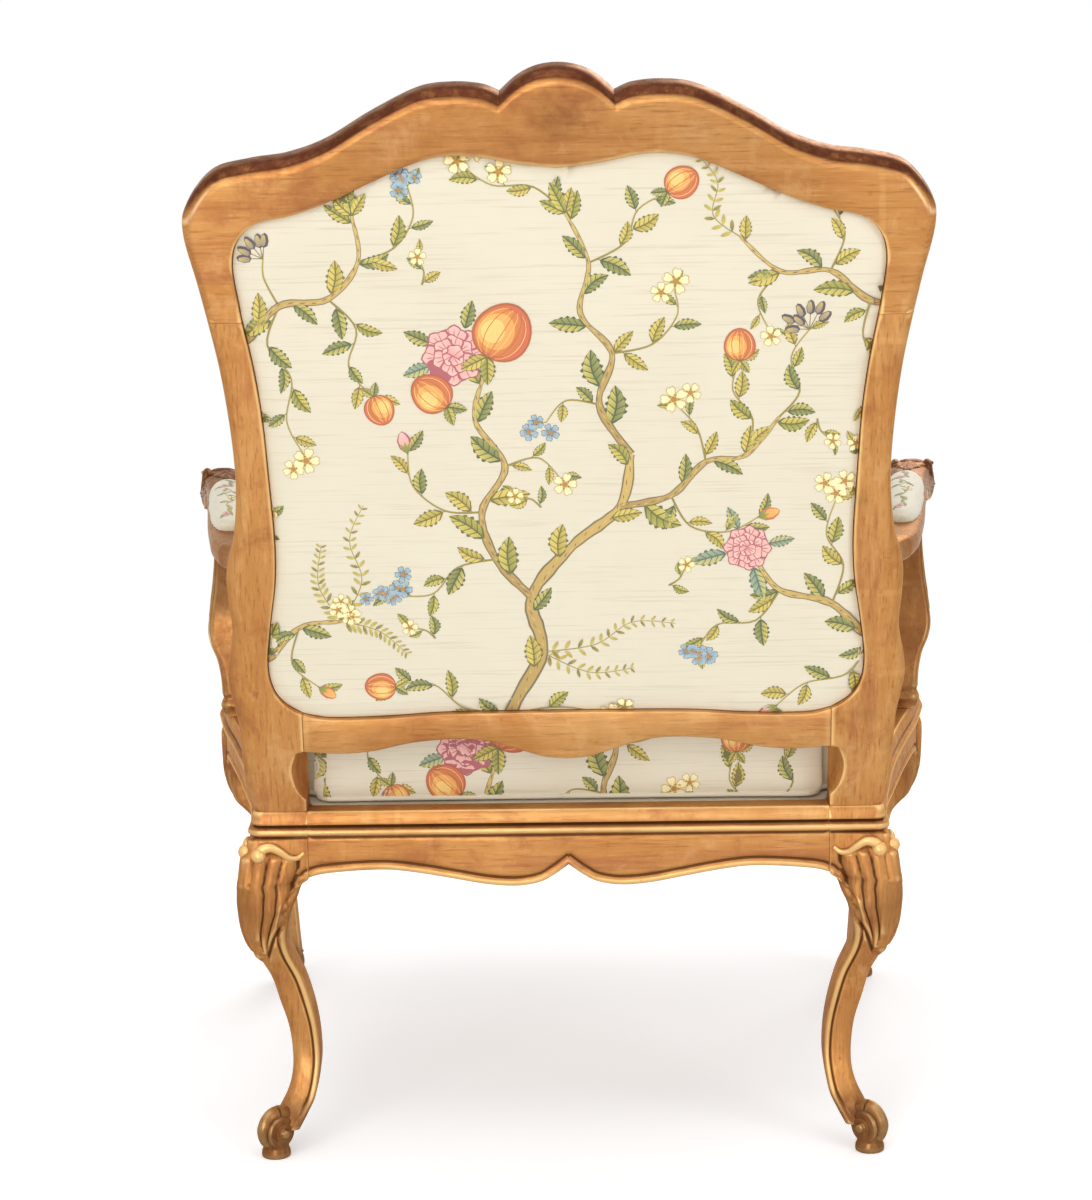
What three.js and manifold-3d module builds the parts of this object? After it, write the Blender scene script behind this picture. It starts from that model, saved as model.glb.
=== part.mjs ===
// A carved giltwood armchair in the Louis XV manner, built as a joiner builds it: two rear posts
// that are leg and stile in one, mortised rails, cabriole front legs, arms on curved supports,
// webbing, stuffing and a loose seat cushion. Millimetres, +Z up, the chair faces -Y.
import * as THREE from "three";
import { mergeVertices } from "three/addons/utils/BufferGeometryUtils.js";
import Module from "manifold-3d";

const wasm = await Module();
wasm.setup();

// Driving dimensions
const FIT = 0.3;
const WELD = 0.003;
const OVERRUN = 3;
const FAR = 900;
const RAIL_TOP = 337;
const RAIL_HEIGHT = 75;
const RAIL_THICKNESS = 38;
const REAR_SPAN = 247;
const POST_WIDTH = 51;
const FRONT_SPAN = 326;
const FRONT_LEG_WIDTH = 52;
const FRONT_LEG_DEPTH = 54;
const SEAT_REAR = 235;
const SEAT_FRONT = -334;
const FRONT_LEG_SETBACK = 16;
const FRONT_BOW = 21;
const BACK_HEIGHT = 714;
const BACK_LEAN = THREE.MathUtils.degToRad(11);
const FRAME_DEPTH = 42;
const LOWER_RAIL_DEPTH = 24;
const BEAD_DROP = 17;
const BEAD_HEIGHT = 7.5;
const BEAD_OUT = 6.5;
const TENON_THICKNESS = 12;
const TENON_LENGTH = 20;
const SIDE_FRONT_TENON_LENGTH = 14;
const SIDE_FRONT_TENON_IN = 23;

// Places that follow from them
const POST_DEPTH = FRAME_DEPTH / Math.cos(BACK_LEAN);
const POST_FRONT = SEAT_REAR - POST_DEPTH;
const REAR_HALF = REAR_SPAN + POST_WIDTH;
const FRONT_HALF = FRONT_SPAN + FRONT_LEG_WIDTH;
const FRONT_LEG_REAR = SEAT_FRONT + FRONT_LEG_SETBACK + FRONT_LEG_DEPTH;
const LEG_HEIGHT = RAIL_TOP - RAIL_HEIGHT;
const SIDE_RUN = POST_FRONT - FRONT_LEG_REAR;

// Finishes
const gilt = { color: 0xc08a45, roughness: 0.42, metalness: 0.55 };
const beech = { color: 0xb48a58, roughness: 0.75, metalness: 0 };
const steel = { color: 0x8f8f92, roughness: 0.4, metalness: 0.9 };
const jute = { color: 0xa98c60, roughness: 0.95, metalness: 0 };
const linen = { color: 0xc9b994, roughness: 0.95, metalness: 0 };
const silk = { color: 0xf0e6cc, roughness: 0.8, metalness: 0 };

const chair = new THREE.Group();

// A closed geometry becomes a solid that can be cut and joined.
function solid(geometry) {
  const bare = geometry.clone();
  bare.deleteAttribute("normal");
  bare.deleteAttribute("uv");
  const merged = mergeVertices(bare, WELD);
  const made = new wasm.Manifold(
    new wasm.Mesh({
      numProp: 3,
      vertProperties: merged.attributes.position.array,
      triVerts: new Uint32Array(merged.index.array),
    }),
  );
  return made;
}

function geometryOf(shape) {
  const mesh = shape.getMesh();
  const geometry = new THREE.BufferGeometry();
  geometry.setAttribute("position", new THREE.BufferAttribute(mesh.vertProperties, 3));
  geometry.setIndex(new THREE.BufferAttribute(mesh.triVerts, 1));
  geometry.computeVertexNormals();
  return geometry;
}

function cutFrom(body, tools) {
  return tools.reduce((rest, tool) => rest.subtract(tool), body);
}

function add(name, shape, finish) {
  const mesh = new THREE.Mesh(geometryOf(shape), new THREE.MeshStandardMaterial(finish));
  mesh.name = name;
  chair.add(mesh);
  return mesh;
}

// Pieces are drawn for the +X side. The other side is the same piece seen in a mirror.
function addPair(name, shape, finish) {
  add(name + "_left", shape, finish).scale.x = -1;
  add(name + "_right", shape, finish);
}

// A closed skin over a stack of rings that hold the same number of points.
function loft(rings) {
  const count = rings[0].length;
  const points = rings.flat();
  const faces = [];
  for (let r = 0; r + 1 < rings.length; r += 1) {
    for (let i = 0; i < count; i += 1) {
      const a = r * count + i;
      const b = r * count + ((i + 1) % count);
      faces.push(a, b, a + count, b, b + count, a + count);
    }
  }
  const last = (rings.length - 1) * count;
  const middle = (ring) => ring.reduce((sum, p) => sum.add(p), new THREE.Vector3()).divideScalar(count);
  points.push(middle(rings[0]), middle(rings[rings.length - 1]));
  for (let i = 0; i < count; i += 1) {
    const next = (i + 1) % count;
    faces.push(points.length - 2, next, i, points.length - 1, last + i, last + next);
  }
  if (volume(points, faces) < 0) faces.reverse();
  const geometry = new THREE.BufferGeometry().setFromPoints(points);
  geometry.setIndex(faces);
  return solid(geometry);
}

function volume(points, faces) {
  let sum = 0;
  for (let i = 0; i < faces.length; i += 3) {
    const [a, b, c] = [points[faces[i]], points[faces[i + 1]], points[faces[i + 2]]];
    sum += a.dot(b.clone().cross(c)) / 6;
  }
  return sum;
}

// A box between two corners, grown on every side by a clearance.
function block(x, y, z, grow = 0) {
  const size = [x, y, z].map(([low, high]) => high - low + 2 * grow);
  const centre = [x, y, z].map(([low, high]) => (low + high) / 2);
  return solid(new THREE.BoxGeometry(...size).translate(...centre));
}

function prism(points, depth, place) {
  const shape = new THREE.Shape(points);
  return solid(new THREE.ExtrudeGeometry(shape, { depth, bevelEnabled: false }).applyMatrix4(place));
}

const vector = (x, y, z) => new THREE.Vector3(x, y, z);
const point = (x, y) => new THREE.Vector2(x, y);
const smooth = (points, steps) => new THREE.SplineCurve(points).getPoints(steps);
const mirrored = (points) => points.map((p) => point(-p.x, p.y)).reverse();

// A full outline from its +X half, whose first and last points lie on the middle line.
const bothSides = (half) => [...half, ...mirrored(half).slice(1, -1)];

// Frames of reference: plan (x, y) going up, rear view (x, z) going forwards, side view (y, z) going
// to +X, and the leaning back (x, distance up the back) going forwards from its rear face.
const planAt = (z) => new THREE.Matrix4().makeTranslation(0, 0, z);
const rearViewAt = (y) =>
  new THREE.Matrix4().makeBasis(vector(1, 0, 0), vector(0, 0, 1), vector(0, -1, 0)).setPosition(0, y, 0);
const sideViewAt = (x) =>
  new THREE.Matrix4().makeBasis(vector(0, 1, 0), vector(0, 0, 1), vector(1, 0, 0)).setPosition(x, 0, 0);
const backAt = (n) => {
  const upBack = vector(0, Math.sin(BACK_LEAN), Math.cos(BACK_LEAN));
  const forwards = vector(0, -Math.cos(BACK_LEAN), Math.sin(BACK_LEAN));
  const start = vector(0, SEAT_REAR, RAIL_TOP).addScaledVector(forwards, n);
  return new THREE.Matrix4().makeBasis(vector(1, 0, 0), upBack, forwards).setPosition(start);
};

// A box drawn on the leaning back.
function backBlock(x, s, n, grow = 0) {
  const corners = [point(x[0] - grow, s[0] - grow), point(x[1] + grow, s[0] - grow)];
  corners.push(point(x[1] + grow, s[1] + grow), point(x[0] - grow, s[1] + grow));
  return prism(corners, n[1] - n[0] + 2 * grow, backAt(n[0] - grow));
}

// Back outlines
// The first share runs 0 to 1 from the middle line to the post's inner face, then 1 to 2 over the
// post's own width. The second is a share of the back's height.
const CREST_TIP_SHARES = [[0, 0.992], [0.081, 0.986], [0.146, 0.974], [0.204, 0.956]];
const CREST_TOP_SHARES = [
  [0.204, 0.956], [0.267, 0.965], [0.372, 0.968], [0.494, 0.962], [0.66, 0.934], [0.826, 0.9], [0.964, 0.883],
  [1.49, 0.876], [2.147, 0.863], [2.608, 0.823], [2.686, 0.787], [2.49, 0.723], [2.353, 0.676],
];
const STILE_OUTER_SHARES = [
  [2.353, 0.676], [2.176, 0.606], [2.049, 0.522], [2.014, 0.452], [2.098, 0.387], [2.265, 0.338],
  [2.265, 0.296], [2.225, 0.249], [2.353, 0.188], [2.206, 0.122], [2.167, 0.067], [2.118, 0.021], [2.02, 0],
];
const OPENING_TOP_SHARES = [
  [0, 0.868], [0.146, 0.874], [0.324, 0.885], [0.474, 0.88], [0.632, 0.858], [0.802, 0.831], [0.947, 0.813],
  [1.373, 0.803], [1.725, 0.781], [1.843, 0.748], [1.765, 0.696], [1.722, 0.676],
];
const OPENING_SIDE_SHARES = [
  [1.722, 0.676], [1.575, 0.616], [1.461, 0.546], [1.402, 0.466], [1.353, 0.385], [1.382, 0.326],
  [1.49, 0.273], [1.588, 0.214], [1.533, 0.179], [1.333, 0.155], [1, 0.139],
];
const OPENING_FOOT_SHARES = [[1, 0.139], [0.899, 0.132], [0.684, 0.133], [0.441, 0.138], [0, 0.139]];
const LOWER_RAIL_FOOT_SHARES = [
  [1, 0.085], [0.862, 0.082], [0.741, 0.085], [0.577, 0.097], [0.405, 0.101], [0.283, 0.096],
  [0.157, 0.082], [0.081, 0.074], [0, 0.071],
];
const SCOOP_SHARES = [[1, 0.085], [1.127, 0.084], [1.235, 0.064], [1.225, 0.046], [1.137, 0.028], [1, 0.016]];
const CREST_JOINT = 0.676 * BACK_HEIGHT;
const REBATE_WIDTH = 10;
const across = (share) => Math.min(share, 1) * REAR_SPAN + Math.max(share - 1, 0) * POST_WIDTH;
const onBack = (shares, steps) => smooth(shares.map(([a, up]) => point(across(a), up * BACK_HEIGHT)), steps);

const openingTop = onBack(OPENING_TOP_SHARES, 22);
const openingSide = onBack(OPENING_SIDE_SHARES, 16);
const openingFoot = onBack(OPENING_FOOT_SHARES, 6);
const openingHalf = [...openingTop, ...openingSide.slice(1), ...openingFoot.slice(1)];
const OPENING_HALF_WIDTH = across(1.843);
const OPENING_LOW = 0.132 * BACK_HEIGHT;
const OPENING_HIGH = 0.885 * BACK_HEIGHT;
const OPENING_MIDDLE = (OPENING_LOW + OPENING_HIGH) / 2;

// The opening's outline, grown or shrunk about its middle by a width at its widest places.
function openingOutline(grow) {
  const wide = 1 + grow / OPENING_HALF_WIDTH;
  const tall = 1 + grow / (OPENING_HIGH - OPENING_MIDDLE);
  const half = openingHalf.map((p) => point(p.x * wide, OPENING_MIDDLE + (p.y - OPENING_MIDDLE) * tall));
  return bothSides(half);
}

// The front rebate that webbing and stuffing sit in. The lower rail is thin enough to lie behind it.
const rebate = prism(openingOutline(REBATE_WIDTH), FRAME_DEPTH, backAt(LOWER_RAIL_DEPTH));

// Crest rail, with a tenon down into each stile
const CREST_TENON_WIDTH = 14;
const CREST_TENON_LENGTH = 28;
const CREST_TENON_BACK = 8;
const crestTenonX = [across(1.85), across(1.85) + CREST_TENON_WIDTH];
const crestTenonS = [CREST_JOINT - CREST_TENON_LENGTH, CREST_JOINT + OVERRUN];
const crestTenonN = [CREST_TENON_BACK, CREST_TENON_BACK + TENON_THICKNESS];

function crestRail() {
  const outer = [...onBack(CREST_TIP_SHARES, 8), ...onBack(CREST_TOP_SHARES, 28).slice(1)];
  outer[outer.length - 1].y = CREST_JOINT + FIT;
  const inner = openingTop.map((p) => p.clone()).reverse();
  inner[0].y = CREST_JOINT + FIT;
  const body = prism(bothSides([...outer, ...inner]), FRAME_DEPTH, backAt(0));
  const tenon = backBlock(crestTenonX, crestTenonS, crestTenonN);
  const mirrorTenon = backBlock(crestTenonX.map((x) => -x).reverse(), crestTenonS, crestTenonN);
  return body.subtract(rebate).add(tenon).add(mirrorTenon);
}

// Lower back rail, thinner than the stiles and flush with them at the rear
const LOWER_TENON_S = [66, 88];
const LOWER_TENON_BACK = 7;
const LOWER_TENON_THICKNESS = 10;
const lowerTenonN = [LOWER_TENON_BACK, LOWER_TENON_BACK + LOWER_TENON_THICKNESS];

function lowerBackRail() {
  const foot = onBack(LOWER_RAIL_FOOT_SHARES, 18).reverse();
  const top = onBack(OPENING_FOOT_SHARES, 6);
  const end = REAR_SPAN - FIT;
  foot[foot.length - 1].x = end;
  top[0].x = end;
  const body = prism(bothSides([...foot, ...top]), LOWER_RAIL_DEPTH, backAt(0));
  const reach = REAR_SPAN + TENON_LENGTH;
  return body.add(backBlock([-reach, reach], LOWER_TENON_S, lowerTenonN));
}

// Tenons of the seat rails
const RAIL_TENON_SHARES = { foot: 0.72, top: 0.24 };
const tenonZ = [RAIL_TENON_SHARES.foot, RAIL_TENON_SHARES.top].map((drop) => RAIL_TOP - drop * RAIL_HEIGHT);
const centred = (middle, width) => [middle - width / 2, middle + width / 2];
const rearTenon = {
  x: [REAR_SPAN - OVERRUN, REAR_SPAN + TENON_LENGTH],
  y: centred(SEAT_REAR - RAIL_THICKNESS / 2, TENON_THICKNESS),
};
const sideRearTenon = {
  x: centred(REAR_HALF - RAIL_THICKNESS / 2, TENON_THICKNESS),
  y: [POST_FRONT - OVERRUN, POST_FRONT + TENON_LENGTH],
};
const sideFrontTenon = {
  x: centred(FRONT_HALF - SIDE_FRONT_TENON_IN, TENON_THICKNESS),
  y: [FRONT_LEG_REAR - SIDE_FRONT_TENON_LENGTH, FRONT_LEG_REAR + OVERRUN],
};
const frontTenon = {
  x: [FRONT_SPAN - OVERRUN, FRONT_SPAN + TENON_LENGTH],
  y: centred(FRONT_LEG_REAR - FRONT_LEG_DEPTH / 2, TENON_THICKNESS),
};
const tenonBlock = (tenon, grow = 0) => block(tenon.x, tenon.y, tenonZ, grow);

// Leg sections
// Each row is a height share, then how far the section's inner and outer sides lie from the joint
// corner, in shares of the top block's width, and the same for its depth.
const REAR_LEG_SHARES = [
  [0.968, 0.22, 1.29, 0.04, 1.22], [0.916, 0.34, 1.28, 0.08, 1.22], [0.821, 0.44, 1.21, 0.12, 1.14],
  [0.744, 0.38, 1.04, 0.08, 0.98], [0.649, 0.19, 0.79, -0.05, 0.79], [0.553, 0.05, 0.65, -0.12, 0.7],
  [0.45, -0.05, 0.5, -0.14, 0.63], [0.344, -0.09, 0.44, -0.1, 0.64], [0.267, -0.06, 0.46, 0.03, 0.77],
  [0.198, 0.01, 0.57, 0.25, 1], [0.153, 0.13, 0.7, 0.49, 1.23], [0.099, 0.29, 0.86, 0.74, 1.42],
];
const FRONT_LEG_SHARES = [
  [0.927, 0.03, 1.05, 0.03, 1.11], [0.87, 0.02, 0.97, 0.01, 1.02], [0.828, -0.02, 0.86, -0.02, 0.92],
  [0.797, -0.06, 0.68, -0.05, 0.8], [0.763, -0.09, 0.52, -0.07, 0.7], [0.71, -0.13, 0.44, -0.09, 0.61],
  [0.649, -0.18, 0.38, -0.12, 0.54], [0.553, -0.27, 0.3, -0.17, 0.47], [0.45, -0.34, 0.22, -0.2, 0.41],
  [0.344, -0.38, 0.16, -0.19, 0.38], [0.267, -0.4, 0.15, -0.13, 0.44], [0.198, -0.41, 0.14, -0.02, 0.56],
  [0.153, -0.41, 0.14, 0.11, 0.7], [0.099, -0.39, 0.14, 0.31, 0.87],
];
// The knee over the top block, as a share of the rail's height down from its top, then how far the
// outer faces swell, in shares of the block.
const REAR_KNEE_SHARES = [[0.35, 1.1, 1.04], [0.62, 1.2, 1.12], [0.95, 1.27, 1.2]];
const FRONT_KNEE_SHARES = [[0.35, 1.05, 1.06], [0.62, 1.1, 1.13], [1, 1.1, 1.16]];
const CORNER_SHARES = { outer: 0.34, side: 0.2, inner: 0.06 };

// One leg section: a rectangle with its corners taken off, most at the outer corner.
function legRing(z, inner, outer, near, far) {
  const width = outer - inner;
  const depth = far - near;
  const ring = [];
  const corner = (x, y, sx, sy, share, turn) => {
    const cut = share * Math.min(width, depth);
    const soft = cut * (1 - Math.SQRT1_2);
    const steps = [[cut, 0], [soft, soft], [0, cut]];
    if (turn) steps.reverse();
    steps.forEach(([a, b]) => ring.push(vector(x - sx * a, y - sy * b, z)));
  };
  corner(inner, near, -1, -1, CORNER_SHARES.inner, true);
  corner(outer, near, 1, -1, CORNER_SHARES.side, false);
  corner(outer, far, 1, 1, CORNER_SHARES.outer, true);
  corner(inner, far, -1, 1, CORNER_SHARES.side, false);
  return ring;
}

// Rings of a leg in its own frame: x outwards and y away from the seat, both from the joint corner.
function legRings(width, depth, kneeShares, legShares, head) {
  const beadTop = RAIL_TOP - BEAD_DROP;
  const beadFoot = beadTop - BEAD_HEIGHT;
  const row = (z, out, far) => legRing(z, 0, out, 0, far);
  const rings = [...head, row(RAIL_TOP, width, depth), row(beadTop + FIT, width, depth)];
  rings.push(row(beadTop, width + BEAD_OUT, depth + BEAD_OUT));
  rings.push(row(beadFoot, width + BEAD_OUT, depth + BEAD_OUT));
  rings.push(row(beadFoot - FIT, width + FIT, depth + FIT));
  kneeShares.forEach(([drop, out, far]) => {
    rings.push(row(RAIL_TOP - drop * RAIL_HEIGHT, out * width, far * depth));
  });
  legShares.forEach(([up, inner, outer, near, far]) => {
    rings.push(legRing(up * LEG_HEIGHT, inner * width, outer * width, near * depth, far * depth));
  });
  return rings;
}

// Scroll foot: a roll across the leg's diagonal, standing on a small round pad.
const ROLL_RADIUS = 15.5;
const ROLL_LENGTH = 28;
const ROLL_HEIGHT = 25;
const PAD_RADIUS = 14;
const ROUND_STEPS = 20;

function scrollFoot(x, y) {
  const roll = new THREE.CylinderGeometry(ROLL_RADIUS, ROLL_RADIUS, ROLL_LENGTH, ROUND_STEPS);
  roll.rotateZ(Math.PI / 2).rotateZ(-Math.PI / 4).translate(x, y, ROLL_HEIGHT);
  const pad = new THREE.CylinderGeometry(PAD_RADIUS, PAD_RADIUS, ROLL_HEIGHT, ROUND_STEPS);
  pad.rotateX(Math.PI / 2).translate(x, y, ROLL_HEIGHT / 2);
  return solid(roll).add(solid(pad));
}

// Turns a leg from its own frame into the chair's.
function placed(shape, x, y, ySign) {
  const geometry = geometryOf(shape);
  geometry.applyMatrix4(new THREE.Matrix4().makeScale(1, ySign, 1).setPosition(x, y, 0));
  if (ySign < 0) geometry.setIndex([...geometry.index.array].reverse());
  return solid(geometry);
}

// Rear post: leg and stile in one piece
const REAR_FOOT_SHARES = { x: 0.74, y: 1.32 };

function stile() {
  const outer = onBack(STILE_OUTER_SHARES, 24);
  outer[0].y = CREST_JOINT;
  const inner = [point(REAR_SPAN, 0), ...openingSide.map((p) => p.clone()).reverse()];
  inner[inner.length - 1].y = CREST_JOINT;
  return prism([...outer, ...inner], FRAME_DEPTH, backAt(0));
}

// The hollow that is scooped out of the stile's rear inner edge, beside the gap above the seat rail.
const SCOOP_DEPTH = 32;
const SCOOP_WIDTH_SHARES = { over: 1.1, floor: 0.08 };

function scoop() {
  const rim = onBack(SCOOP_SHARES, 12);
  const ring = (n, share) => {
    const outline = [...rim, ...rim.slice(1, -1).map((p) => point(REAR_SPAN - OVERRUN, p.y)).reverse()];
    return outline.map((p) => {
      const x = REAR_SPAN + (p.x - REAR_SPAN) * (p.x > REAR_SPAN ? share : 1);
      return vector(x, p.y, 0).applyMatrix4(backAt(n));
    });
  };
  const over = ring(-OVERRUN, SCOOP_WIDTH_SHARES.over);
  return loft([over, ring(0, 1), ring(SCOOP_DEPTH, SCOOP_WIDTH_SHARES.floor)]);
}

function rearPost() {
  const rise = FRAME_DEPTH * Math.sin(BACK_LEAN);
  const shift = rise * Math.tan(BACK_LEAN);
  const head = [legRing(RAIL_TOP + rise, 0, POST_WIDTH, shift, POST_DEPTH + shift)];
  const rings = legRings(POST_WIDTH, POST_DEPTH, REAR_KNEE_SHARES, REAR_LEG_SHARES, head);
  const foot = scrollFoot(REAR_FOOT_SHARES.x * POST_WIDTH, REAR_FOOT_SHARES.y * POST_DEPTH);
  const leg = placed(loft(rings).add(foot), REAR_SPAN, POST_FRONT, 1);
  const mortises = [
    tenonBlock(rearTenon, FIT),
    tenonBlock(sideRearTenon, FIT),
    backBlock([REAR_SPAN - OVERRUN, REAR_SPAN + TENON_LENGTH], LOWER_TENON_S, lowerTenonN, FIT),
    backBlock(crestTenonX, crestTenonS, crestTenonN, FIT),
    backBlock(armTenonX, armTenonS, [FRAME_DEPTH - TENON_LENGTH, FRAME_DEPTH + OVERRUN], FIT),
  ];
  return cutFrom(leg.add(stile()), [rebate, scoop(), ...mortises]);
}

// Front leg
const FRONT_FOOT_SHARES = { x: -0.11, y: 0.68 };

function frontLeg() {
  const rings = legRings(FRONT_LEG_WIDTH, FRONT_LEG_DEPTH, FRONT_KNEE_SHARES, FRONT_LEG_SHARES, []);
  const foot = scrollFoot(FRONT_FOOT_SHARES.x * FRONT_LEG_WIDTH, FRONT_FOOT_SHARES.y * FRONT_LEG_DEPTH);
  const leg = placed(loft(rings).add(foot), FRONT_SPAN, FRONT_LEG_REAR, -1);
  return cutFrom(leg, [tenonBlock(frontTenon, FIT), tenonBlock(sideFrontTenon, FIT)]);
}

// Seat rails
// The side rails' outer face: how far it has come out from the rear post towards the front leg, as
// it runs forwards. The front rail's bow and the rails' lower edges are shares in the same way.
const SIDE_SHARES = [[0, 0], [0.2, 0.13], [0.42, 0.32], [0.64, 0.58], [0.82, 0.82], [1, 1]];
const FRONT_SHARES = [[0, 0], [0.34, 0.19], [0.68, 0.71], [1, 1]];
const REAR_APRON_SHARES = [
  [0, 0.733], [0.057, 0.867], [0.113, 0.96], [0.202, 1.005], [0.312, 0.98], [0.445, 0.9], [0.567, 0.827],
  [0.688, 0.777], [0.81, 0.793], [0.923, 0.865], [1, 0.95],
];
const SIDE_APRON_SHARES = [
  [0, 0.95], [0.08, 0.86], [0.22, 0.79], [0.5, 0.85], [0.78, 0.79], [0.92, 0.86], [1, 0.95],
];
const FRONT_APRON_SHARES = [
  [0, 1.22], [0.1, 1.16], [0.2, 0.98], [0.4, 0.88], [0.62, 0.8], [0.82, 0.79], [0.93, 0.86], [1, 0.95],
];
const WELL_DEPTH = 14;
const WELL_LEDGE = 14;

// Points of the side rails' face moved in by a distance, from the rear to the front.
const sideFace = (inset) => {
  const along = SIDE_SHARES.map(([t, out]) =>
    point(REAR_HALF + out * (FRONT_HALF - REAR_HALF), POST_FRONT - t * SIDE_RUN));
  return smooth(along, 16).map((p) => point(p.x - inset, p.y));
};

// Points of the front rail's face moved in by a distance, from the middle to the leg.
const frontFace = (inset) => {
  const along = FRONT_SHARES.map(([t, back]) => point(t * FRONT_SPAN, SEAT_FRONT + back * FRONT_BOW));
  return smooth(along, 12).map((p) => point(p.x, p.y + inset));
};

// A line's points with its two ends drawn in along the line, for the gap at the shoulders.
function shouldered(points, axis) {
  const ends = points.map((p) => p.clone());
  const sign = Math.sign(ends[ends.length - 1][axis] - ends[0][axis]);
  ends[0][axis] += sign * FIT;
  ends[ends.length - 1][axis] -= sign * FIT;
  return ends;
}

// The well in the rails' top that the seat's webbing is fixed in, seen in plan.
function wellOutline(inset) {
  const ledge = RAIL_THICKNESS - WELL_LEDGE + inset;
  const sides = sideFace(ledge);
  const front = frontFace(ledge).reverse();
  const rear = SEAT_REAR - ledge;
  return bothSides([point(0, rear), point(sides[0].x, rear), ...sides, ...front]);
}
const well = prism(wellOutline(0), WELL_DEPTH + OVERRUN, planAt(RAIL_TOP - WELL_DEPTH));

// The bead along a rail, from the plan of its face.
function bead(outline) {
  return prism(outline, BEAD_HEIGHT, planAt(RAIL_TOP - BEAD_DROP - BEAD_HEIGHT));
}

function rearSeatRail() {
  const end = REAR_SPAN - FIT;
  const apron = smooth(
    REAR_APRON_SHARES.map(([x, drop]) => point(x * end, RAIL_TOP - drop * RAIL_HEIGHT)), 26,
  );
  const half = [...apron, point(end, RAIL_TOP), point(0, RAIL_TOP)];
  const body = prism(bothSides(half), RAIL_THICKNESS, rearViewAt(SEAT_REAR));
  const beadY = [SEAT_REAR - OVERRUN, SEAT_REAR + BEAD_OUT];
  const beadPlan = [point(-end, beadY[0]), point(end, beadY[0]), point(end, beadY[1]), point(-end, beadY[1])];
  const tenons = block([-rearTenon.x[1], rearTenon.x[1]], rearTenon.y, tenonZ);
  return cutFrom(body.add(bead(beadPlan)).add(tenons), [well, ...blockScrewHoles]);
}

function sideSeatRail() {
  const outer = shouldered(sideFace(0), "y");
  const inner = shouldered(sideFace(RAIL_THICKNESS), "y").reverse();
  const lip = shouldered(sideFace(-BEAD_OUT), "y");
  const plan = prism([...outer, ...inner], RAIL_TOP, planAt(0));
  const beadStrip = bead([...lip, ...shouldered(sideFace(OVERRUN), "y").reverse()]);
  const apron = smooth(
    SIDE_APRON_SHARES.map(([t, drop]) => point(POST_FRONT - t * SIDE_RUN, RAIL_TOP - drop * RAIL_HEIGHT)), 24,
  );
  const side = [...apron, point(FRONT_LEG_REAR, RAIL_TOP), point(POST_FRONT, RAIL_TOP)];
  const body = plan.intersect(prism(side, FAR, sideViewAt(0)));
  const railed = body.add(beadStrip).add(tenonBlock(sideRearTenon)).add(tenonBlock(sideFrontTenon));
  const holes = [well, supportTenon(FIT), supportScrewHole, ...blockScrewHoles];
  return cutFrom(railed, holes);
}

function frontSeatRail() {
  const end = FRONT_SPAN - FIT;
  const trim = (points) => points.map((p) => point(Math.min(p.x, end), p.y));
  const plan = prism(
    bothSides([...trim(frontFace(0)), ...trim(frontFace(RAIL_THICKNESS)).reverse()]), RAIL_TOP, planAt(0),
  );
  const apron = smooth(
    FRONT_APRON_SHARES.map(([x, drop]) => point(x * end, RAIL_TOP - drop * RAIL_HEIGHT)), 26,
  );
  const half = [...apron, point(end, RAIL_TOP), point(0, RAIL_TOP)];
  const body = plan.intersect(prism(bothSides(half), FAR, rearViewAt(0)));
  const strip = bead(bothSides([...trim(frontFace(-BEAD_OUT)), ...trim(frontFace(OVERRUN)).reverse()]));
  const tenons = block([-frontTenon.x[1], frontTenon.x[1]], frontTenon.y, tenonZ);
  return cutFrom(body.add(strip).add(tenons), [well, ...blockScrewHoles]);
}

// Corner blocks
// Each fills the corner between two rails, behind the leg, and is screwed to both.
const BLOCK_HEIGHT = 58;
const REAR_BLOCK_REACH = 36;
const FRONT_BLOCK_REACH = 80;
const BLOCK_RUN = 66;
const REAR_SCREW_IN = 15;
const FRONT_SCREW_IN = 38;
const SIDE_SCREW_IN = 24;
const BLOCK_DROP = 1.2;
const blockTop = RAIL_TOP - WELL_DEPTH - BLOCK_DROP;
const innerFace = RAIL_THICKNESS + FIT;

function cornerBlock(outline) {
  const body = prism(outline, BLOCK_HEIGHT, planAt(blockTop - BLOCK_HEIGHT));
  return cutFrom(body, blockScrewHoles);
}

function rearBlockOutline() {
  const y = SEAT_REAR - innerFace;
  const notch = point(REAR_SPAN - FIT, POST_FRONT - FIT);
  const side = sideFace(innerFace).filter((p) => p.y > POST_FRONT - BLOCK_RUN);
  side[0].y = notch.y;
  return [point(REAR_SPAN - REAR_BLOCK_REACH, y), point(notch.x, y), notch, ...side];
}

function frontBlockOutline() {
  const notch = point(FRONT_SPAN - FIT, FRONT_LEG_REAR + FIT);
  const front = frontFace(innerFace).filter((p) => p.x > FRONT_SPAN - FRONT_BLOCK_REACH);
  front[front.length - 1].x = notch.x;
  const side = sideFace(innerFace).filter((p) => p.y < FRONT_LEG_REAR + BLOCK_RUN).reverse();
  side[0].y = notch.y;
  return [...front, notch, ...side];
}

// A wood screw along +Z from its point at the origin, and the hole it stands in.
const SCREW_LENGTH = 34;
const SCREW_RADIUS = 2.2;
const SCREW_HEAD_RADIUS = 4.2;
const SCREW_HEAD = 3;
const SCREW_TIP_RADIUS = 0.75;
const SCREW_TAPER = 4.5;
const SCREW_POCKET = 30;

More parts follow.
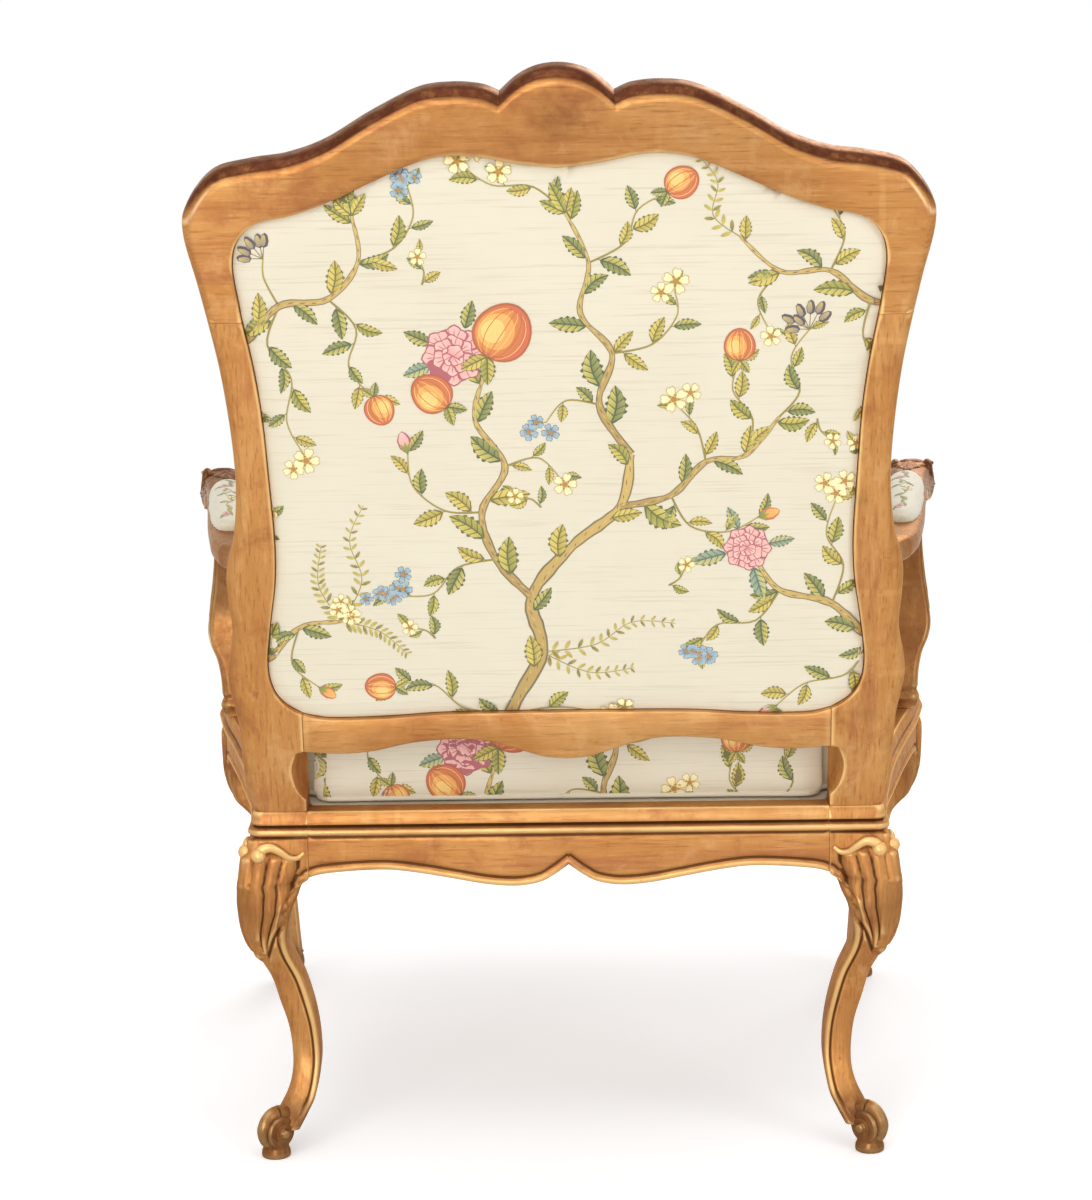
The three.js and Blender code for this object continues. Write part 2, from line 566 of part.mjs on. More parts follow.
function screwShape(grow, tail) {
  const shank = SCREW_LENGTH - SCREW_HEAD;
  const profile = [
    point(0, -grow), point(SCREW_TIP_RADIUS + grow, -grow), point(SCREW_RADIUS + grow, SCREW_TAPER),
    point(SCREW_RADIUS + grow, shank - grow), point(SCREW_HEAD_RADIUS + grow, SCREW_LENGTH - grow),
    point(SCREW_HEAD_RADIUS + grow, SCREW_LENGTH + tail), point(0, SCREW_LENGTH + tail),
  ];
  return new THREE.LatheGeometry(profile, 12).rotateX(Math.PI / 2);
}

// A screw whose point is at a place and whose head looks along a direction in plan or up.
function screwAt(place, direction, grow, tail) {
  const turn = new THREE.Quaternion().setFromUnitVectors(vector(0, 0, 1), direction);
  const geometry = screwShape(grow, tail).applyQuaternion(turn);
  return solid(geometry.translate(place.x, place.y, place.z));
}

const RAIL_BITE = 20;
const END_SCREW_DROP = 17.5;
const SIDE_SCREW_DROP = 38;
const endScrewZ = blockTop - END_SCREW_DROP;
const sideScrewZ = blockTop - SIDE_SCREW_DROP;
const sideAt = (y) => {
  const face = sideFace(RAIL_THICKNESS);
  const next = face.findIndex((p) => p.y <= y);
  const [a, b] = [face[next - 1], face[next]];
  return a.x + ((b.x - a.x) * (a.y - y)) / (a.y - b.y);
};
const frontAt = (x) => {
  const face = frontFace(RAIL_THICKNESS);
  const next = face.findIndex((p) => p.x >= x);
  const [a, b] = [face[next - 1], face[next]];
  return a.y + ((b.y - a.y) * (x - a.x)) / (b.x - a.x);
};
const rearScrewX = REAR_SPAN - REAR_SCREW_IN;
const rearSideScrewY = POST_FRONT - SIDE_SCREW_IN;
const frontScrewX = FRONT_SPAN - FRONT_SCREW_IN;
const frontSideScrewY = FRONT_LEG_REAR + SIDE_SCREW_IN;
const blockScrews = {
  rear_block_screw_back: [
    vector(rearScrewX, SEAT_REAR - RAIL_THICKNESS + RAIL_BITE, endScrewZ), vector(0, -1, 0),
  ],
  rear_block_screw_side: [
    vector(sideAt(rearSideScrewY) + RAIL_BITE, rearSideScrewY, sideScrewZ), vector(-1, 0, 0),
  ],
  front_block_screw_front: [
    vector(frontScrewX, frontAt(frontScrewX) - RAIL_BITE, endScrewZ), vector(0, 1, 0),
  ],
  front_block_screw_side: [
    vector(sideAt(frontSideScrewY) + RAIL_BITE, frontSideScrewY, sideScrewZ), vector(-1, 0, 0),
  ],
};
const mirrorPlace = ([place, direction]) =>
  [place.clone().setX(-place.x), direction.clone().setX(-direction.x)];
const blockScrewHoles = Object.values(blockScrews)
  .flatMap((screw) => [screw, mirrorPlace(screw)])
  .map(([place, direction]) => screwAt(place, direction, FIT, SCREW_POCKET));

// Arms
// Rows from the stile forwards: depth, then the section's centre across, centre up, half width and
// half height. The first section leans with the stile's front face.
const ARM_HEIGHT = 580;
const ARM_HALF_WIDTH = 22;
const ARM_HALF_HEIGHT = 16;
const ARM_INSET = 13;
const ARM_FRONT = -212;
const armOut = FRONT_HALF - ARM_INSET;
const armRun = POST_FRONT - ARM_FRONT;
const armRootX = across(2);
const ARM_ROOT_DROP = 4;
// Shares of the run forwards, of the way out from the root to the front, of the drop at the root,
// of the half width and of the half height.
const ARM_SHARES = [
  [0, 0.22, 1, 0.66, 0.75], [0.1, 0.33, 1.2, 0.82, 0.7], [0.23, 0.42, 1.3, 0.91, 0.68],
  [0.35, 0.5, 1.2, 0.98, 0.68], [0.47, 0.58, 1, 1, 0.68], [0.6, 0.66, 0.7, 1.02, 0.7],
  [0.72, 0.75, 0.3, 1.02, 0.78], [0.85, 0.85, 0, 1.02, 0.92], [0.92, 0.925, 0, 1.05, 0.98],
  [0.97, 0.97, 0.1, 1.07, 0.95], [1, 1, 0.5, 1, 0.86],
];
const ARM_TENON_IN = 4;
const ARM_TENON_HEIGHT = 20;
const armTenonX = centred(armRootX - ARM_TENON_IN, TENON_THICKNESS);
const armRootZ = ARM_HEIGHT - ARM_ROOT_DROP;
const armTenonS = centred((armRootZ - RAIL_TOP) / Math.cos(BACK_LEAN) - FIT, ARM_TENON_HEIGHT);
const armUnderside = ARM_HEIGHT - ARM_HALF_HEIGHT;
const ARM_ROOT_SHARES = { width: 0.6, height: 0.8 };
const KNUCKLE_RADIUS = 21;
const KNUCKLE_LENGTH = 48;
const KNUCKLE_BACK = 7;
const KNUCKLE_DROP = 2;

const ARM_ROUNDNESS = 0.6;
const ARM_RING_STEPS = 16;

const armRing = (y, x, z, wide, tall, lean) => {
  const ring = [];
  for (let i = 0; i < ARM_RING_STEPS; i += 1) {
    const turn = (i / ARM_RING_STEPS) * Math.PI * 2;
    const squared = (v) => Math.sign(v) * Math.abs(v) ** ARM_ROUNDNESS;
    const up = tall * squared(Math.sin(turn));
    ring.push(vector(x + wide * squared(Math.cos(turn)), y + up * lean, z + up));
  }
  return ring;
};

const armAt = ([along, out, drop]) => {
  const x = armRootX + out * (armOut - armRootX);
  return vector(x, POST_FRONT - along * armRun, ARM_HEIGHT - drop * ARM_ROOT_DROP);
};

function armBody() {
  const rings = ARM_SHARES.map((row) => {
    const at = armAt(row);
    return armRing(at.y, at.x, at.z, row[3] * ARM_HALF_WIDTH, row[4] * ARM_HALF_HEIGHT, 0);
  });
  // The root meets the stile's leaning front face.
  const rootY = POST_FRONT + (armRootZ - RAIL_TOP) * Math.tan(BACK_LEAN) - FIT;
  rings.unshift(
    armRing(
      rootY, armRootX, armRootZ, ARM_ROOT_SHARES.width * ARM_HALF_WIDTH,
      ARM_ROOT_SHARES.height * ARM_HALF_HEIGHT, Math.tan(BACK_LEAN),
    ),
  );
  return loft(rings);
}

function arm() {
  const knuckle = new THREE.CylinderGeometry(KNUCKLE_RADIUS, KNUCKLE_RADIUS, KNUCKLE_LENGTH, ROUND_STEPS);
  knuckle.rotateZ(Math.PI / 2).translate(armOut, ARM_FRONT + KNUCKLE_BACK, ARM_HEIGHT - KNUCKLE_DROP);
  const root = backBlock(armTenonX, armTenonS, [FRAME_DEPTH - TENON_LENGTH + FIT, FRAME_DEPTH + OVERRUN]);
  const seatCut = block(
    [0, FAR], [supportTopY[0] - FIT, supportTopY[1] + FIT], [armUnderside - ARM_HALF_HEIGHT, armUnderside],
  );
  return cutFrom(armBody().add(solid(knuckle)).add(root), [seatCut, armPad(FIT), supportTopTenon(FIT)]);
}

// Arm pads, let a little way into the arms
const PAD_HEIGHT = 14;
const PAD_SINK = 4;
// How far along the arm, then the pad's width as a share of the arm's.
const PAD_SHARES = [
  [0.2, 0.25], [0.23, 0.6], [0.3, 0.84], [0.4, 0.94], [0.5, 0.98], [0.6, 0.98], [0.68, 0.9], [0.73, 0.7],
  [0.755, 0.35],
];
// The pad's height where it is narrowest, how much its sides draw in at the top, and how round it is.
const PAD_FORM_SHARES = { low: 0.45, drawn: 0.08, roundness: 0.7 };
const PAD_STEPS = 10;

function armPad(grow) {
  const along = ARM_SHARES.map((row) => row[0]);
  const between = (t, column) => {
    const next = Math.max(along.findIndex((a) => a >= t), 1);
    const part = (t - along[next - 1]) / (along[next] - along[next - 1]);
    return ARM_SHARES[next - 1][column] * (1 - part) + ARM_SHARES[next][column] * part;
  };
  const rings = PAD_SHARES.map(([t, swell]) => {
    const at = armAt([t, between(t, 1), between(t, 2)]);
    const top = at.z + between(t, 4) * ARM_HALF_HEIGHT;
    const wide = swell * between(t, 3) * ARM_HALF_WIDTH + grow;
    const low = PAD_FORM_SHARES.low;
    const tall = PAD_SINK + PAD_HEIGHT * (low + (1 - low) * swell) + grow;
    const floor = top - PAD_SINK - grow;
    const ring = [vector(at.x - wide, at.y, floor), vector(at.x + wide, at.y, floor)];
    for (let i = 1; i < PAD_STEPS; i += 1) {
      const turn = (i / PAD_STEPS) * Math.PI;
      const z = floor + (tall + grow) * Math.sin(turn) ** PAD_FORM_SHARES.roundness;
      const drawn = 1 - PAD_FORM_SHARES.drawn * Math.sin(turn);
      ring.push(vector(at.x + wide * Math.cos(turn) * drawn, at.y, z));
    }
    return ring;
  });
  if (grow > 0) {
    rings[0].forEach((p) => (p.y += grow));
    rings[rings.length - 1].forEach((p) => (p.y -= grow));
  }
  return loft(rings);
}

// Arm supports, standing on the side rails
const SUPPORT_WIDTH = 38;
const SUPPORT_DEPTH = 42;
const SUPPORT_OVERHANG = 5;
const SUPPORT_TOP_OUT = 5;
const SUPPORT_REAR = -165;
const SUPPORT_TENON = 36;
const SUPPORT_TENON_DEPTH = 25;
const SUPPORT_TOP_TENON_DEPTH = 19;
const SUPPORT_SCREW_DROP = 26;
// Height share between rail and arm, then the section's inner and outer sides as shares of the
// width, and its front and rear as shares of the depth. Widths are measured from a line that runs
// up from the foot's outer corner to a little outside the arm's middle.
const SUPPORT_SHARES = [
  [0, 1, 0, 1, 0], [0.1, 0.97, -0.02, 0.97, 0.02], [0.18, 0.93, -0.05, 0.97, 0.08],
  [0.26, 0.84, -0.15, 1.02, 0.2],
  [0.33, 0.7, -0.33, 1.1, 0.33], [0.4, 0.6, -0.4, 1.18, 0.44], [0.5, 0.6, -0.32, 1.2, 0.48],
  [0.6, 0.66, -0.22, 1.14, 0.4], [0.72, 0.68, -0.13, 0.94, 0.2], [0.84, 0.66, -0.08, 0.66, -0.12],
  [0.94, 0.66, -0.1, 0.47, -0.36], [1, 0.66, -0.16, 0.44, -0.45],
];
const supportMiddle = SUPPORT_REAR - SUPPORT_DEPTH / 2;
const supportOuter = sideAt(supportMiddle) + RAIL_THICKNESS + SUPPORT_OVERHANG;
const supportLean = armOut + SUPPORT_TOP_OUT - supportOuter;
const supportFoot = RAIL_TOP + FIT;
const supportTop = armUnderside - FIT;
const supportTopY = SUPPORT_SHARES[SUPPORT_SHARES.length - 1].slice(3)
  .map((share) => SUPPORT_REAR - share * SUPPORT_DEPTH);
const supportTenonX = centred(supportOuter - SUPPORT_WIDTH / 2, TENON_THICKNESS);
const supportTenonY = centred(supportMiddle, SUPPORT_TENON_DEPTH);
const supportTenonZ = [RAIL_TOP - SUPPORT_TENON, RAIL_TOP + OVERRUN];
const supportTenon = (grow) => block(supportTenonX, supportTenonY, supportTenonZ, grow);
const supportTopTenon = (grow) =>
  block(
    centred(armOut, TENON_THICKNESS), centred(SUPPORT_REAR, SUPPORT_TOP_TENON_DEPTH),
    [armUnderside - OVERRUN, armUnderside + ARM_HALF_HEIGHT], grow,
  );

// One screw through the side rail's inner face pins the support's tenon.
const supportScrewZ = RAIL_TOP - SUPPORT_SCREW_DROP;
const supportScrew = [
  vector(sideAt(supportMiddle) + SCREW_LENGTH - SCREW_HEAD, supportMiddle, supportScrewZ),
  vector(-1, 0, 0),
];
const supportScrewHole = screwAt(...supportScrew, FIT, SCREW_POCKET);

function armSupport() {
  const rings = SUPPORT_SHARES.map(([up, inner, outer, front, rear]) => {
    const z = supportFoot + up * (supportTop - supportFoot);
    const edge = supportOuter + up * supportLean;
    const x = [edge - inner * SUPPORT_WIDTH, edge - outer * SUPPORT_WIDTH];
    const y = [SUPPORT_REAR - front * SUPPORT_DEPTH, SUPPORT_REAR - rear * SUPPORT_DEPTH];
    return legRing(z, x[0], x[1], y[0], y[1]);
  });
  const body = loft(rings).add(supportTenon(0)).add(supportTopTenon(0));
  return body.subtract(supportScrewHole);
}

// Seat: webbing and hessian in the rails' well, and the upholstered deck
const STRAP_WIDTH = 54;
const STRAP_THICKNESS = 1.5;
const HESSIAN_THICKNESS = 1;
const WELL_EASE = 0.6;
const LENGTHWISE_STRAP_X_SHARES = [-0.72, -0.24, 0.24, 0.72];
const CROSSWISE_STRAP_Y_SHARES = [0.16, 0.37, 0.58, 0.79];
const wellFloor = RAIL_TOP - WELL_DEPTH + FIT;
const hessianZ = wellFloor + 2 * STRAP_THICKNESS + 2 * FIT;
const deckZ = hessianZ + HESSIAN_THICKNESS + FIT;

// A layer in the well, cut round the posts and legs.
function wellLayer(z, thickness) {
  const sheet = prism(wellOutline(WELL_EASE), thickness, planAt(z));
  const high = [z - OVERRUN, z + thickness + OVERRUN];
  const corners = [
    block([REAR_SPAN - FIT, FAR], [POST_FRONT - FIT, FAR], high),
    block([-FAR, FIT - REAR_SPAN], [POST_FRONT - FIT, FAR], high),
    block([FRONT_SPAN - FIT, FAR], [-FAR, FRONT_LEG_REAR + FIT], high),
    block([-FAR, FIT - FRONT_SPAN], [-FAR, FRONT_LEG_REAR + FIT], high),
  ];
  return cutFrom(sheet, corners);
}

function seatStraps() {
  LENGTHWISE_STRAP_X_SHARES.forEach((share, i) => {
    const strip = block(centred(share * REAR_SPAN, STRAP_WIDTH), [-FAR, FAR], [0, RAIL_TOP]);
    add("seat_strap_lengthwise_" + (i + 1), wellLayer(wellFloor, STRAP_THICKNESS).intersect(strip), jute);
  });
  CROSSWISE_STRAP_Y_SHARES.forEach((share, i) => {
    const middle = SEAT_REAR + share * (SEAT_FRONT - SEAT_REAR);
    const strip = block([-FAR, FAR], centred(middle, STRAP_WIDTH), [0, RAIL_TOP]);
    const layer = wellLayer(wellFloor + STRAP_THICKNESS + FIT, STRAP_THICKNESS);
    add("seat_strap_crosswise_" + (i + 1), layer.intersect(strip), jute);
  });
}

// Back: webbing, hessian, inside padding and the panel that closes the outside
const BACK_STRAP_WIDTH = 50;
const BACK_STRAP_X_SHARES = [-0.32, 0.32];
const BACK_STRAP_S_SHARES = [0.3, 0.48, 0.66];
const PAD_BULGE = 39;
const COVER_THICKNESS = 4;
const COVER_INSET = 2.5;
const COVER_EASE = 0.6;
const BACK_EASE = 0.9;
const backFloor = LOWER_RAIL_DEPTH + FIT;
const backHessianN = backFloor + 2 * STRAP_THICKNESS + 2 * FIT;
const backPadN = backHessianN + HESSIAN_THICKNESS + FIT;
const inRebate = openingOutline(REBATE_WIDTH - BACK_EASE);
const backLayer = (n, thickness) => prism(inRebate, thickness, backAt(n));

function backStraps() {
  const tall = [0, BACK_HEIGHT];
  BACK_STRAP_X_SHARES.forEach((share, i) => {
    const strip = backBlock(centred(share * REAR_SPAN, BACK_STRAP_WIDTH), tall, [0, FRAME_DEPTH]);
    add("back_strap_upright_" + (i + 1), backLayer(backFloor, STRAP_THICKNESS).intersect(strip), jute);
  });
  BACK_STRAP_S_SHARES.forEach((share, i) => {
    const strip = backBlock([-FAR, FAR], centred(share * BACK_HEIGHT, BACK_STRAP_WIDTH), [0, FRAME_DEPTH]);
    const layer = backLayer(backFloor + STRAP_THICKNESS + FIT, STRAP_THICKNESS);
    add("back_strap_level_" + (i + 1), layer.intersect(strip), jute);
  });
}

// The inside back swells forwards in rings, each a share of the one in the rebate.
const BACK_PAD_SHARES = [[1, 0.05], [0.985, 0.26], [0.94, 0.52], [0.85, 0.75], [0.7, 0.9], [0.45, 0.98]];

function insideBackPad() {
  const ring = (n, share) => inRebate.map((p) => {
    const s = OPENING_MIDDLE + (p.y - OPENING_MIDDLE) * share;
    return vector(p.x * share, s, 0).applyMatrix4(backAt(n));
  });
  const rings = BACK_PAD_SHARES.map(([share, rise]) => ring(FRAME_DEPTH + rise * PAD_BULGE, share));
  return loft([ring(backPadN, 1), ...rings]);
}

// Loose seat cushion: boxed, crowned, with drawn-in sides, notched round the rear posts
const CUSHION_BOXING = 80;
const CUSHION_CROWN = 45;
const CUSHION_TONGUE_REAR = 216;
const CUSHION_EASE = 3.5;
const CUSHION_SIDE_EASE = 14;
const CUSHION_FRONT_EASE = 12;
const CUSHION_CORNER = 26;
const CUSHION_TONGUE_CORNER = 13;
const CUSHION_CENTRE_Y = -55;
// Across and depth: the side edge as a share of the side rail's run, then how far it is drawn in.
const CUSHION_SIDE_SHARES = [[0.02, 0], [0.2, 0.56], [0.4, 0.96], [0.6, 1.2], [0.8, 2.56], [0.95, 1.76]];
const CUSHION_REAR_SHARES = [0, 0.3, 0.6, 0.85];
// Each ring of the cushion's skin: how much of the outline is left, how high it lies as a share of the
// boxing and of the crown, and how far it has turned from the boxed outline to an oval.
const CUSHION_SKIN_SHARES = [
  [0.975, 0, 0, 0], [1, 0.1, 0, 0], [0.992, 0.5, 0, 0], [1, 0.9, 0, 0], [0.975, 1, 0, 0],
  [0.88, 1, 0.36, 0.35], [0.72, 1, 0.68, 0.7], [0.5, 1, 0.9, 1], [0.25, 1, 0.99, 1],
];

function cushionOutline() {
  const face = sideFace(CUSHION_SIDE_EASE);
  const sides = CUSHION_SIDE_SHARES.map(([t, drawn]) => {
    const y = POST_FRONT - t * SIDE_RUN;
    const next = Math.max(face.findIndex((p) => p.y <= y), 1);
    return point(face[next].x - drawn * CUSHION_SIDE_EASE, y - CUSHION_EASE);
  });
  const side = smooth(sides, 14);
  const along = FRONT_SHARES.map(([t, back]) =>
    point(t * (FRONT_SPAN - CUSHION_CORNER), SEAT_FRONT + CUSHION_FRONT_EASE + back * FRONT_BOW));
  const front = smooth(along, 8).reverse();
  const corner = new THREE.QuadraticBezierCurve(
    side[side.length - 1], point(side[side.length - 1].x, front[0].y), front[0],
  ).getPoints(5).slice(1, -1);
  const tongueX = REAR_SPAN - CUSHION_EASE;
  const round = new THREE.QuadraticBezierCurve(
    point(tongueX - CUSHION_TONGUE_CORNER, CUSHION_TONGUE_REAR), point(tongueX, CUSHION_TONGUE_REAR),
    point(tongueX, CUSHION_TONGUE_REAR - CUSHION_TONGUE_CORNER),
  ).getPoints(4);
  const notch = [point(tongueX, side[0].y)];
  const rear = CUSHION_REAR_SHARES.map((t) => point(t * tongueX, CUSHION_TONGUE_REAR));
  return bothSides([...rear, ...round, ...notch, ...side, ...corner, ...front]);
}

function seatCushion() {
  const outline = cushionOutline();
  const foot = RAIL_TOP + FIT;
  const wide = Math.max(...outline.map((p) => p.x));
  const deep = CUSHION_TONGUE_REAR - CUSHION_CENTRE_Y;
  const ring = ([share, boxing, crown, oval]) => outline.map((p) => {
    const turn = Math.atan2((p.y - CUSHION_CENTRE_Y) / deep, p.x / wide);
    const x = p.x * (1 - oval) + wide * Math.cos(turn) * oval;
    const y = (p.y - CUSHION_CENTRE_Y) * (1 - oval) + deep * Math.sin(turn) * oval;
    const z = foot + boxing * CUSHION_BOXING + crown * CUSHION_CROWN;
    return vector(x * share, CUSHION_CENTRE_Y + y * share, z);
  });
  return loft(CUSHION_SKIN_SHARES.map(ring));
}

// Frame
add("crest_rail", crestRail(), gilt);
add("lower_back_rail", lowerBackRail(), gilt);
addPair("rear_post", rearPost(), gilt);
add("rear_seat_rail", rearSeatRail(), gilt);
addPair("side_seat_rail", sideSeatRail(), gilt);
add("front_seat_rail", frontSeatRail(), gilt);
addPair("front_leg", frontLeg(), gilt);
addPair("arm", arm(), gilt);
addPair("arm_support", armSupport(), gilt);
addPair("rear_corner_block", cornerBlock(rearBlockOutline()), beech);
addPair("front_corner_block", cornerBlock(frontBlockOutline()), beech);
Object.entries(blockScrews).forEach(([name, screw]) => addPair(name, screwAt(...screw, 0, 0), steel));
addPair("arm_support_screw", screwAt(...supportScrew, 0, 0), steel);

// Upholstery
seatStraps();
add("seat_hessian", wellLayer(hessianZ, HESSIAN_THICKNESS), linen);
add("seat_deck", wellLayer(deckZ, RAIL_TOP - deckZ), silk);
add("seat_cushion", seatCushion(), silk);
backStraps();
add("back_hessian", backLayer(backHessianN, HESSIAN_THICKNESS), linen);
add("inside_back_pad", insideBackPad(), silk);
add("outside_back_panel", prism(openingOutline(-COVER_EASE), COVER_THICKNESS, backAt(COVER_INSET)), silk);
addPair("arm_pad", armPad(0), silk);

// The chair stands on the origin, centred front to back.
const bounds = new THREE.Box3().setFromObject(chair);
chair.position.y = -(bounds.min.y + bounds.max.y) / 2;

export default chair;
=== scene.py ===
# A carved and gilded armchair in the Louis XV manner, dressed over its solid frame: gilding on
# beech, webbing, hessian, and cream silk with flowering branches. Metres, +Z up, it faces -Y.
import math

import bpy
import numpy as np
from mathutils import Matrix, Vector
from mathutils.bvhtree import BVHTree
from mathutils.geometry import delaunay_2d_cdt


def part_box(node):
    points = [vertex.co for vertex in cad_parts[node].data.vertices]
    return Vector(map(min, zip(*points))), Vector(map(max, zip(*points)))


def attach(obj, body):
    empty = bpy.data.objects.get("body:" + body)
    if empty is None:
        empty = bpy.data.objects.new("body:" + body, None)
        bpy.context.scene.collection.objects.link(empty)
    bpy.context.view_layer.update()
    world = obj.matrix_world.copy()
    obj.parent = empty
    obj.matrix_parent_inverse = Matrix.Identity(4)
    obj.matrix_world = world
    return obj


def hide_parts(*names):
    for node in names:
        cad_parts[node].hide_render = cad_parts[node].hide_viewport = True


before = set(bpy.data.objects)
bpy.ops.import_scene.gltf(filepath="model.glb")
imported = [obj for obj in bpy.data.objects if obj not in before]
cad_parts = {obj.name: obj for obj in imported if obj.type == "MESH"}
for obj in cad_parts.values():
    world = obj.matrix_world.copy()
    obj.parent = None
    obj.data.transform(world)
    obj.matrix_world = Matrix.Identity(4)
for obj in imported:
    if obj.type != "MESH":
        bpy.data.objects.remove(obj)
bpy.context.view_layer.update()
bpy.ops.object.select_all(action="DESELECT")

# Camera
# It stands three metres behind the chair, a little above the crest, and looks down on its back.
chair_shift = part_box("rear_seat_rail")[1].y - 0.2415
CAMERA_PLACE = Vector((-0.0266, 3.25 + chair_shift, 1.13))
TURN, TILT, ROLL = (math.radians(angle) for angle in (0.8414, 11.108, 0.8856))
FOCAL_PX = 3294
IMAGE_HEIGHT_PX = 1200
ahead = Vector((math.sin(TURN) * math.cos(TILT), -math.cos(TURN) * math.cos(TILT), -math.sin(TILT)))
level_right = Vector((-math.cos(TURN), -math.sin(TURN), 0))
level_up = level_right.cross(ahead)
camera_right = level_right * math.cos(ROLL) - level_up * math.sin(ROLL)
camera_up = level_right * math.sin(ROLL) + level_up * math.cos(ROLL)
bpy.ops.object.camera_add()
camera = bpy.context.object
camera.name = "camera"
camera_turn = Matrix((camera_right, camera_up, -ahead)).transposed()
camera.matrix_world = Matrix.Translation(CAMERA_PLACE) @ camera_turn.to_4x4()
camera.data.sensor_width = 36
camera.data.lens = 36 * FOCAL_PX / IMAGE_HEIGHT_PX
bpy.context.scene.camera = camera
bpy.context.scene.view_settings.view_transform = "Standard"


# Floor and light
# A pale studio floor that runs out to plain white, under a soft overhead light with one larger
# lamp behind the camera, so that the shadow falls under the seat and away from the camera.
def node(tree, kind, inputs=None, **settings):
    made = tree.nodes.new(kind)
    for name, value in settings.items():
        setattr(made, name, value)
    for name, value in (inputs or {}).items():
        if isinstance(value, bpy.types.NodeSocket):
            tree.links.new(value, made.inputs[name])
        else:
            made.inputs[name].default_value = value
    return made


def combined(tree, operation, a, b):
    return node(tree, "ShaderNodeMath", {0: a, 1: b}, operation=operation).outputs[0]


def ramp(tree, value, low, high, to_low=0.0, to_high=1.0):
    """A value that runs softly from to_low to to_high while the given one runs from low to high."""
    inputs = {"Value": value, "From Min": low, "From Max": high, "To Min": to_low, "To Max": to_high}
    return node(tree, "ShaderNodeMapRange", inputs, interpolation_type="SMOOTHSTEP").outputs["Result"]


def new_material(name):
    """A material, its empty tree, and the places on the piece that wears it."""
    material = bpy.data.materials.new(name)
    material.use_nodes = True
    tree = material.node_tree
    tree.nodes.clear()
    return material, tree, node(tree, "ShaderNodeTexCoord").outputs["Object"]


world = bpy.data.worlds.new("studio")
bpy.context.scene.world = world
world.use_nodes = True
sky = world.node_tree
sky.nodes.clear()
rays = node(sky, "ShaderNodeLightPath")
seen = combined(sky, "MAXIMUM", rays.outputs["Is Camera Ray"], rays.outputs["Is Glossy Ray"])
seen = combined(sky, "MAXIMUM", seen, rays.outputs["Is Transmission Ray"])
sky_strength = ramp(sky, seen, 0, 1, 0.52, 1.0)
sky_light = node(sky, "ShaderNodeBackground", {"Color": (1, 1, 1, 1), "Strength": sky_strength})
node(sky, "ShaderNodeOutputWorld", {"Surface": sky_light.outputs[0]})

bpy.ops.mesh.primitive_plane_add(size=30)
floor = bpy.context.object
floor.name = "floor"
paper, tree, place = new_material("studio_floor")
away = node(tree, "ShaderNodeVectorMath", {0: place}, operation="LENGTH")
far_white = ramp(tree, away.outputs["Value"], 1.0, 2.6)
lift = combined(tree, "MULTIPLY", node(tree, "ShaderNodeLightPath").outputs["Is Camera Ray"], 0.34)
matt = node(tree, "ShaderNodeBsdfPrincipled", {
    "Base Color": (0.90, 0.90, 0.91, 1), "Roughness": 0.9,
    "Emission Color": (1, 1, 1, 1), "Emission Strength": lift,
})
plain = node(tree, "ShaderNodeEmission", {"Color": (1, 1, 1, 1), "Strength": 1.0})
faded = node(tree, "ShaderNodeMixShader", {0: far_white, 1: matt.outputs[0], 2: plain.outputs[0]})
node(tree, "ShaderNodeOutputMaterial", {"Surface": faded.outputs[0]})
floor.data.materials.append(paper)

# Where each lamp stands, its size in metres and its watts.
LAMPS = {
    "overhead": ((0.2, 0.7, 3.4), 2.6, 30),
    "behind_camera": ((1.7, 3.6, 2.6), 1.8, 32),
    "camera_side_fill": ((-2.6, 2.4, 1.7), 1.6, 22),
    "low_fill": ((0.5, 3.3, 0.75), 1.4, 25),
    "front_fill": ((-1.4, -3.2, 2.4), 2.2, 40),
}
for name, (stand, size, watts) in LAMPS.items():
    bpy.ops.object.light_add(type="AREA", location=stand)
    lamp = bpy.context.object
    lamp.name = "lamp_" + name
    lamp.data.size = size
    lamp.data.energy = watts
    lamp.rotation_euler = (Vector((0, 0, 0.5)) - Vector(stand)).to_track_quat("-Z", "Y").to_euler()

# Crest rail
# The shaped top rail of the back, sawn from a beech plank, moulded on its front face and rounded
# over at the top. It is tenoned into both stiles and gilded on all sides.
SEAT_REAR = 0.235 + chair_shift
RAIL_TOP = 0.337
RAIL_HEIGHT = 0.075
BACK_LEAN = math.radians(11)
BACK_HEIGHT = 0.714
REAR_SPAN = 0.247
POST_WIDTH = 0.051
FRAME_DEPTH = 0.042
REBATE_BACK = 0.024
FIT = 0.0003
# The share of the back's height at which the crest meets the stiles.
CREST_JOINT = 0.676
# Across the back a share runs 0 to 1 from the middle to the post's inner face and on to 2 over the
# post's width. Up the back it is a share of the back's height.
CREST_TIP = [(0, 0.992), (0.081, 0.986), (0.146, 0.974), (0.204, 0.956)]
CREST_TOP = [
    (0.204, 0.956), (0.267, 0.965), (0.372, 0.968), (0.494, 0.962), (0.66, 0.934), (0.826, 0.9),
    (0.964, 0.883), (1.49, 0.876), (2.147, 0.863), (2.608, 0.823), (2.686, 0.787), (2.49, 0.723),
    (2.353, 0.676),
]
CREST_FOOT = [
    (0, 0.868), (0.146, 0.874), (0.324, 0.885), (0.474, 0.88), (0.632, 0.858), (0.802, 0.831),
    (0.947, 0.813), (1.373, 0.803), (1.725, 0.781), (1.843, 0.748), (1.765, 0.696), (1.722, 0.676),
]
# Which point of the foot outline lies below each point of the tip and top outlines.
CREST_PAIRS = [0, 0.6, 1.05, 1.4, 1.75, 2.35, 3.1, 4.15, 5.15, 6.05, 7.2, 8.1, 8.75, 9.2, 10.1, 11]


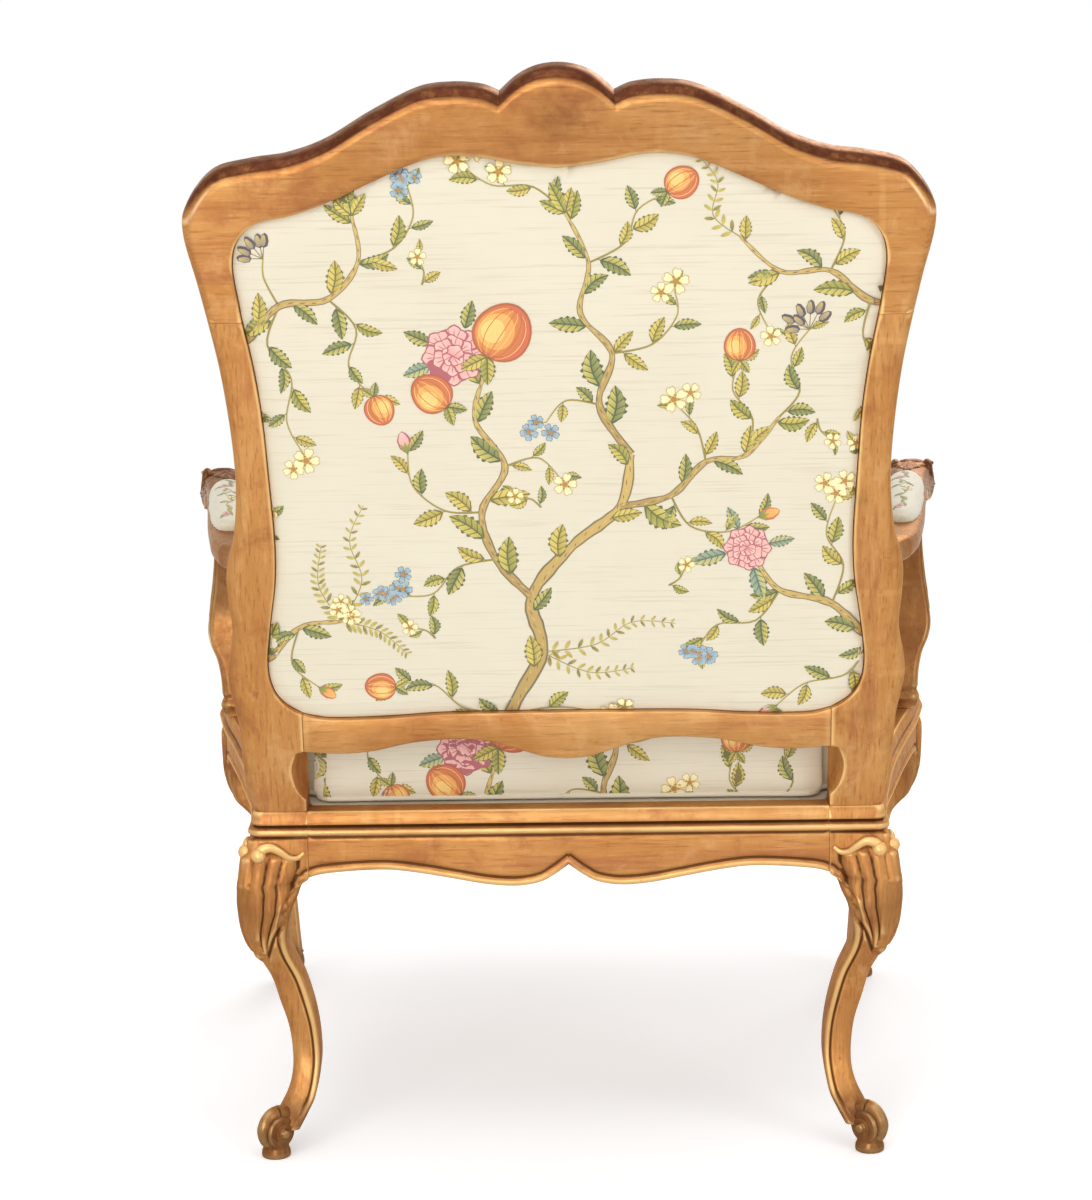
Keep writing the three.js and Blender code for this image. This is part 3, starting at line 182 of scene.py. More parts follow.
def at(points, t):
    """Points of a smooth curve through the given ones, at places counted from the first."""
    p = np.array(points, float)
    t = np.atleast_1d(np.asarray(t, float))
    start = np.clip(t.astype(int), 0, len(p) - 2)
    w = (t - start)[:, None]
    a, b, c, d = (p[np.clip(start + k, 0, len(p) - 1)] for k in (-1, 0, 1, 2))
    near, far = (c - a) / 2, (d - b) / 2
    return (2 * b - 2 * c + near + far) * w**3 + (3 * c - 3 * b - 2 * near - far) * w**2 + near * w + b


def through(points, steps):
    return at(points, np.linspace(0, len(points) - 1, steps + 1))


def eased(value, low, high):
    part = np.clip((np.asarray(value, float) - low) / (high - low), 0, 1)
    return part * part * (3 - 2 * part)


def across(share):
    share = np.asarray(share, float)
    return np.minimum(share, 1) * REAR_SPAN + np.maximum(share - 1, 0) * POST_WIDTH


def in_back(shares):
    """Shares of the back as metres across and up it."""
    shares = np.asarray(shares, float)
    return np.stack([across(shares[..., 0]), shares[..., 1] * BACK_HEIGHT], -1)


def on_back(x, s, n):
    """A place on the leaning back: across, up it, and forwards from its rear face."""
    x, s, n = np.broadcast_arrays(x, s, n)
    y = SEAT_REAR + s * math.sin(BACK_LEAN) - n * math.cos(BACK_LEAN)
    return np.stack([x, y, RAIL_TOP + s * math.cos(BACK_LEAN) + n * math.sin(BACK_LEAN)], -1)


def linked(name, points, faces):
    mesh = bpy.data.meshes.new(name)
    mesh.from_pydata([tuple(p) for p in points], [], [tuple(f) for f in faces])
    made = bpy.data.objects.new(name, mesh)
    bpy.context.scene.collection.objects.link(made)
    bpy.ops.object.select_all(action="DESELECT")
    made.select_set(True)
    bpy.context.view_layer.objects.active = made
    return made


def piece(name, points, faces, smooth_angle=50):
    """A mesh object with doubles merged and faces turned outwards, shaded smooth between sharp edges."""
    made = linked(name, points, faces)
    bpy.ops.object.mode_set(mode="EDIT")
    bpy.ops.mesh.select_all(action="SELECT")
    bpy.ops.mesh.remove_doubles(threshold=0.00001)
    bpy.ops.mesh.normals_make_consistent(inside=False)
    bpy.ops.object.mode_set(mode="OBJECT")
    bpy.ops.object.shade_smooth_by_angle(angle=math.radians(smooth_angle))
    return made


def skin(rings, closed_ends=True):
    """The points and faces of a skin over a stack of rings with the same number of points."""
    rings = np.asarray(rings, float)
    rows, columns = rings.shape[:2]
    index = np.arange(rows * columns).reshape(rows, columns)
    a, b = index[:-1], index[1:]
    turned = np.roll(index, -1, axis=1)
    quads = np.stack([a, turned[:-1], turned[1:], b], -1).reshape(-1, 4).tolist()
    points = rings.reshape(-1, 3).tolist()
    if closed_ends:
        for row, ring in ((0, rings[0]), (rows - 1, rings[-1])):
            middle = len(points)
            points.append(ring.mean(axis=0).tolist())
            quads += [[index[row, i], index[row, (i + 1) % columns], middle] for i in range(columns)]
    return points, quads


def joined(*parts):
    """Several skins as the points and faces of one piece."""
    points, faces = [], []
    for more_points, more_faces in parts:
        faces += [[i + len(points) for i in face] for face in more_faces]
        points += list(more_points)
    return points, faces


def mirrored(part):
    points, faces = part
    return [(-x, y, z) for x, y, z in points], [list(reversed(face)) for face in faces]


def on_both_sides(shape):
    """A shape for the right side of the chair and its mirror image for the left."""
    return ("right", shape), ("left", mirrored(shape))


def points_of(made, what="co"):
    """The places of a mesh's points, or their normals."""
    values = np.zeros(len(made.data.vertices) * 3)
    made.data.vertices.foreach_get(what, values)
    return values.reshape(-1, 3)


def mark(made, name, values):
    """Writes a number at each point of a piece, for its material to read by this name."""
    layer = made.data.attributes.get(name) or made.data.attributes.new(name, "FLOAT", "POINT")
    layer.data.foreach_set("value", np.asarray(values, np.float32))


def mark_hollows(made, reach=0.004, rounds=3):
    """Marks how hollow the surface is at each point, above 0 in a groove and below 0 on an edge."""
    points, normals = points_of(made), points_of(made, "normal")
    count = len(points)
    edges = np.zeros(len(made.data.edges) * 2, int)
    made.data.edges.foreach_get("vertices", edges)
    a, b = edges.reshape(-1, 2).T
    step = points[b] - points[a]
    length = np.maximum(np.linalg.norm(step, axis=1), 0.0003)
    bend = np.einsum("ij,ij->i", normals[a] - normals[b], step) / length**2
    total, weight = np.zeros(count), np.zeros(count)
    for end in (a, b):
        np.add.at(total, end, bend * length)
        np.add.at(weight, end, length)
    hollow = np.clip(total / np.maximum(weight, 1e-9) * reach, -1, 1)
    for _ in range(rounds):
        total, weight = hollow.copy(), np.ones(count)
        for end, other in ((a, b), (b, a)):
            np.add.at(total, end, hollow[other])
            np.add.at(weight, end, 1)
        hollow = total / weight
    mark(made, "hollow", hollow)


def noise(tree, place, scale, detail, roughness=0.5, distortion=0.0):
    inputs = {
        "Vector": place, "Scale": scale, "Detail": detail, "Roughness": roughness,
        "Distortion": distortion,
    }
    return node(tree, "ShaderNodeTexNoise", inputs).outputs["Fac"]


def drawn_out(tree, place, scale, turn=(0, 0, 0)):
    """Places scaled and turned, so that a pattern on them runs long one way."""
    return node(tree, "ShaderNodeMapping", {"Vector": place, "Scale": scale, "Rotation": turn}).outputs[0]


def mixed(tree, share, a, b, blend="MIX"):
    inputs = {0: share, 6: a, 7: b}
    return node(tree, "ShaderNodeMix", inputs, data_type="RGBA", blend_type=blend).outputs[2]


def marked(tree, name):
    """The number that a piece is marked with under this name."""
    return node(tree, "ShaderNodeAttribute", attribute_name=name).outputs["Fac"]


def bumped(tree, height, strength, distance):
    inputs = {"Height": height, "Strength": strength, "Distance": distance}
    return node(tree, "ShaderNodeBump", inputs).outputs[0]


def coated(material, inputs):
    """Gives a material its shader, with these inputs."""
    tree = material.node_tree
    shader = node(tree, "ShaderNodeBsdfPrincipled", inputs)
    node(tree, "ShaderNodeOutputMaterial", {"Surface": shader.outputs[0]})
    return material


def gilding(name, grain, bare_share=0.5, rough=0.40):
    """Water gilding over red bole: leaf laps, grain streaks, wax in hollows, marked wear, and lighter
    edges, partly burnish and partly painted highlight.
    """
    material, tree, place = new_material(name)
    along = drawn_out(tree, place, grain, (0.5, 0.6, 0.7))
    streaks = noise(tree, along, 9.0, 6.0, 0.62)
    hairs = noise(tree, along, 46.0, 3.0, 0.6)
    blotches = noise(tree, along, 3.4, 7.0, 0.68)
    clouds = noise(tree, place, 7.0, 4.0, 0.6)
    mottle = noise(tree, place, 19.0, 7.0, 0.66, 0.4)
    specks = noise(tree, place, 95.0, 5.0, 0.7)
    gold = mixed(tree, ramp(tree, clouds, 0.36, 0.66), (0.510, 0.226, 0.068, 1), (0.600, 0.300, 0.100, 1))
    gold = mixed(tree, ramp(tree, streaks, 0.34, 0.68, 0, 0.75), gold, (0.470, 0.205, 0.057, 1))
    # The squares of leaf are laid in rows that waver a little, and lap a few millimetres.
    shake = node(
        tree, "ShaderNodeTexNoise", {"Vector": place, "Scale": 22.0, "Detail": 3.0},
    ).outputs["Color"]
    shake = node(tree, "ShaderNodeVectorMath", {0: shake, 1: (0.008, 0.008, 0.008)}, operation="MULTIPLY")
    shaken = node(
        tree, "ShaderNodeVectorMath", {0: place, 1: shake.outputs[0]}, operation="ADD",
    ).outputs[0]
    leaves = node(tree, "ShaderNodeTexBrick", {
        "Vector": drawn_out(tree, shaken, (1, 1, 1), (math.pi / 2, 0, 0)), "Scale": 1.0,
        "Mortar Size": 0.004, "Mortar Smooth": 0.6, "Bias": 0.0, "Brick Width": 0.083, "Row Height": 0.079,
        "Color1": (0, 0, 0, 1), "Color2": (1, 1, 1, 1),
    }, offset=0.37).outputs
    lap = ramp(tree, noise(tree, place, 5.5, 1.0), 0.50, 0.62, 0, 0.20)
    gold = mixed(tree, combined(tree, "MULTIPLY", leaves["Fac"], lap), gold, (0.78, 0.46, 0.17, 1))
    # Each row has a pattern, where it begins and ends to show, how much it shows, and its colour.
    for pattern, low, high, share, colour in (
        (leaves["Color"], 0.2, 1.0, 0.07, (0.47, 0.23, 0.08, 1)),
        (hairs, 0.54, 0.74, 0.22, (0.78, 0.50, 0.22, 1)),
        (hairs, 0.46, 0.32, 0.50, (0.27, 0.105, 0.036, 1)),
        (blotches, 0.52, 0.70, 0.74, (0.36, 0.120, 0.050, 1)),
        (blotches, 0.45, 0.30, 0.35, (0.70, 0.42, 0.17, 1)),
        (mottle, 0.50, 0.72, 0.72, (0.340, 0.118, 0.044, 1)),
        (mottle, 0.46, 0.32, 0.35, (0.71, 0.43, 0.19, 1)),
    ):
        gold = mixed(tree, ramp(tree, pattern, low, high, 0, share), gold, colour)
    hollow, rubbed_and_painted_light = marked(tree, "hollow"), marked(tree, "rubbed_and_painted_light")
    # Convex edges are lighter gold, partly burnished and partly a painted highlight.
    worn_and_painted_light = combined(tree, "MULTIPLY", ramp(tree, hollow, -0.12, -0.5), clouds)
    gold = mixed(tree, ramp(tree, worn_and_painted_light, 0.1, 0.5, 0, 0.75), gold, (0.90, 0.60, 0.25, 1))
    # Marks below zero lighten the gold as a painted highlight, such as the line along the crest's top edge.
    gold = mixed(tree, ramp(tree, rubbed_and_painted_light, -0.1, -1, 0, 0.6), gold, (0.96, 0.66, 0.38, 1))
    rubbed_and_painted_light = combined(tree, "MULTIPLY", rubbed_and_painted_light, ramp(tree, specks, 0.25, 0.6, 0.75, 1.0))
    patches = ramp(tree, clouds, 0.62, 0.80, 0, bare_share)
    bare = combined(tree, "MAXIMUM", patches, ramp(tree, specks, 0.60, 0.74, 0, bare_share * 0.6))
    # Marks above zero bring up the dark red bole: wear, and on the crest's top partly a painted dark
    # reflection.
    gold = mixed(tree, combined(tree, "MAXIMUM", bare, rubbed_and_painted_light), gold, (0.085, 0.022, 0.010, 1))
    waxed = ramp(tree, hollow, 0.05, 0.34, 0, 0.90)
    roughness = ramp(tree, specks, 0.3, 0.7, rough - 0.05, rough + 0.12)
    roughness = combined(tree, "SUBTRACT", roughness, ramp(tree, rubbed_and_painted_light, 0.2, 0.8, 0, 0.14))
    return coated(material, {
        "Base Color": mixed(tree, waxed, gold, (0.078, 0.029, 0.010, 1)), "Roughness": roughness,
        "Metallic": ramp(tree, waxed, 0, 1, 0.62, 0.30), "Specular IOR Level": 0.24,
        "Specular Tint": (0.80, 0.50, 0.26, 1),
        "Normal": bumped(tree, combined(tree, "ADD", specks, streaks), 0.16, 0.0006),
    })


gilding_level = gilding("gilding_level_grain", (0.6, 6.0, 9.0))
gilding_upright = gilding("gilding_upright_grain", (9.0, 6.0, 0.6))
gilding_carved = gilding("gilding_carved", (4.0, 4.0, 2.0), bare_share=0.6, rough=0.34)

# The frame's section: how far from the outer or inner edge, then how far forwards of the rear face.
# The rear face is flat with a rounded top, and the front has a fillet, a hollow and a bead.
FULL_WIDTH = 0.050
FRAME_SECTION = [
    ("in", 0, 1.2), ("in", 0.4, 0.35), ("in", 1.3, 0), ("in", 6, 0), ("mid", 0.5, 0), ("out", 14.5, 0),
    ("out", 12, 0.1), ("out", 9, 0.9), ("out", 6.4, 2.4), ("out", 4.2, 4.5), ("out", 2.4, 7.0),
    ("out", 1.0, 10), ("out", 0.2, 13.5), ("out", 0, 17), ("out", 0, 30), ("out", 0.7, 34),
    ("out", 2.3, 37.6), ("out", 4.6, 40.2), ("out", 7.6, 41.8), ("out", 10.5, 42), ("out", 12.6, 41.6),
    ("out", 13.8, 40.4), ("out", 14.2, 38.8), ("out", 14.8, 37.8), ("out", 16.2, 37.2),
    ("mid", 0.5, 34.6), ("in", 22, 35.4), ("in", 19.6, 37), ("in", 18.8, 37.8), ("in", 18.3, 39),
    ("in", 17.2, 40.3), ("in", 15.6, 41.2), ("in", 13.8, 41.3), ("in", 12.2, 40.6), ("in", 11, 39.2),
    ("in", 10.2, 37), ("in", 10, 34), ("in", 10, 24.3), ("in", 0, 24.3),
]


def frame_rings(outer, inner, rebate):
    """Rings of the moulded back frame between its outer and its inner outline."""
    span = inner - outer
    width = np.linalg.norm(span, axis=1, keepdims=True)
    way = span / width
    scale = np.minimum(width / FULL_WIDTH, 1) * 0.001
    ring = []
    for side, distance, n in FRAME_SECTION:
        if side == "out":
            spot = outer + way * distance * scale
        elif side == "in":
            narrowed = distance if distance != 10 or n > 34.5 else distance * rebate[:, None]
            spot = inner - way * narrowed * scale
        else:
            spot = (outer + way * 15.5 * scale + inner - way * 22 * scale) / 2
        ring.append(on_back(spot[:, 0], spot[:, 1], n * 0.001))
    return np.stack(ring, 1)


def dress(made, finish, slot, *nodes, body="frame"):
    made.data.materials.clear()
    made.data.materials.append(finish)
    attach(made, body)
    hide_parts(*nodes)


stations = np.linspace(0, 15, 226)
tip = stations <= 3
crest_outer = np.where(
    tip[:, None], at(in_back(CREST_TIP), stations), at(in_back(CREST_TOP), stations - 3),
)
crest_inner = at(in_back(CREST_FOOT), np.interp(stations, range(16), CREST_PAIRS))
crest_outer[-1, 1] = crest_inner[-1, 1] = CREST_JOINT * BACK_HEIGHT + FIT
# The middle of the top is rounded, where the two halves of the line meet.
near = crest_outer[:, 0] < 0.015
before, edge = crest_outer[near][-1], crest_outer[~near][0]
slope = (edge[1] - before[1]) / (edge[0] - before[0])
crest_outer[near, 1] = edge[1] + slope * (crest_outer[near, 0] ** 2 - edge[0] ** 2) / (2 * edge[0])
half = frame_rings(crest_outer, crest_inner, np.ones(len(stations)))
other_half = half[:0:-1].copy()
other_half[..., 0] *= -1
crest_rail = piece("crest_rail_carved", *skin(np.concatenate([other_half, half])))
mark_hollows(crest_rail)
# Hands have taken the gold off the top and darkened the middle; the top is darkened further as painted dark
# reflection, and its rear edge carries a painted highlight.
points = points_of(crest_rail)
up_the_back = (points[:, 2] - RAIL_TOP) / math.cos(BACK_LEAN)
facing_up = points_of(crest_rail, "normal")[:, 2]
from_middle_line = np.abs(points[:, 0])
near_top = np.clip((up_the_back - 0.50) / 0.06, 0, 1)
# Upward-facing surfaces near the top are darkened, partly as wear and partly as painted dark reflection.
top_wear_and_painted_reflection = np.clip((facing_up - 0.16) / 0.22, 0, 1) * near_top
# A painted highlight along the edge where the rear face turns into the rounded top.
painted_arris_highlight = np.exp(-(((facing_up - 0.05) / 0.08) ** 2)) * near_top
tip_wear = 0.55 * np.exp(-((from_middle_line / 0.035) ** 2) - (((up_the_back - 0.665) / 0.016) ** 2))
handled = 0.28 * (1 - eased(from_middle_line, 0.16, 0.30)) * near_top * (painted_arris_highlight < 0.3)
worn_and_painted_light = np.clip(np.maximum.reduce([top_wear_and_painted_reflection, tip_wear, handled]), 0, 1)
# Above zero: wear, with painted dark reflection on the top; below zero: the painted highlight along its
# rear edge.
mark(crest_rail, "rubbed_and_painted_light", worn_and_painted_light - painted_arris_highlight * (1 - np.clip(top_wear_and_painted_reflection * 2, 0, 1)))
dress(crest_rail, gilding_level, "gilding", "crest_rail")

# Rear posts
# Leg and stile are one piece of beech on each side. The stile carries the same moulding as the
# crest, and the leg is a cabriole with a carved leaf on its knee and a scroll foot on a pad.
STILE_OUTER = [
    (2.353, 0.676), (2.176, 0.606), (2.049, 0.522), (2.014, 0.452), (2.098, 0.387), (2.265, 0.338),
    (2.265, 0.296), (2.225, 0.249), (2.353, 0.188), (2.206, 0.122), (2.167, 0.067), (2.118, 0.021),
    (2.02, 0),
]
OPENING_SIDE = [
    (1.722, 0.676), (1.575, 0.616), (1.461, 0.546), (1.402, 0.466), (1.353, 0.385), (1.382, 0.326),
    (1.49, 0.273), (1.588, 0.214), (1.533, 0.179), (1.333, 0.155), (1, 0.139),
]
SCOOP = [(1, 0.085), (1.127, 0.084), (1.235, 0.064), (1.225, 0.046), (1.137, 0.028), (1, 0.016)]
SCOOP_DEPTH = 0.032
LEG_HEIGHT = 0.262
# Down the leg: height share, then the inner, outer, near and far sides from the joint corner.
REAR_LEG = [
    [0.968, 0.22, 1.29, 0.04, 1.22], [0.916, 0.34, 1.28, 0.08, 1.22], [0.821, 0.44, 1.21, 0.12, 1.14],
    [0.744, 0.38, 1.04, 0.08, 0.98], [0.649, 0.19, 0.79, -0.05, 0.79], [0.553, 0.05, 0.65, -0.12, 0.7],
    [0.45, -0.05, 0.5, -0.14, 0.63], [0.344, -0.09, 0.44, -0.1, 0.64], [0.267, -0.06, 0.46, 0.03, 0.77],
    [0.198, 0.01, 0.57, 0.25, 1], [0.153, 0.13, 0.7, 0.49, 1.23], [0.099, 0.29, 0.86, 0.74, 1.42],
]
REAR_KNEE = [[0.35, 0, 1.1, 1.04], [0.62, 0, 1.2, 1.12], [0.868, 0, 1.25, 1.18], [0.95, 0.13, 1.27, 1.2]]
POST_DEPTH = FRAME_DEPTH / math.cos(BACK_LEAN)
# The moulding along the top of rails and legs: the drop from the rail's top and the way outwards.
RAIL_MOULDING = [
    (0, -1), (0.5, -0.4), (1.5, 0.3), (3, 1.1), (5, 1.8), (7, 2.3), (9, 2.6), (11, 2.8), (12.5, 2.8),
    (13.4, 1), (14.6, 0.6), (15.4, 2.5), (16.6, 5), (17.6, 6.1), (19, 6.5), (20.4, 6.5), (21.5, 6.2),
    (23.2, 4.4), (24, 2), (24.6, -0.8), (26, -0.8), (27.5, 0),
]
# The bead and groove along the lower edge of rails and legs: the way in from the edge, and outwards.
EDGE_BEAD = [
    (0, -1.6), (0.8, -0.7), (1.8, -0.1), (3.5, 0.1), (5.4, -0.3), (6.6, -1.3), (7.6, -2.3), (8.4, -2.4),
    (9.2, -1.6), (10.4, -0.3), (12, 0),
]
# Where the rails' lower edges meet the legs.
APRON_END = RAIL_TOP - 0.95 * RAIL_HEIGHT
REAR_APRON_END = RAIL_TOP - 0.868 * RAIL_HEIGHT
FAR_COLUMNS = 44
NEAR_COLUMNS = 10
CORNER_COLUMNS = 8


def moulding(drop):
    drops, outs = zip(*RAIL_MOULDING)
    return np.interp(np.asarray(drop) * 1000, drops, outs, right=0) * 0.001


def edge_bead(distance):
    ways, outs = zip(*EDGE_BEAD)
    return np.interp(np.asarray(distance) * 1000, ways, outs, right=0) * 0.001


def leg_rows(width, depth, knee, legs, inner_end, step=0.0013):
    """Evenly spaced rows down a leg: height and the four sides, with the mouldings left off."""
    rows = [[RAIL_TOP, 0, width, 0, depth], [RAIL_TOP - 0.0245, 0, width, 0, depth]]
    rows += [
        [RAIL_TOP - drop * RAIL_HEIGHT, i * width, out * width, 0, far * depth]
        for drop, i, out, far in knee
    ]
    rows += [[up * LEG_HEIGHT, i * width, o * width, n * depth, f * depth] for up, i, o, n, f in legs]
    fine = through(rows, 900)
    fine = fine[np.argsort(-fine[:, 0])]
    moulded = RAIL_TOP - np.array([drop for drop, _ in RAIL_MOULDING]) * 0.001
    heights = np.concatenate([moulded, np.arange(RAIL_TOP - 0.0285, rows[-1][0], -step)])
    rows = np.stack([heights] + [np.interp(-heights, -fine[:, 0], fine[:, k]) for k in range(1, 5)], 1)
    rows[heights > inner_end, 1] = 0
    rows[heights > APRON_END, 3] = 0
    return rows


def leg_ring(inner, outer, near, far, jointed=0.0):
    """One rounded section of a leg. Where it is jointed, the corners beside the rails stay sharp."""
    size = min(outer - inner, far - near)
    soft = 1 - 0.97 * jointed
    corners = [
        ((inner, near), (-1, -1), 0.06 * soft, 180), ((outer, near), (1, -1), 0.2 * soft, 270),
        ((outer, far), (1, 1), 0.34 - 0.16 * jointed, 0), ((inner, far), (-1, 1), 0.2 * soft, 90),
    ]
    ring, marks = [], []
    for k, ((x, y), (sx, sy), share, start) in enumerate(corners):
        radius = share * size
        centre = np.array([x - sx * radius, y - sy * radius])
        turns = np.radians(start + np.linspace(0, 90, CORNER_COLUMNS))
        arc = centre + radius * np.stack([np.cos(turns), np.sin(turns)], 1)
        if ring:
            count = (NEAR_COLUMNS, FAR_COLUMNS, FAR_COLUMNS)[k - 1]
            for part in np.linspace(0, 1, count + 2)[1:-1]:
                ring.append(ring_end * (1 - part) + arc[0] * part)
        ring_end = arc[-1]
        marks.append(len(ring) + CORNER_COLUMNS // 2)
        ring += list(arc)
    for part in np.linspace(0, 1, NEAR_COLUMNS + 2)[1:-1]:
        ring.append(ring_end * (1 - part) + ring[0] * part)
    return np.array(ring), marks


def unit(ways):
    """Ways with their length made one."""
    ways = np.asarray(ways, float)
    return ways / np.maximum(np.linalg.norm(ways, axis=-1, keepdims=True), 1e-9)


def right_of(ways):
    """The way to the right of each way across a plan."""
    return unit(np.stack([ways[:, 1], -ways[:, 0]], 1))


def way_round(ring):
    """How far round a closed ring each point lies, and the way outwards there."""
    step = np.linalg.norm(np.roll(ring, -1, axis=0) - ring, axis=1)
    outwards = right_of(np.roll(ring, -1, axis=0) - np.roll(ring, 1, axis=0))
    return np.concatenate([[0], np.cumsum(step)[:-1]]), outwards


def knee_leaf(p, z):
    """How far the carved knee leaf stands out at a way round from the leg's corner, and a height."""
    heights = [186, 195, 203, 211, 222, 232, 239, 246, 252, 260, 267, 282, 290, 297]
    halves = [0.5, 8, 14, 20, 28, 38, 35, 42, 40, 47, 44, 49, 48, 34]
    flutes = np.interp(z * 1000, [186, 200, 215, 240, 297], [2, 15, 25, 39, 49])
    up = z * 1000
    half = np.interp(up, heights, halves)
    share = np.clip(np.abs(p) / half, 0, 1)
    inside = (up > 186) & (up < 297) & (share < 1)
    rib = np.abs(np.cos(np.pi * 3.5 * np.clip(np.abs(p) / flutes, 0, 1)))
    body = (1.6 + 2.8 * rib**0.6) * (1 - 0.25 * share**2)
    rim = np.sqrt(np.clip((half - np.abs(p)) / 3.0, 0, 1))
    fade = np.clip((299 - up) / 7, 0, 1) * np.clip((up - 185) / 6, 0, 1)
    cut = -1.7 * np.exp(-(((np.abs(p) - half - 1.2) / 1.4) ** 2)) * ((up > 188) & (up < 294))
    return (np.where(inside, body * rim * fade, 0) + cut) * 0.001


def line_distance(a, z, line):
    """How far places in a face lie from the line of its edge."""
    return np.sqrt((a[:, None] - line[None, :, 0]) ** 2 + (z - line[None, :, 1]) ** 2).min(axis=1)


def leg_skin(width, depth, knee, legs, far_sign, corner_x, corner_y, inner_end):
    """The carved skin of one leg, from its top down into its foot."""
    rows = leg_rows(width, depth, knee, legs, inner_end)
    # The rails' lower edges run on into the inner and near edges of the leg, and the bead with them.
    rail_side = np.array([(-0.019, 0.0064), (-0.012, 0.0038), (-0.006, 0.0018), (0, 0)])
    lines = []
    for end, column in ((inner_end, 1), (APRON_END, 3)):
        below = rows[rows[:, 0] < end]
        lines.append(np.concatenate([rail_side + [0, end], np.stack([below[:, column], below[:, 0]], 1)]))
    inner_line, near_line = lines
    rings = []
    for z, inner, outer, near, far in rows:
        jointed = float(eased(z, APRON_END - 0.010, APRON_END + 0.002))
        ring, marks = leg_ring(inner, outer, near, far, jointed)
        along, outwards = way_round(ring)
        # The faces start flush with the rails at the joints and swell towards the outer corner.
        x_share, y_share = (ring[:, 0] - inner) / (outer - inner), (ring[:, 1] - near) / (far - near)
        held = 1 - eased(APRON_END + 0.004 - z, 0, 0.03)
        swell_y = (eased(x_share, 0, 0.6) - 1) * held * (far - depth) * eased(y_share, 0.4, 0.9)
        swell_x = (eased(y_share, 0, 0.6) - 1) * held * (outer - width) * eased(x_share, 0.4, 0.9)
        ring = ring + np.stack([swell_x, swell_y], 1)
        show_y, show_x = np.clip(outwards[:, 1], 0, 1), np.clip(outwards[:, 0], 0, 1)
        lift = moulding(RAIL_TOP - z) * np.maximum(show_x, show_y) ** 0.3
        narrow = np.clip((outer - inner) / 0.034, 0.55, 1)
        fade = float(eased(z, 0.030, 0.050) * eased(-z, -0.284, -0.276)) * narrow
        lift = lift + edge_bead(line_distance(ring[:, 0], z, inner_line) / narrow) * fade * (show_y > 0.5)
        lift = lift + edge_bead(line_distance(ring[:, 1], z, near_line) / narrow) * fade * (show_x > 0.5)
        lift = lift + knee_leaf((along - along[marks[2]]) * 1000, z)
        ring = ring + outwards * lift[:, None]
        rings.append(
            np.stack([corner_x + ring[:, 0], corner_y + far_sign * ring[:, 1], np.full(len(ring), z)], 1)
        )
    return skin(rings)


def turned(centre, axis, profile, sides=40):
    """A turned shape: pairs of way along the axis and radius, both in mm."""
    axis = unit(axis)
    side = unit(np.cross(axis, (0, 0, 1) if abs(axis[2]) < 0.9 else (1, 0, 0)))
    up = np.cross(axis, side)
    turns = np.linspace(0, 2 * np.pi, sides, endpoint=False)
    around = np.cos(turns)[:, None] * side + np.sin(turns)[:, None] * up
    rings = [
        np.array(centre) + axis * way * 0.001 + around * max(radius, 0.02) * 0.001
        for way, radius in profile
    ]
    return skin(rings)


def swept(path, radii, sides=10, flat=1.0, facing=None):
    """A rod along a path, with a radius at each point; flat squeezes it along the facing way."""
    path = np.array(path, float)
    radii = np.broadcast_to(np.asarray(radii, float), (len(path),))
    tangent = unit(np.gradient(path, axis=0))
    guide = np.array(facing if facing is not None else (0.123, 0.456, 0.88), float)
    rings = []
    for point, way, radius in zip(path, tangent, radii):
        side = unit(np.cross(way, guide))
        front = np.cross(side, way)
        turns = np.linspace(0, 2 * np.pi, sides, endpoint=False)
        rings.append(
            point + radius * (np.cos(turns)[:, None] * side + flat * np.sin(turns)[:, None] * front)
        )
    return skin(rings)


def scroll_foot(x, y, away):
    """The rolled foot: a fat scroll across the leg's corner, a smaller one beside it, and the pad."""
    axis = np.array([0.7071, -0.7071 * away, 0])
    roll = [
        (-17.5, 0.5), (-17.3, 2.6), (-16.2, 4.4), (-14.4, 5.0), (-13.6, 6.2), (-13.8, 8.2), (-13, 9.8),
        (-11.4, 9.6), (-10.6, 10.8), (-11, 13.4), (-9.8, 15.1), (-7.4, 15.6), (-5.2, 14.9), (-3, 13.9),
        (0, 13.5),
    ]
    roll += [(-way, radius) for way, radius in roll[-2::-1]]
    pad = [(0, 12.6), (0.8, 13.7), (3, 14), (6.5, 13.6), (9, 12.4), (11, 12.2), (14, 13.2), (20, 13)]
    toe = np.array([x, y, 0.025])
    outward = np.array([0.7071, 0.7071 * away, 0])
    turns, radii = np.linspace(-1.0, 2.6, 30)[:, None], np.linspace(0.0150, 0.0120, 30)[:, None]
    curl = toe + outward * radii * np.sin(turns) + radii * np.cos(turns) * (0, 0, 1)
    return joined(
        turned(toe, axis, roll),
        turned((x, y, 0), (0, 0, 1), pad),
        swept(curl, np.linspace(0.0085, 0.0052, 30), sides=18, flat=1.35, facing=outward),
    )


def knee_scroll(points, outwards, thickness):
    """A small carved scroll: a ball at one end and a ribbon that thins out to the other."""
    points = through(points, 40)
    ball = turned(points[0] + np.array(outwards) * 0.001, outwards, [
        (way, math.sqrt(max(52 - (way - 0.2) ** 2, 0.01))) for way in np.linspace(-5, 7.4, 14)
    ], sides=24)
    return joined(
        ball,
        swept(points, np.linspace(thickness, thickness * 0.35, 41), sides=10, flat=0.8, facing=outwards),
    )


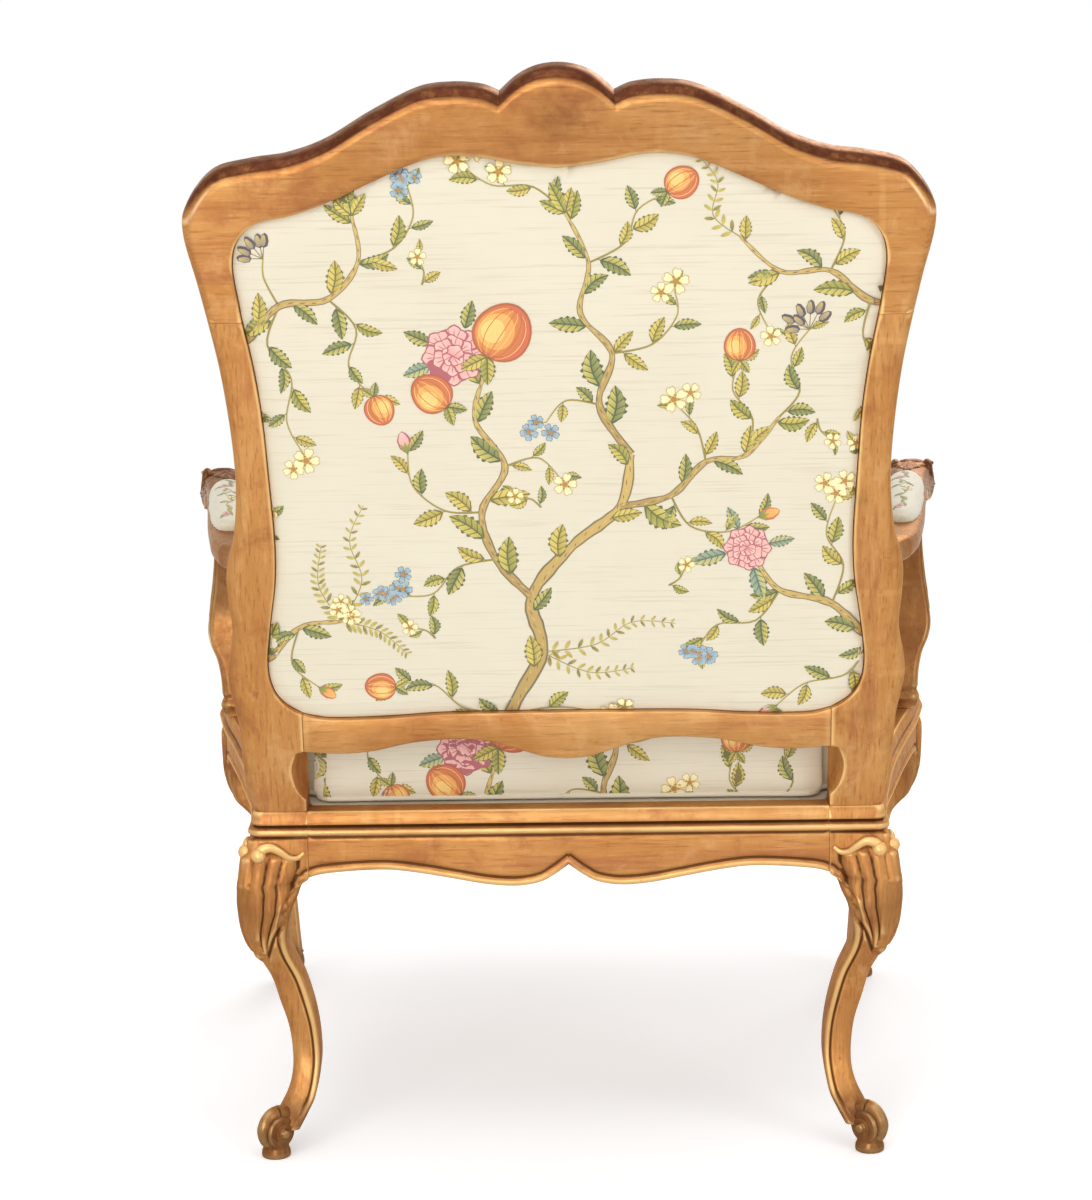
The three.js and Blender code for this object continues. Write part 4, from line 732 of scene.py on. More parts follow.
def stile_skin():
    outer_line = through(in_back(STILE_OUTER), 300)
    inner_line = np.concatenate([through(in_back(OPENING_SIDE), 300), [[REAR_SPAN, 0.0]]])
    joint = CREST_JOINT * BACK_HEIGHT
    s = np.unique(np.concatenate([np.linspace(0, 0.12, 100), np.linspace(0.12, joint, 170)]))[::-1]
    outer = np.stack([np.interp(-s, -outer_line[:, 1], outer_line[:, 0]), s], 1)
    inner = np.stack([np.interp(-s, -inner_line[:, 1], inner_line[:, 0]), s], 1)
    rebate = eased(s, 0.096, 0.112)
    rim = through(in_back(SCOOP), 80)
    bite = np.interp(s, rim[::-1, 1], rim[::-1, 0] - REAR_SPAN, left=0, right=0)
    rings = frame_rings(outer, inner, rebate)
    forwards = np.array([n for _, _, n in FRAME_SECTION]) * 0.001
    for k, (side, _, n) in enumerate(FRAME_SECTION):
        if side == "in" and n < 32:
            rings[:, k, 0] += bite * math.sqrt(1 - (n * 0.001 / SCOOP_DEPTH) ** 2)
    drop = (1 - eased(s, 0, 0.02))[:, None] * forwards[None, :] * math.tan(BACK_LEAN)
    rings[..., 1] -= drop * math.sin(BACK_LEAN)
    rings[..., 2] -= drop * math.cos(BACK_LEAN)
    return skin(rings)


def wear_legs(made):
    """Red ground shows on the feet and on the knee leaf, where brooms and hands rub; the moulding is darker
    along its grooves.
    """
    z = points_of(made)[:, 2]
    knee = 0.34 * np.exp(-(((z - 0.240) / 0.034) ** 2)) * (z < RAIL_TOP - 0.030)
    mark(made, "rubbed_and_painted_light", 0.72 * (1 - eased(z, 0.036, 0.062)) + knee + moulding_grooves_darkened(z))


def moulding_grooves_darkened(z):
    """Darker red-brown along the two grooves of the rail's moulding, and faintly over its bead, by height.
    """
    drop = (RAIL_TOP - z) * 1000
    wear = 0.5 * np.exp(-(((drop - 14) / 1.6) ** 2)) + 0.42 * np.exp(-(((drop - 25) / 1.8) ** 2))
    return wear * (z < RAIL_TOP + 0.001) + 0.16 * (np.abs(drop - 19) < 4)


POST_FRONT = SEAT_REAR - POST_DEPTH
rear_leg = leg_skin(POST_WIDTH, POST_DEPTH, REAR_KNEE, REAR_LEG, 1, REAR_SPAN, POST_FRONT, REAR_APRON_END)
rear_toe = (REAR_SPAN + 0.74 * POST_WIDTH, POST_FRONT + 1.32 * POST_DEPTH)
rear_face = SEAT_REAR + 0.006
rear_scroll = knee_scroll([
    (0.2930, rear_face + 0.0035, 0.2970), (0.2890, rear_face + 0.0040, 0.3030),
    (0.2810, rear_face + 0.0035, 0.3045), (0.2730, rear_face + 0.0020, 0.3000),
    (0.2650, rear_face - 0.0005, 0.2935), (0.2570, rear_face - 0.0030, 0.2925),
    (0.2510, rear_face - 0.0048, 0.2970),
], (0, 1, 0), 0.0058)
outer_face = REAR_SPAN + POST_WIDTH + 0.006
side_scroll = knee_scroll([
    (outer_face + 0.0015, SEAT_REAR - 0.005, 0.2970), (outer_face + 0.0020, SEAT_REAR - 0.010, 0.3030),
    (outer_face + 0.0010, SEAT_REAR - 0.018, 0.3045),
    (outer_face - 0.0010, SEAT_REAR - 0.026, 0.2990), (outer_face - 0.004, SEAT_REAR - 0.034, 0.2930),
    (outer_face - 0.007, SEAT_REAR - 0.041, 0.2960),
], (1, 0, 0), 0.0056)
post = joined(stile_skin(), rear_leg, scroll_foot(*rear_toe, 1), rear_scroll, side_scroll)
for side, shape in on_both_sides(post):
    rear_post = piece("rear_post_%s_carved" % side, *shape)
    mark_hollows(rear_post)
    wear_legs(rear_post)
    dress(rear_post, gilding_upright, "gilding", "rear_post_" + side)

# Lower back rail
# A thinner rail between the stiles, flush with them at the rear. Its lower edge is sawn to a long
# wave and its arrises are softened. A tenon at each end goes into a stile.
LOWER_RAIL_FOOT = [
    (1, 0.085), (0.862, 0.082), (0.741, 0.085), (0.577, 0.097), (0.405, 0.101), (0.283, 0.096),
    (0.157, 0.082), (0.081, 0.074), (0, 0.071),
]
OPENING_FOOT = [(1, 0.139), (0.899, 0.132), (0.684, 0.133), (0.441, 0.138), (0, 0.139)]
LOWER_RAIL_SECTION = [
    ("low", 3.2, 0), ("low", 1.8, 0.4), ("low", 0.7, 1.3), ("low", 0, 3), ("low", 0, 21.5),
    ("low", 0.8, 23.2), ("low", 2.5, 24), ("high", 1.5, 24), ("high", 0.3, 23.4), ("high", 0, 22),
    ("high", 0, 1.2), ("high", 0.4, 0.4), ("high", 1.2, 0),
]
foot_line = through(in_back(LOWER_RAIL_FOOT), 200)[::-1]
top_line = through(in_back(OPENING_FOOT), 200)[::-1]
x = np.linspace(-REAR_SPAN + FIT, REAR_SPAN - FIT, 241)
low = np.interp(np.abs(x), foot_line[:, 0], foot_line[:, 1])
high = np.interp(np.abs(x), top_line[:, 0], top_line[:, 1])
rings = [
    on_back(x, low + way * 0.001 if edge == "low" else high - way * 0.001, n * 0.001)
    for edge, way, n in LOWER_RAIL_SECTION
]
lower_back_rail = piece("lower_back_rail_shaped", *skin(np.stack(rings, 1)))
mark_hollows(lower_back_rail)
dress(lower_back_rail, gilding_level, "gilding", "lower_back_rail")

# Seat rails
# Four moulded rails with a sawn and beaded lower edge. Their tops are rebated on the inside for
# the webbing. The side rails widen towards the front, and the front rail bows forwards.
FRONT_SPAN = 0.326
FRONT_LEG_WIDTH = 0.052
FRONT_LEG_DEPTH = 0.054
RAIL_THICKNESS = 0.038
REAR_HALF = REAR_SPAN + POST_WIDTH
FRONT_HALF = FRONT_SPAN + FRONT_LEG_WIDTH
SEAT_FRONT = -0.334 + chair_shift
FRONT_LEG_REAR = -0.264 + chair_shift
SIDE_RUN = POST_FRONT - FRONT_LEG_REAR
FRONT_BOW = 0.021
WELL_DEPTH = 0.014
WELL_LEDGE = 0.014
SIDE_LINE = [(0, 0), (0.2, 0.13), (0.42, 0.32), (0.64, 0.58), (0.82, 0.82), (1, 1)]
FRONT_LINE = [(0, 0), (0.34, 0.19), (0.68, 0.71), (1, 1)]
REAR_APRON = [
    (0, 0.733), (0.057, 0.867), (0.113, 0.96), (0.202, 1.005), (0.312, 0.98), (0.445, 0.9),
    (0.567, 0.827), (0.688, 0.777), (0.81, 0.782), (0.923, 0.812), (0.968, 0.836), (1, 0.868),
]
SIDE_APRON = [(0, 0.95), (0.08, 0.86), (0.22, 0.79), (0.5, 0.85), (0.78, 0.79), (0.92, 0.86), (1, 0.95)]
FRONT_APRON = [
    (0, 1.22), (0.1, 1.16), (0.2, 0.98), (0.4, 0.88), (0.62, 0.8), (0.82, 0.79), (0.93, 0.86), (1, 0.95),
]


def rail_skin(plan, drops):
    """A moulded rail along the plan of its face, with the drop of its lower edge at each point."""
    plan = np.array(plan)
    run = np.gradient(plan, axis=0)
    outwards = right_of(run)
    foot = RAIL_TOP - np.asarray(drops) * RAIL_HEIGHT
    # The bead is measured square to the lower edge, so it keeps its width where the edge is steep.
    slope = np.gradient(foot) / np.linalg.norm(run, axis=1)
    steep = np.sqrt(1 + slope**2)
    section = [(RAIL_TOP - drop * 0.001, out * 0.001) for drop, out in RAIL_MOULDING]
    rows = [(np.full(len(plan), z), out) for z, out in section]
    bead_top = foot + 0.0125 * steep
    for part in np.linspace(0, 1, 9)[1:-1]:
        rows.append(((RAIL_TOP - 0.0275) * (1 - part) + bead_top * part, 0))
    for way, out in EDGE_BEAD[::-1]:
        rows.append((foot + way * 0.001 * steep, out * 0.001))
    inner_top = RAIL_TOP - WELL_DEPTH
    rows += [(foot, -0.004), (foot, -RAIL_THICKNESS + 0.003), (foot + 0.003, -RAIL_THICKNESS)]
    rows += [(np.full(len(plan), z), out) for z, out in (
        (inner_top, -RAIL_THICKNESS), (inner_top, -RAIL_THICKNESS + WELL_LEDGE),
        (RAIL_TOP - 0.001, -RAIL_THICKNESS + WELL_LEDGE),
        (RAIL_TOP, -RAIL_THICKNESS + WELL_LEDGE + 0.001),
    )]
    rows.append((np.full(len(plan), RAIL_TOP), -0.0025))
    rings = [
        np.stack([plan[:, 0] + outwards[:, 0] * out, plan[:, 1] + outwards[:, 1] * out, z], 1)
        for z, out in rows
    ]
    return skin(np.stack(rings, 1))


end = REAR_SPAN - FIT
x = np.linspace(end, -end, 321)
apron = through(REAR_APRON, 300)
rear_drops = np.interp(np.abs(x) / end, apron[:, 0], apron[:, 1])
rear_rail = rail_skin(np.stack([x, np.full_like(x, SEAT_REAR)], 1), rear_drops)

side_line = through(SIDE_LINE, 300)


def side_out(t):
    """How far out the side rail's face lies at a share of its run forwards."""
    return REAR_HALF + np.interp(t, side_line[:, 0], side_line[:, 1]) * (FRONT_HALF - REAR_HALF)


t = np.linspace(0.0006, 0.9994, 281)
apron = through(SIDE_APRON, 300)
side_plan = np.stack([side_out(t), POST_FRONT - t * SIDE_RUN], 1)[::-1]
side_rail = rail_skin(side_plan, np.interp(t, apron[:, 0], apron[:, 1])[::-1])

front_line = through(FRONT_LINE, 300)
end = FRONT_SPAN - FIT
x = np.linspace(-end, end, 361)
front_y = SEAT_FRONT + np.interp(np.abs(x) / FRONT_SPAN, front_line[:, 0], front_line[:, 1]) * FRONT_BOW
apron = through(FRONT_APRON, 300)
front_rail = rail_skin(np.stack([x, front_y], 1), np.interp(np.abs(x) / end, apron[:, 0], apron[:, 1]))

for name, shape in (
    ("rear_seat_rail", rear_rail), ("side_seat_rail_right", side_rail),
    ("side_seat_rail_left", mirrored(side_rail)), ("front_seat_rail", front_rail),
):
    rail = piece(name + "_moulded", *shape)
    mark_hollows(rail)
    mark(rail, "rubbed_and_painted_light", moulding_grooves_darkened(points_of(rail)[:, 2]))
    dress(rail, gilding_level, "gilding", name)

# Front legs
# Carved cabriole legs like the rear ones, but upright and more slender. Both rails are tenoned
# into the block at the top.
FRONT_LEG = [
    [0.927, 0.03, 1.05, 0.03, 1.11], [0.87, 0.02, 0.97, 0.01, 1.02], [0.828, -0.02, 0.86, -0.02, 0.92],
    [0.797, -0.06, 0.68, -0.05, 0.8], [0.763, -0.09, 0.52, -0.07, 0.7], [0.71, -0.13, 0.44, -0.09, 0.61],
    [0.649, -0.18, 0.38, -0.12, 0.54], [0.553, -0.27, 0.3, -0.17, 0.47], [0.45, -0.34, 0.22, -0.2, 0.41],
    [0.344, -0.38, 0.16, -0.19, 0.38], [0.267, -0.4, 0.15, -0.13, 0.44],
    [0.198, -0.41, 0.14, -0.02, 0.56], [0.153, -0.41, 0.14, 0.11, 0.7], [0.099, -0.39, 0.14, 0.31, 0.87],
]
FRONT_KNEE = [[0.35, 0, 1.05, 1.06], [0.62, 0, 1.1, 1.13], [1, 0, 1.1, 1.16]]
front_leg_skin = leg_skin(
    FRONT_LEG_WIDTH, FRONT_LEG_DEPTH, FRONT_KNEE, FRONT_LEG, -1, FRONT_SPAN, FRONT_LEG_REAR, APRON_END,
)
front_toe = (FRONT_SPAN - 0.11 * FRONT_LEG_WIDTH, FRONT_LEG_REAR - 0.68 * FRONT_LEG_DEPTH)
shape = joined(front_leg_skin, scroll_foot(*front_toe, -1))
for side, shape in on_both_sides(shape):
    front_leg = piece("front_leg_%s_carved" % side, *shape)
    mark_hollows(front_leg)
    wear_legs(front_leg)
    dress(front_leg, gilding_upright, "gilding", "front_leg_" + side)

# Arms
# Shaped arms that leave the stiles narrow, swing outwards and end in a rolled knuckle. A carved
# leaf lies behind each knuckle, and a stuffed pad is let into the top.
ARM_HEIGHT = 0.580
ARM_HALF_WIDTH = 0.022
ARM_HALF_HEIGHT = 0.016
ARM_OUT = FRONT_HALF - 0.013
ARM_FRONT = -0.212 + chair_shift
ARM_RUN = POST_FRONT - ARM_FRONT
ARM_ROOT_DROP = 0.004
# Shares of the run forwards, the way out, the drop at the root, the half width and half height.
ARM_LINE = [
    [0, 0.22, 1, 0.66, 0.75], [0.1, 0.33, 1.2, 0.82, 0.7], [0.23, 0.42, 1.3, 0.91, 0.68],
    [0.35, 0.5, 1.2, 0.98, 0.68], [0.47, 0.58, 1, 1, 0.68], [0.6, 0.66, 0.7, 1.02, 0.7],
    [0.72, 0.75, 0.3, 1.02, 0.78], [0.85, 0.85, 0, 1.02, 0.92], [0.92, 0.925, 0, 1.05, 0.98],
    [0.97, 0.97, 0.1, 1.07, 0.95], [1, 1, 0.5, 1, 0.86],
]
KNUCKLE = np.array([ARM_OUT, ARM_FRONT + 0.007, ARM_HEIGHT - 0.002])


def arm_rows(steps=170):
    """Rows along an arm from its root: middle point, half width, half height, and lean."""
    rows = []
    for along, out, drop, wide, tall in through(ARM_LINE, steps):
        x = REAR_HALF + out * (ARM_OUT - REAR_HALF)
        z = ARM_HEIGHT - drop * ARM_ROOT_DROP
        rows.append([
            x, POST_FRONT - along * ARM_RUN, z, wide * ARM_HALF_WIDTH, tall * ARM_HALF_HEIGHT, 0,
        ])
    root_z = ARM_HEIGHT - ARM_ROOT_DROP
    root_y = POST_FRONT + (root_z - RAIL_TOP) * math.tan(BACK_LEAN)
    root = [REAR_HALF, root_y, root_z, 0.6 * ARM_HALF_WIDTH, 0.8 * ARM_HALF_HEIGHT, math.tan(BACK_LEAN)]
    bend = [REAR_HALF + 0.004, root_y - 0.02, root_z, 0.0136, 0.0126, 0.1]
    neck = through([root, bend, rows[0]], 24)[:-1]
    return np.concatenate([neck, rows])


def arm_skin():
    rings = []
    turns = np.linspace(0, 2 * np.pi, 56, endpoint=False)
    squared = lambda v: np.sign(v) * np.abs(v) ** 0.62
    side, up = squared(np.cos(turns)), squared(np.sin(turns))
    # A quirk runs along both sides, below the pad.
    quirk = 1 - 0.05 * np.exp(-(((np.sin(turns) - 0.28) / 0.09) ** 2))
    for x, y, z, wide, tall, lean in arm_rows():
        rings.append(np.stack([x + wide * side * quirk, y + tall * up * lean, z + tall * up], 1))
    return skin(rings)


def volute(centre, axis, start, radius, turns, thickness):
    """A raised spiral on the end of a roll, thick outside and thin at its eye."""
    axis = np.array(axis, float)
    side = unit(np.cross(axis, (0, 0, 1)))
    up = np.cross(side, axis)
    angle = start - np.linspace(0, turns * 2 * np.pi, 70)
    reach = np.linspace(radius, radius * 0.2, 70)
    path = np.array(centre) + reach[:, None] * (
        np.cos(angle)[:, None] * side + np.sin(angle)[:, None] * up
    )
    return swept(path, np.linspace(thickness, thickness * 0.6, 70), sides=8, facing=axis)


def relief_leaf(path, side, outwards, half_width, height, lobes=5):
    """A carved leaf with lobes and veins, lying along a path. Side and outwards point at each step."""
    path, side, outwards = (np.array(v, float) for v in (path, side, outwards))
    length = len(path)
    u = np.linspace(0, 1, length)
    outline = half_width * np.sin(np.pi * np.clip(0.12 + 0.88 * u, 0, 1)) ** 0.7 * (
        0.78 + 0.22 * np.abs(np.cos(lobes * np.pi * u))
    )
    across_share = np.linspace(-1, 1, 25)
    top, low = [], []
    for k in range(length):
        v = across_share
        veins = 0.35 * np.abs(np.cos(np.pi * (lobes * (u[k] - 0.35 * np.abs(v))))) ** 2
        rise = height * (
            np.sqrt(np.clip(1 - v**2, 0, 1)) * (0.55 + veins) + 0.35 * np.exp(-((v / 0.12) ** 2))
        )
        row = path[k] + side[k] * (v * outline[k])[:, None]
        top.append(row + outwards[k] * rise[:, None])
        low.append(row - outwards[k] * height * 0.8)
    rings = np.concatenate([np.array(top), np.array(low)[:, ::-1]], 1)
    return skin(rings)


def knuckle_roll():
    """The rolled end of an arm, turned across it, with a raised spiral on each side."""
    half = [
        (-24, 0.5), (-23.8, 3), (-22.6, 5), (-21.2, 5.6), (-20.6, 7), (-21.4, 9), (-21.8, 14), (-21.2, 18),
        (-19.6, 20.2), (-17.2, 21), (-14.8, 20.4), (-13.4, 19), (-12.4, 18.6), (-11, 19.6), (-6, 20.8),
        (0, 21),
    ]
    profile = half + [(-way, radius) for way, radius in half[-2::-1]]
    ends = [
        volute(KNUCKLE + np.array([sign * 0.0214, 0, 0]), (sign, 0, 0), 1.6, 0.0165, 1.4, 0.0021)
        for sign in (1, -1)
    ]
    return joined(turned(KNUCKLE, (1, 0, 0), profile, sides=56), *ends)


def arm_leaves():
    """The leaf that wraps the arm between knuckle and pad, on top and down both sides."""
    rows = arm_rows()
    shapes = []
    part = rows[-52:-6][::-1]
    u = np.linspace(0, 1, len(part))
    path = part[:, :3] + np.array([0, 0, 1]) * (part[:, 4:5] * (1.0 + 0.02 * np.sin(u * 6)[:, None]))
    sides = np.tile([1.0, 0, 0], (len(part), 1))
    ups = np.tile([0, 0, 1.0], (len(part), 1))
    shapes.append(relief_leaf(path, sides, ups, 0.017, 0.0024, lobes=4))
    for sign in (1, -1):
        part = rows[-72:-4][::-1]
        u = np.linspace(0, 1, len(part))
        path = part[:, :3] + np.stack(
            [sign * part[:, 3] * 0.99, 0 * u, -0.004 - 0.004 * np.sin(u * np.pi)], 1,
        )
        sides = np.tile([0, 0, 1.0], (len(part), 1))
        outs = np.tile([sign * 1.0, 0, 0], (len(part), 1))
        shapes.append(relief_leaf(path, sides, outs, 0.0115, 0.0030, lobes=5))
    return joined(*shapes)


arm_shape = joined(arm_skin(), knuckle_roll(), arm_leaves())
for side, shape in on_both_sides(arm_shape):
    arm = piece("arm_%s_carved" % side, *shape)
    mark_hollows(arm)
    forwards = POST_FRONT - points_of(arm)[:, 1]
    mark(arm, "rubbed_and_painted_light", 0.60 + 0.38 * eased(forwards, 0.55 * ARM_RUN, 0.9 * ARM_RUN))
    dress(arm, gilding_carved, "gilding", "arm_" + side)

# Arm supports
# Carved posts that rise from the side rails, bow forwards and meet the arms behind the knuckles.
# Each is tenoned at both ends and has a leaf carved down its outer face.
SUPPORT_WIDTH = 0.038
SUPPORT_DEPTH = 0.042
SUPPORT_REAR = -0.165 + chair_shift
BEAD_SHARE = 0.8
# Up the support: height share, then the inner, outer, front and rear sides.
SUPPORT_LINE = [
    [0, 1, 0, 1, 0], [0.1, 0.97, -0.02, 0.97, 0.02], [0.18, 0.93, -0.05, 0.97, 0.08],
    [0.26, 0.84, -0.15, 1.02, 0.2], [0.33, 0.7, -0.33, 1.1, 0.33], [0.4, 0.6, -0.4, 1.18, 0.44],
    [0.5, 0.6, -0.32, 1.2, 0.48], [0.6, 0.66, -0.22, 1.14, 0.4], [0.72, 0.68, -0.13, 0.94, 0.2],
    [0.84, 0.66, -0.08, 0.66, -0.12], [0.94, 0.66, -0.1, 0.47, -0.36], [1, 0.66, -0.16, 0.44, -0.45],
]
support_middle = SUPPORT_REAR - SUPPORT_DEPTH / 2
support_outer = side_out((POST_FRONT - support_middle) / SIDE_RUN) + 0.005
support_lean = ARM_OUT + 0.005 - support_outer
support_top = ARM_HEIGHT - ARM_HALF_HEIGHT - FIT
rings = []
for up, inner, outer, front, rear in through(SUPPORT_LINE, 190):
    z = RAIL_TOP + FIT + up * (support_top - RAIL_TOP - FIT)
    edge = support_outer + up * support_lean
    x_in, x_out = edge - inner * SUPPORT_WIDTH, edge - outer * SUPPORT_WIDTH
    y_front, y_rear = SUPPORT_REAR - front * SUPPORT_DEPTH, SUPPORT_REAR - rear * SUPPORT_DEPTH
    ring, marks = leg_ring(x_in, x_out, -y_rear, -y_front)
    along, outwards = way_round(ring)
    rear_edge, front_edge = along[marks[3]], along[marks[1]]
    lift = edge_bead(np.abs(along - rear_edge) / BEAD_SHARE) * (along < rear_edge + 0.002)
    lift = lift + edge_bead(np.abs(along - front_edge) / BEAD_SHARE) * (along > front_edge - 0.002)
    p = (along - along[marks[2]]) * 1000
    half = np.interp(up, [0.36, 0.42, 0.55, 0.7, 0.82, 0.9], [0, 9, 17, 15, 9, 0])
    if half > 0.5:
        share = np.clip(np.abs(p) / half, 0, 1)
        lift = np.where(
            share < 1, 0.0016 * (1 - share**4) + 0.001 * np.abs(np.cos(3.5 * np.pi * share)), lift,
        )
    foot_band = 0.0022 * np.exp(-(((z - RAIL_TOP - 0.012) / 0.004) ** 2)) - 0.0012 * np.exp(
        -(((z - RAIL_TOP - 0.020) / 0.0025) ** 2)
    )
    ring = ring + outwards * (lift + foot_band)[:, None]
    rings.append(np.stack([ring[:, 0], -ring[:, 1], np.full(len(ring), z)], 1))
support_shape = skin(rings)
for side, shape in on_both_sides(support_shape):
    support = piece("arm_support_%s_carved" % side, *shape)
    mark_hollows(support)
    mark(support, "rubbed_and_painted_light", np.full(len(support.data.vertices), 0.50))
    dress(support, gilding_carved, "gilding", "arm_support_" + side)

# Carved ornament
# Leaves and a flower, carved in relief and gilded with the rest: a cluster on the front of the
# crest and one at the middle of the front rail. The photograph doesn't show them.
def relief_flower(middle, side, up, outwards, radius, petals=5):
    """A carved flower with cupped petals round a domed eye."""
    middle, side, up, outwards = (np.array(v, float) for v in (middle, side, up, outwards))
    turns = np.linspace(0, 2 * np.pi, 80, endpoint=False)
    around = np.cos(turns)[:, None] * side + np.sin(turns)[:, None] * up
    rings = [middle - outwards * 0.004 + radius * 0.9 * around]
    for share, height in (
        (1, 0.0), (0.98, 0.0035), (0.86, 0.0046), (0.66, 0.0034), (0.42, 0.002), (0.32, 0.0022),
        (0.3, 0.0046), (0.2, 0.0066), (0.08, 0.0072),
    ):
        notches = 0.2 * share * (1 - np.abs(np.cos(petals * turns / 2)) ** 0.6) * (share > 0.35)
        rings.append(middle + (radius * share * (1 - notches))[:, None] * around + outwards * height)
    return skin(rings)


def carved_spray(place, leaves, flower):
    """Leaves along curved stems and one flower, on a surface given by place(across, up) and its way out."""
    parts = []
    for stem, width in leaves:
        stem = through(stem, 30)
        path = np.array([place(x, s)[0] for x, s in stem])
        out = np.array([place(x, s)[1] for x, s in stem])
        run = unit(np.gradient(path, axis=0))
        for sign in (1, -1):
            turned_path = path * [sign, 1, 1]
            turned_out = out * [sign, 1, 1]
            side = np.cross(run * [sign, 1, 1], turned_out)
            parts.append(relief_leaf(turned_path, side, turned_out, width, 0.0040, lobes=6))
    spot, out = place(*flower[:2])
    up = np.cross(out, (1, 0, 0))
    parts.append(relief_flower(spot, (1, 0, 0), unit(up), out, flower[2]))
    return joined(*parts)


back_out = on_back(0, 0, 1) - on_back(0, 0, 0)


def on_crest(x, s):
    return on_back(x, s, 0.0375), back_out


crest_leaves = [
    ([(0.012, 0.668), (0.034, 0.656), (0.060, 0.651), (0.092, 0.661)], 0.0072),
    ([(0.008, 0.660), (0.018, 0.649), (0.034, 0.643), (0.050, 0.641)], 0.0045),
    ([(0.006, 0.682), (0.014, 0.691), (0.024, 0.692), (0.034, 0.685)], 0.0045),
]
spray = carved_spray(on_crest, crest_leaves, (0, 0.670, 0.0150))
crest_spray = piece("crest_carved_spray", *spray)
mark_hollows(crest_spray)
dress(crest_spray, gilding_carved, "gilding", "crest_rail")


def on_front_rail(x, z):
    bow = np.interp(abs(x) / FRONT_SPAN, *np.array(FRONT_LINE).T)
    slope = np.array([math.copysign(0.10, x) * min(abs(x) / 0.08, 1), -1, 0])
    return np.array([x, SEAT_FRONT + bow * FRONT_BOW + 0.0005, z]), unit(slope)


rail_leaves = [
    ([(0.012, 0.279), (0.036, 0.285), (0.066, 0.280), (0.094, 0.286)], 0.0070),
    ([(0.010, 0.272), (0.026, 0.266), (0.044, 0.268), (0.062, 0.265)], 0.0050),
]
spray = carved_spray(on_front_rail, rail_leaves, (0, 0.276, 0.0150))
front_rail_spray = piece("front_rail_carved_spray", *spray)
mark_hollows(front_rail_spray)
dress(front_rail_spray, gilding_carved, "gilding", "front_seat_rail")

# Corner blocks
# Plain beech blocks, sawn to fit the corners inside the rails, glued and screwed. Their edges are
# softened, and the rear ones stop above the rail's sawn edge, so that they don't show below it.
def plain_beech(name):
    """Planed beech with long streaks, short dark flecks and a dull surface."""
    material, tree, place = new_material(name)
    streaks = noise(tree, drawn_out(tree, place, (14, 14, 160)), 1.0, 6.0)
    flecks = noise(tree, drawn_out(tree, place, (120, 120, 900)), 1.0, 1.0)
    wood = mixed(tree, ramp(tree, streaks, 0.35, 0.7), (0.545, 0.335, 0.175, 1), (0.405, 0.220, 0.105, 1))
    wood = mixed(tree, ramp(tree, flecks, 0.62, 0.72, 0, 0.7), wood, (0.25, 0.12, 0.05, 1))
    return coated(material, {
        "Base Color": wood, "Roughness": 0.68, "Normal": bumped(tree, streaks, 0.2, 0.0005),
    })


beech = plain_beech("planed_beech")
REAR_BLOCK_FOOT = 0.2765
for corner in ("rear", "front"):
    for side in ("left", "right"):
        name = "%s_corner_block_%s" % (corner, side)
        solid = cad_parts[name]
        points = points_of(solid)
        if corner == "rear":
            points[:, 2] = np.maximum(points[:, 2], REAR_BLOCK_FOOT)
        block = piece(name + "_planed", points, [list(face.vertices) for face in solid.data.polygons], 30)
        bevel = block.modifiers.new("soft_edges", "BEVEL")
        bevel.width = 0.0012
        bevel.segments = 2
        bpy.ops.object.modifier_apply(modifier="soft_edges")
        dress(block, beech, "beech", name)

# Screws
# Slotted steel wood screws with domed heads and a cut thread: two through each corner block, and
# one through each arm support's tenon. The heads stand on the blocks' inner faces.
def screw_metal(name):
    """Dull grey steel, darker and browner where it has begun to rust."""
    material, tree, place = new_material(name)
    rust = noise(tree, place, 420.0, 5.0)
    steel = mixed(tree, ramp(tree, rust, 0.5, 0.66, 0, 0.8), (0.42, 0.41, 0.40, 1), (0.17, 0.09, 0.05, 1))
    return coated(material, {
        "Base Color": steel, "Metallic": 0.85, "Roughness": ramp(tree, rust, 0.4, 0.7, 0.32, 0.7),
        "Normal": bumped(tree, rust, 0.2, 0.0002),
    })


screw_steel = screw_metal("aged_screw_steel")
SCREW_HEAD = 0.0042
SCREW_SHANK = 0.0022
THREAD_PITCH = 0.0018


def wood_screw(head, way):
    """A domed head with a slot sunk in it, and a shank with a cut thread that ends in a point."""
    head, way = np.array(head, float), np.array(way, float)
    side = unit(np.cross(way, (0, 0, 1)))
    up = np.cross(side, way)
    turns = np.linspace(0, 2 * np.pi, 48, endpoint=False)
    spread = np.cos(turns)[:, None] * side + np.sin(turns)[:, None] * up
    slot_wall = np.abs(np.sin(turns)) * SCREW_HEAD
    rings = []
    for share, lift in (
        (0.06, 0), (0.14, 0), (0.5, 0.0001), (0.8, 0.0006), (0.95, 0.0013), (1, 0.0020), (1, 0.0030),
        (0.55, 0.0030),
    ):
        radius = SCREW_HEAD * share
        in_slot = (slot_wall * share < 0.0006) * (lift < 0.0015) * 0.0011
        rings.append(head + spread * radius + way * np.maximum(lift, in_slot)[:, None])
    for run in np.arange(0.0034, 0.0330, 0.00045):
        taper = min(1, (0.0335 - run) / 0.006) ** 0.7
        thread = 0.72 + 0.28 * (0.5 + 0.5 * np.cos(turns - run / THREAD_PITCH * 2 * np.pi)) ** 2
        if run <= 0.012:
            thread = np.full(48, 0.95)
        rings.append(head + spread * (SCREW_SHANK * taper * thread)[:, None] + way * run)
    rings.append(head + spread * 0.0001 + way * 0.034)
    return skin(np.array(rings))


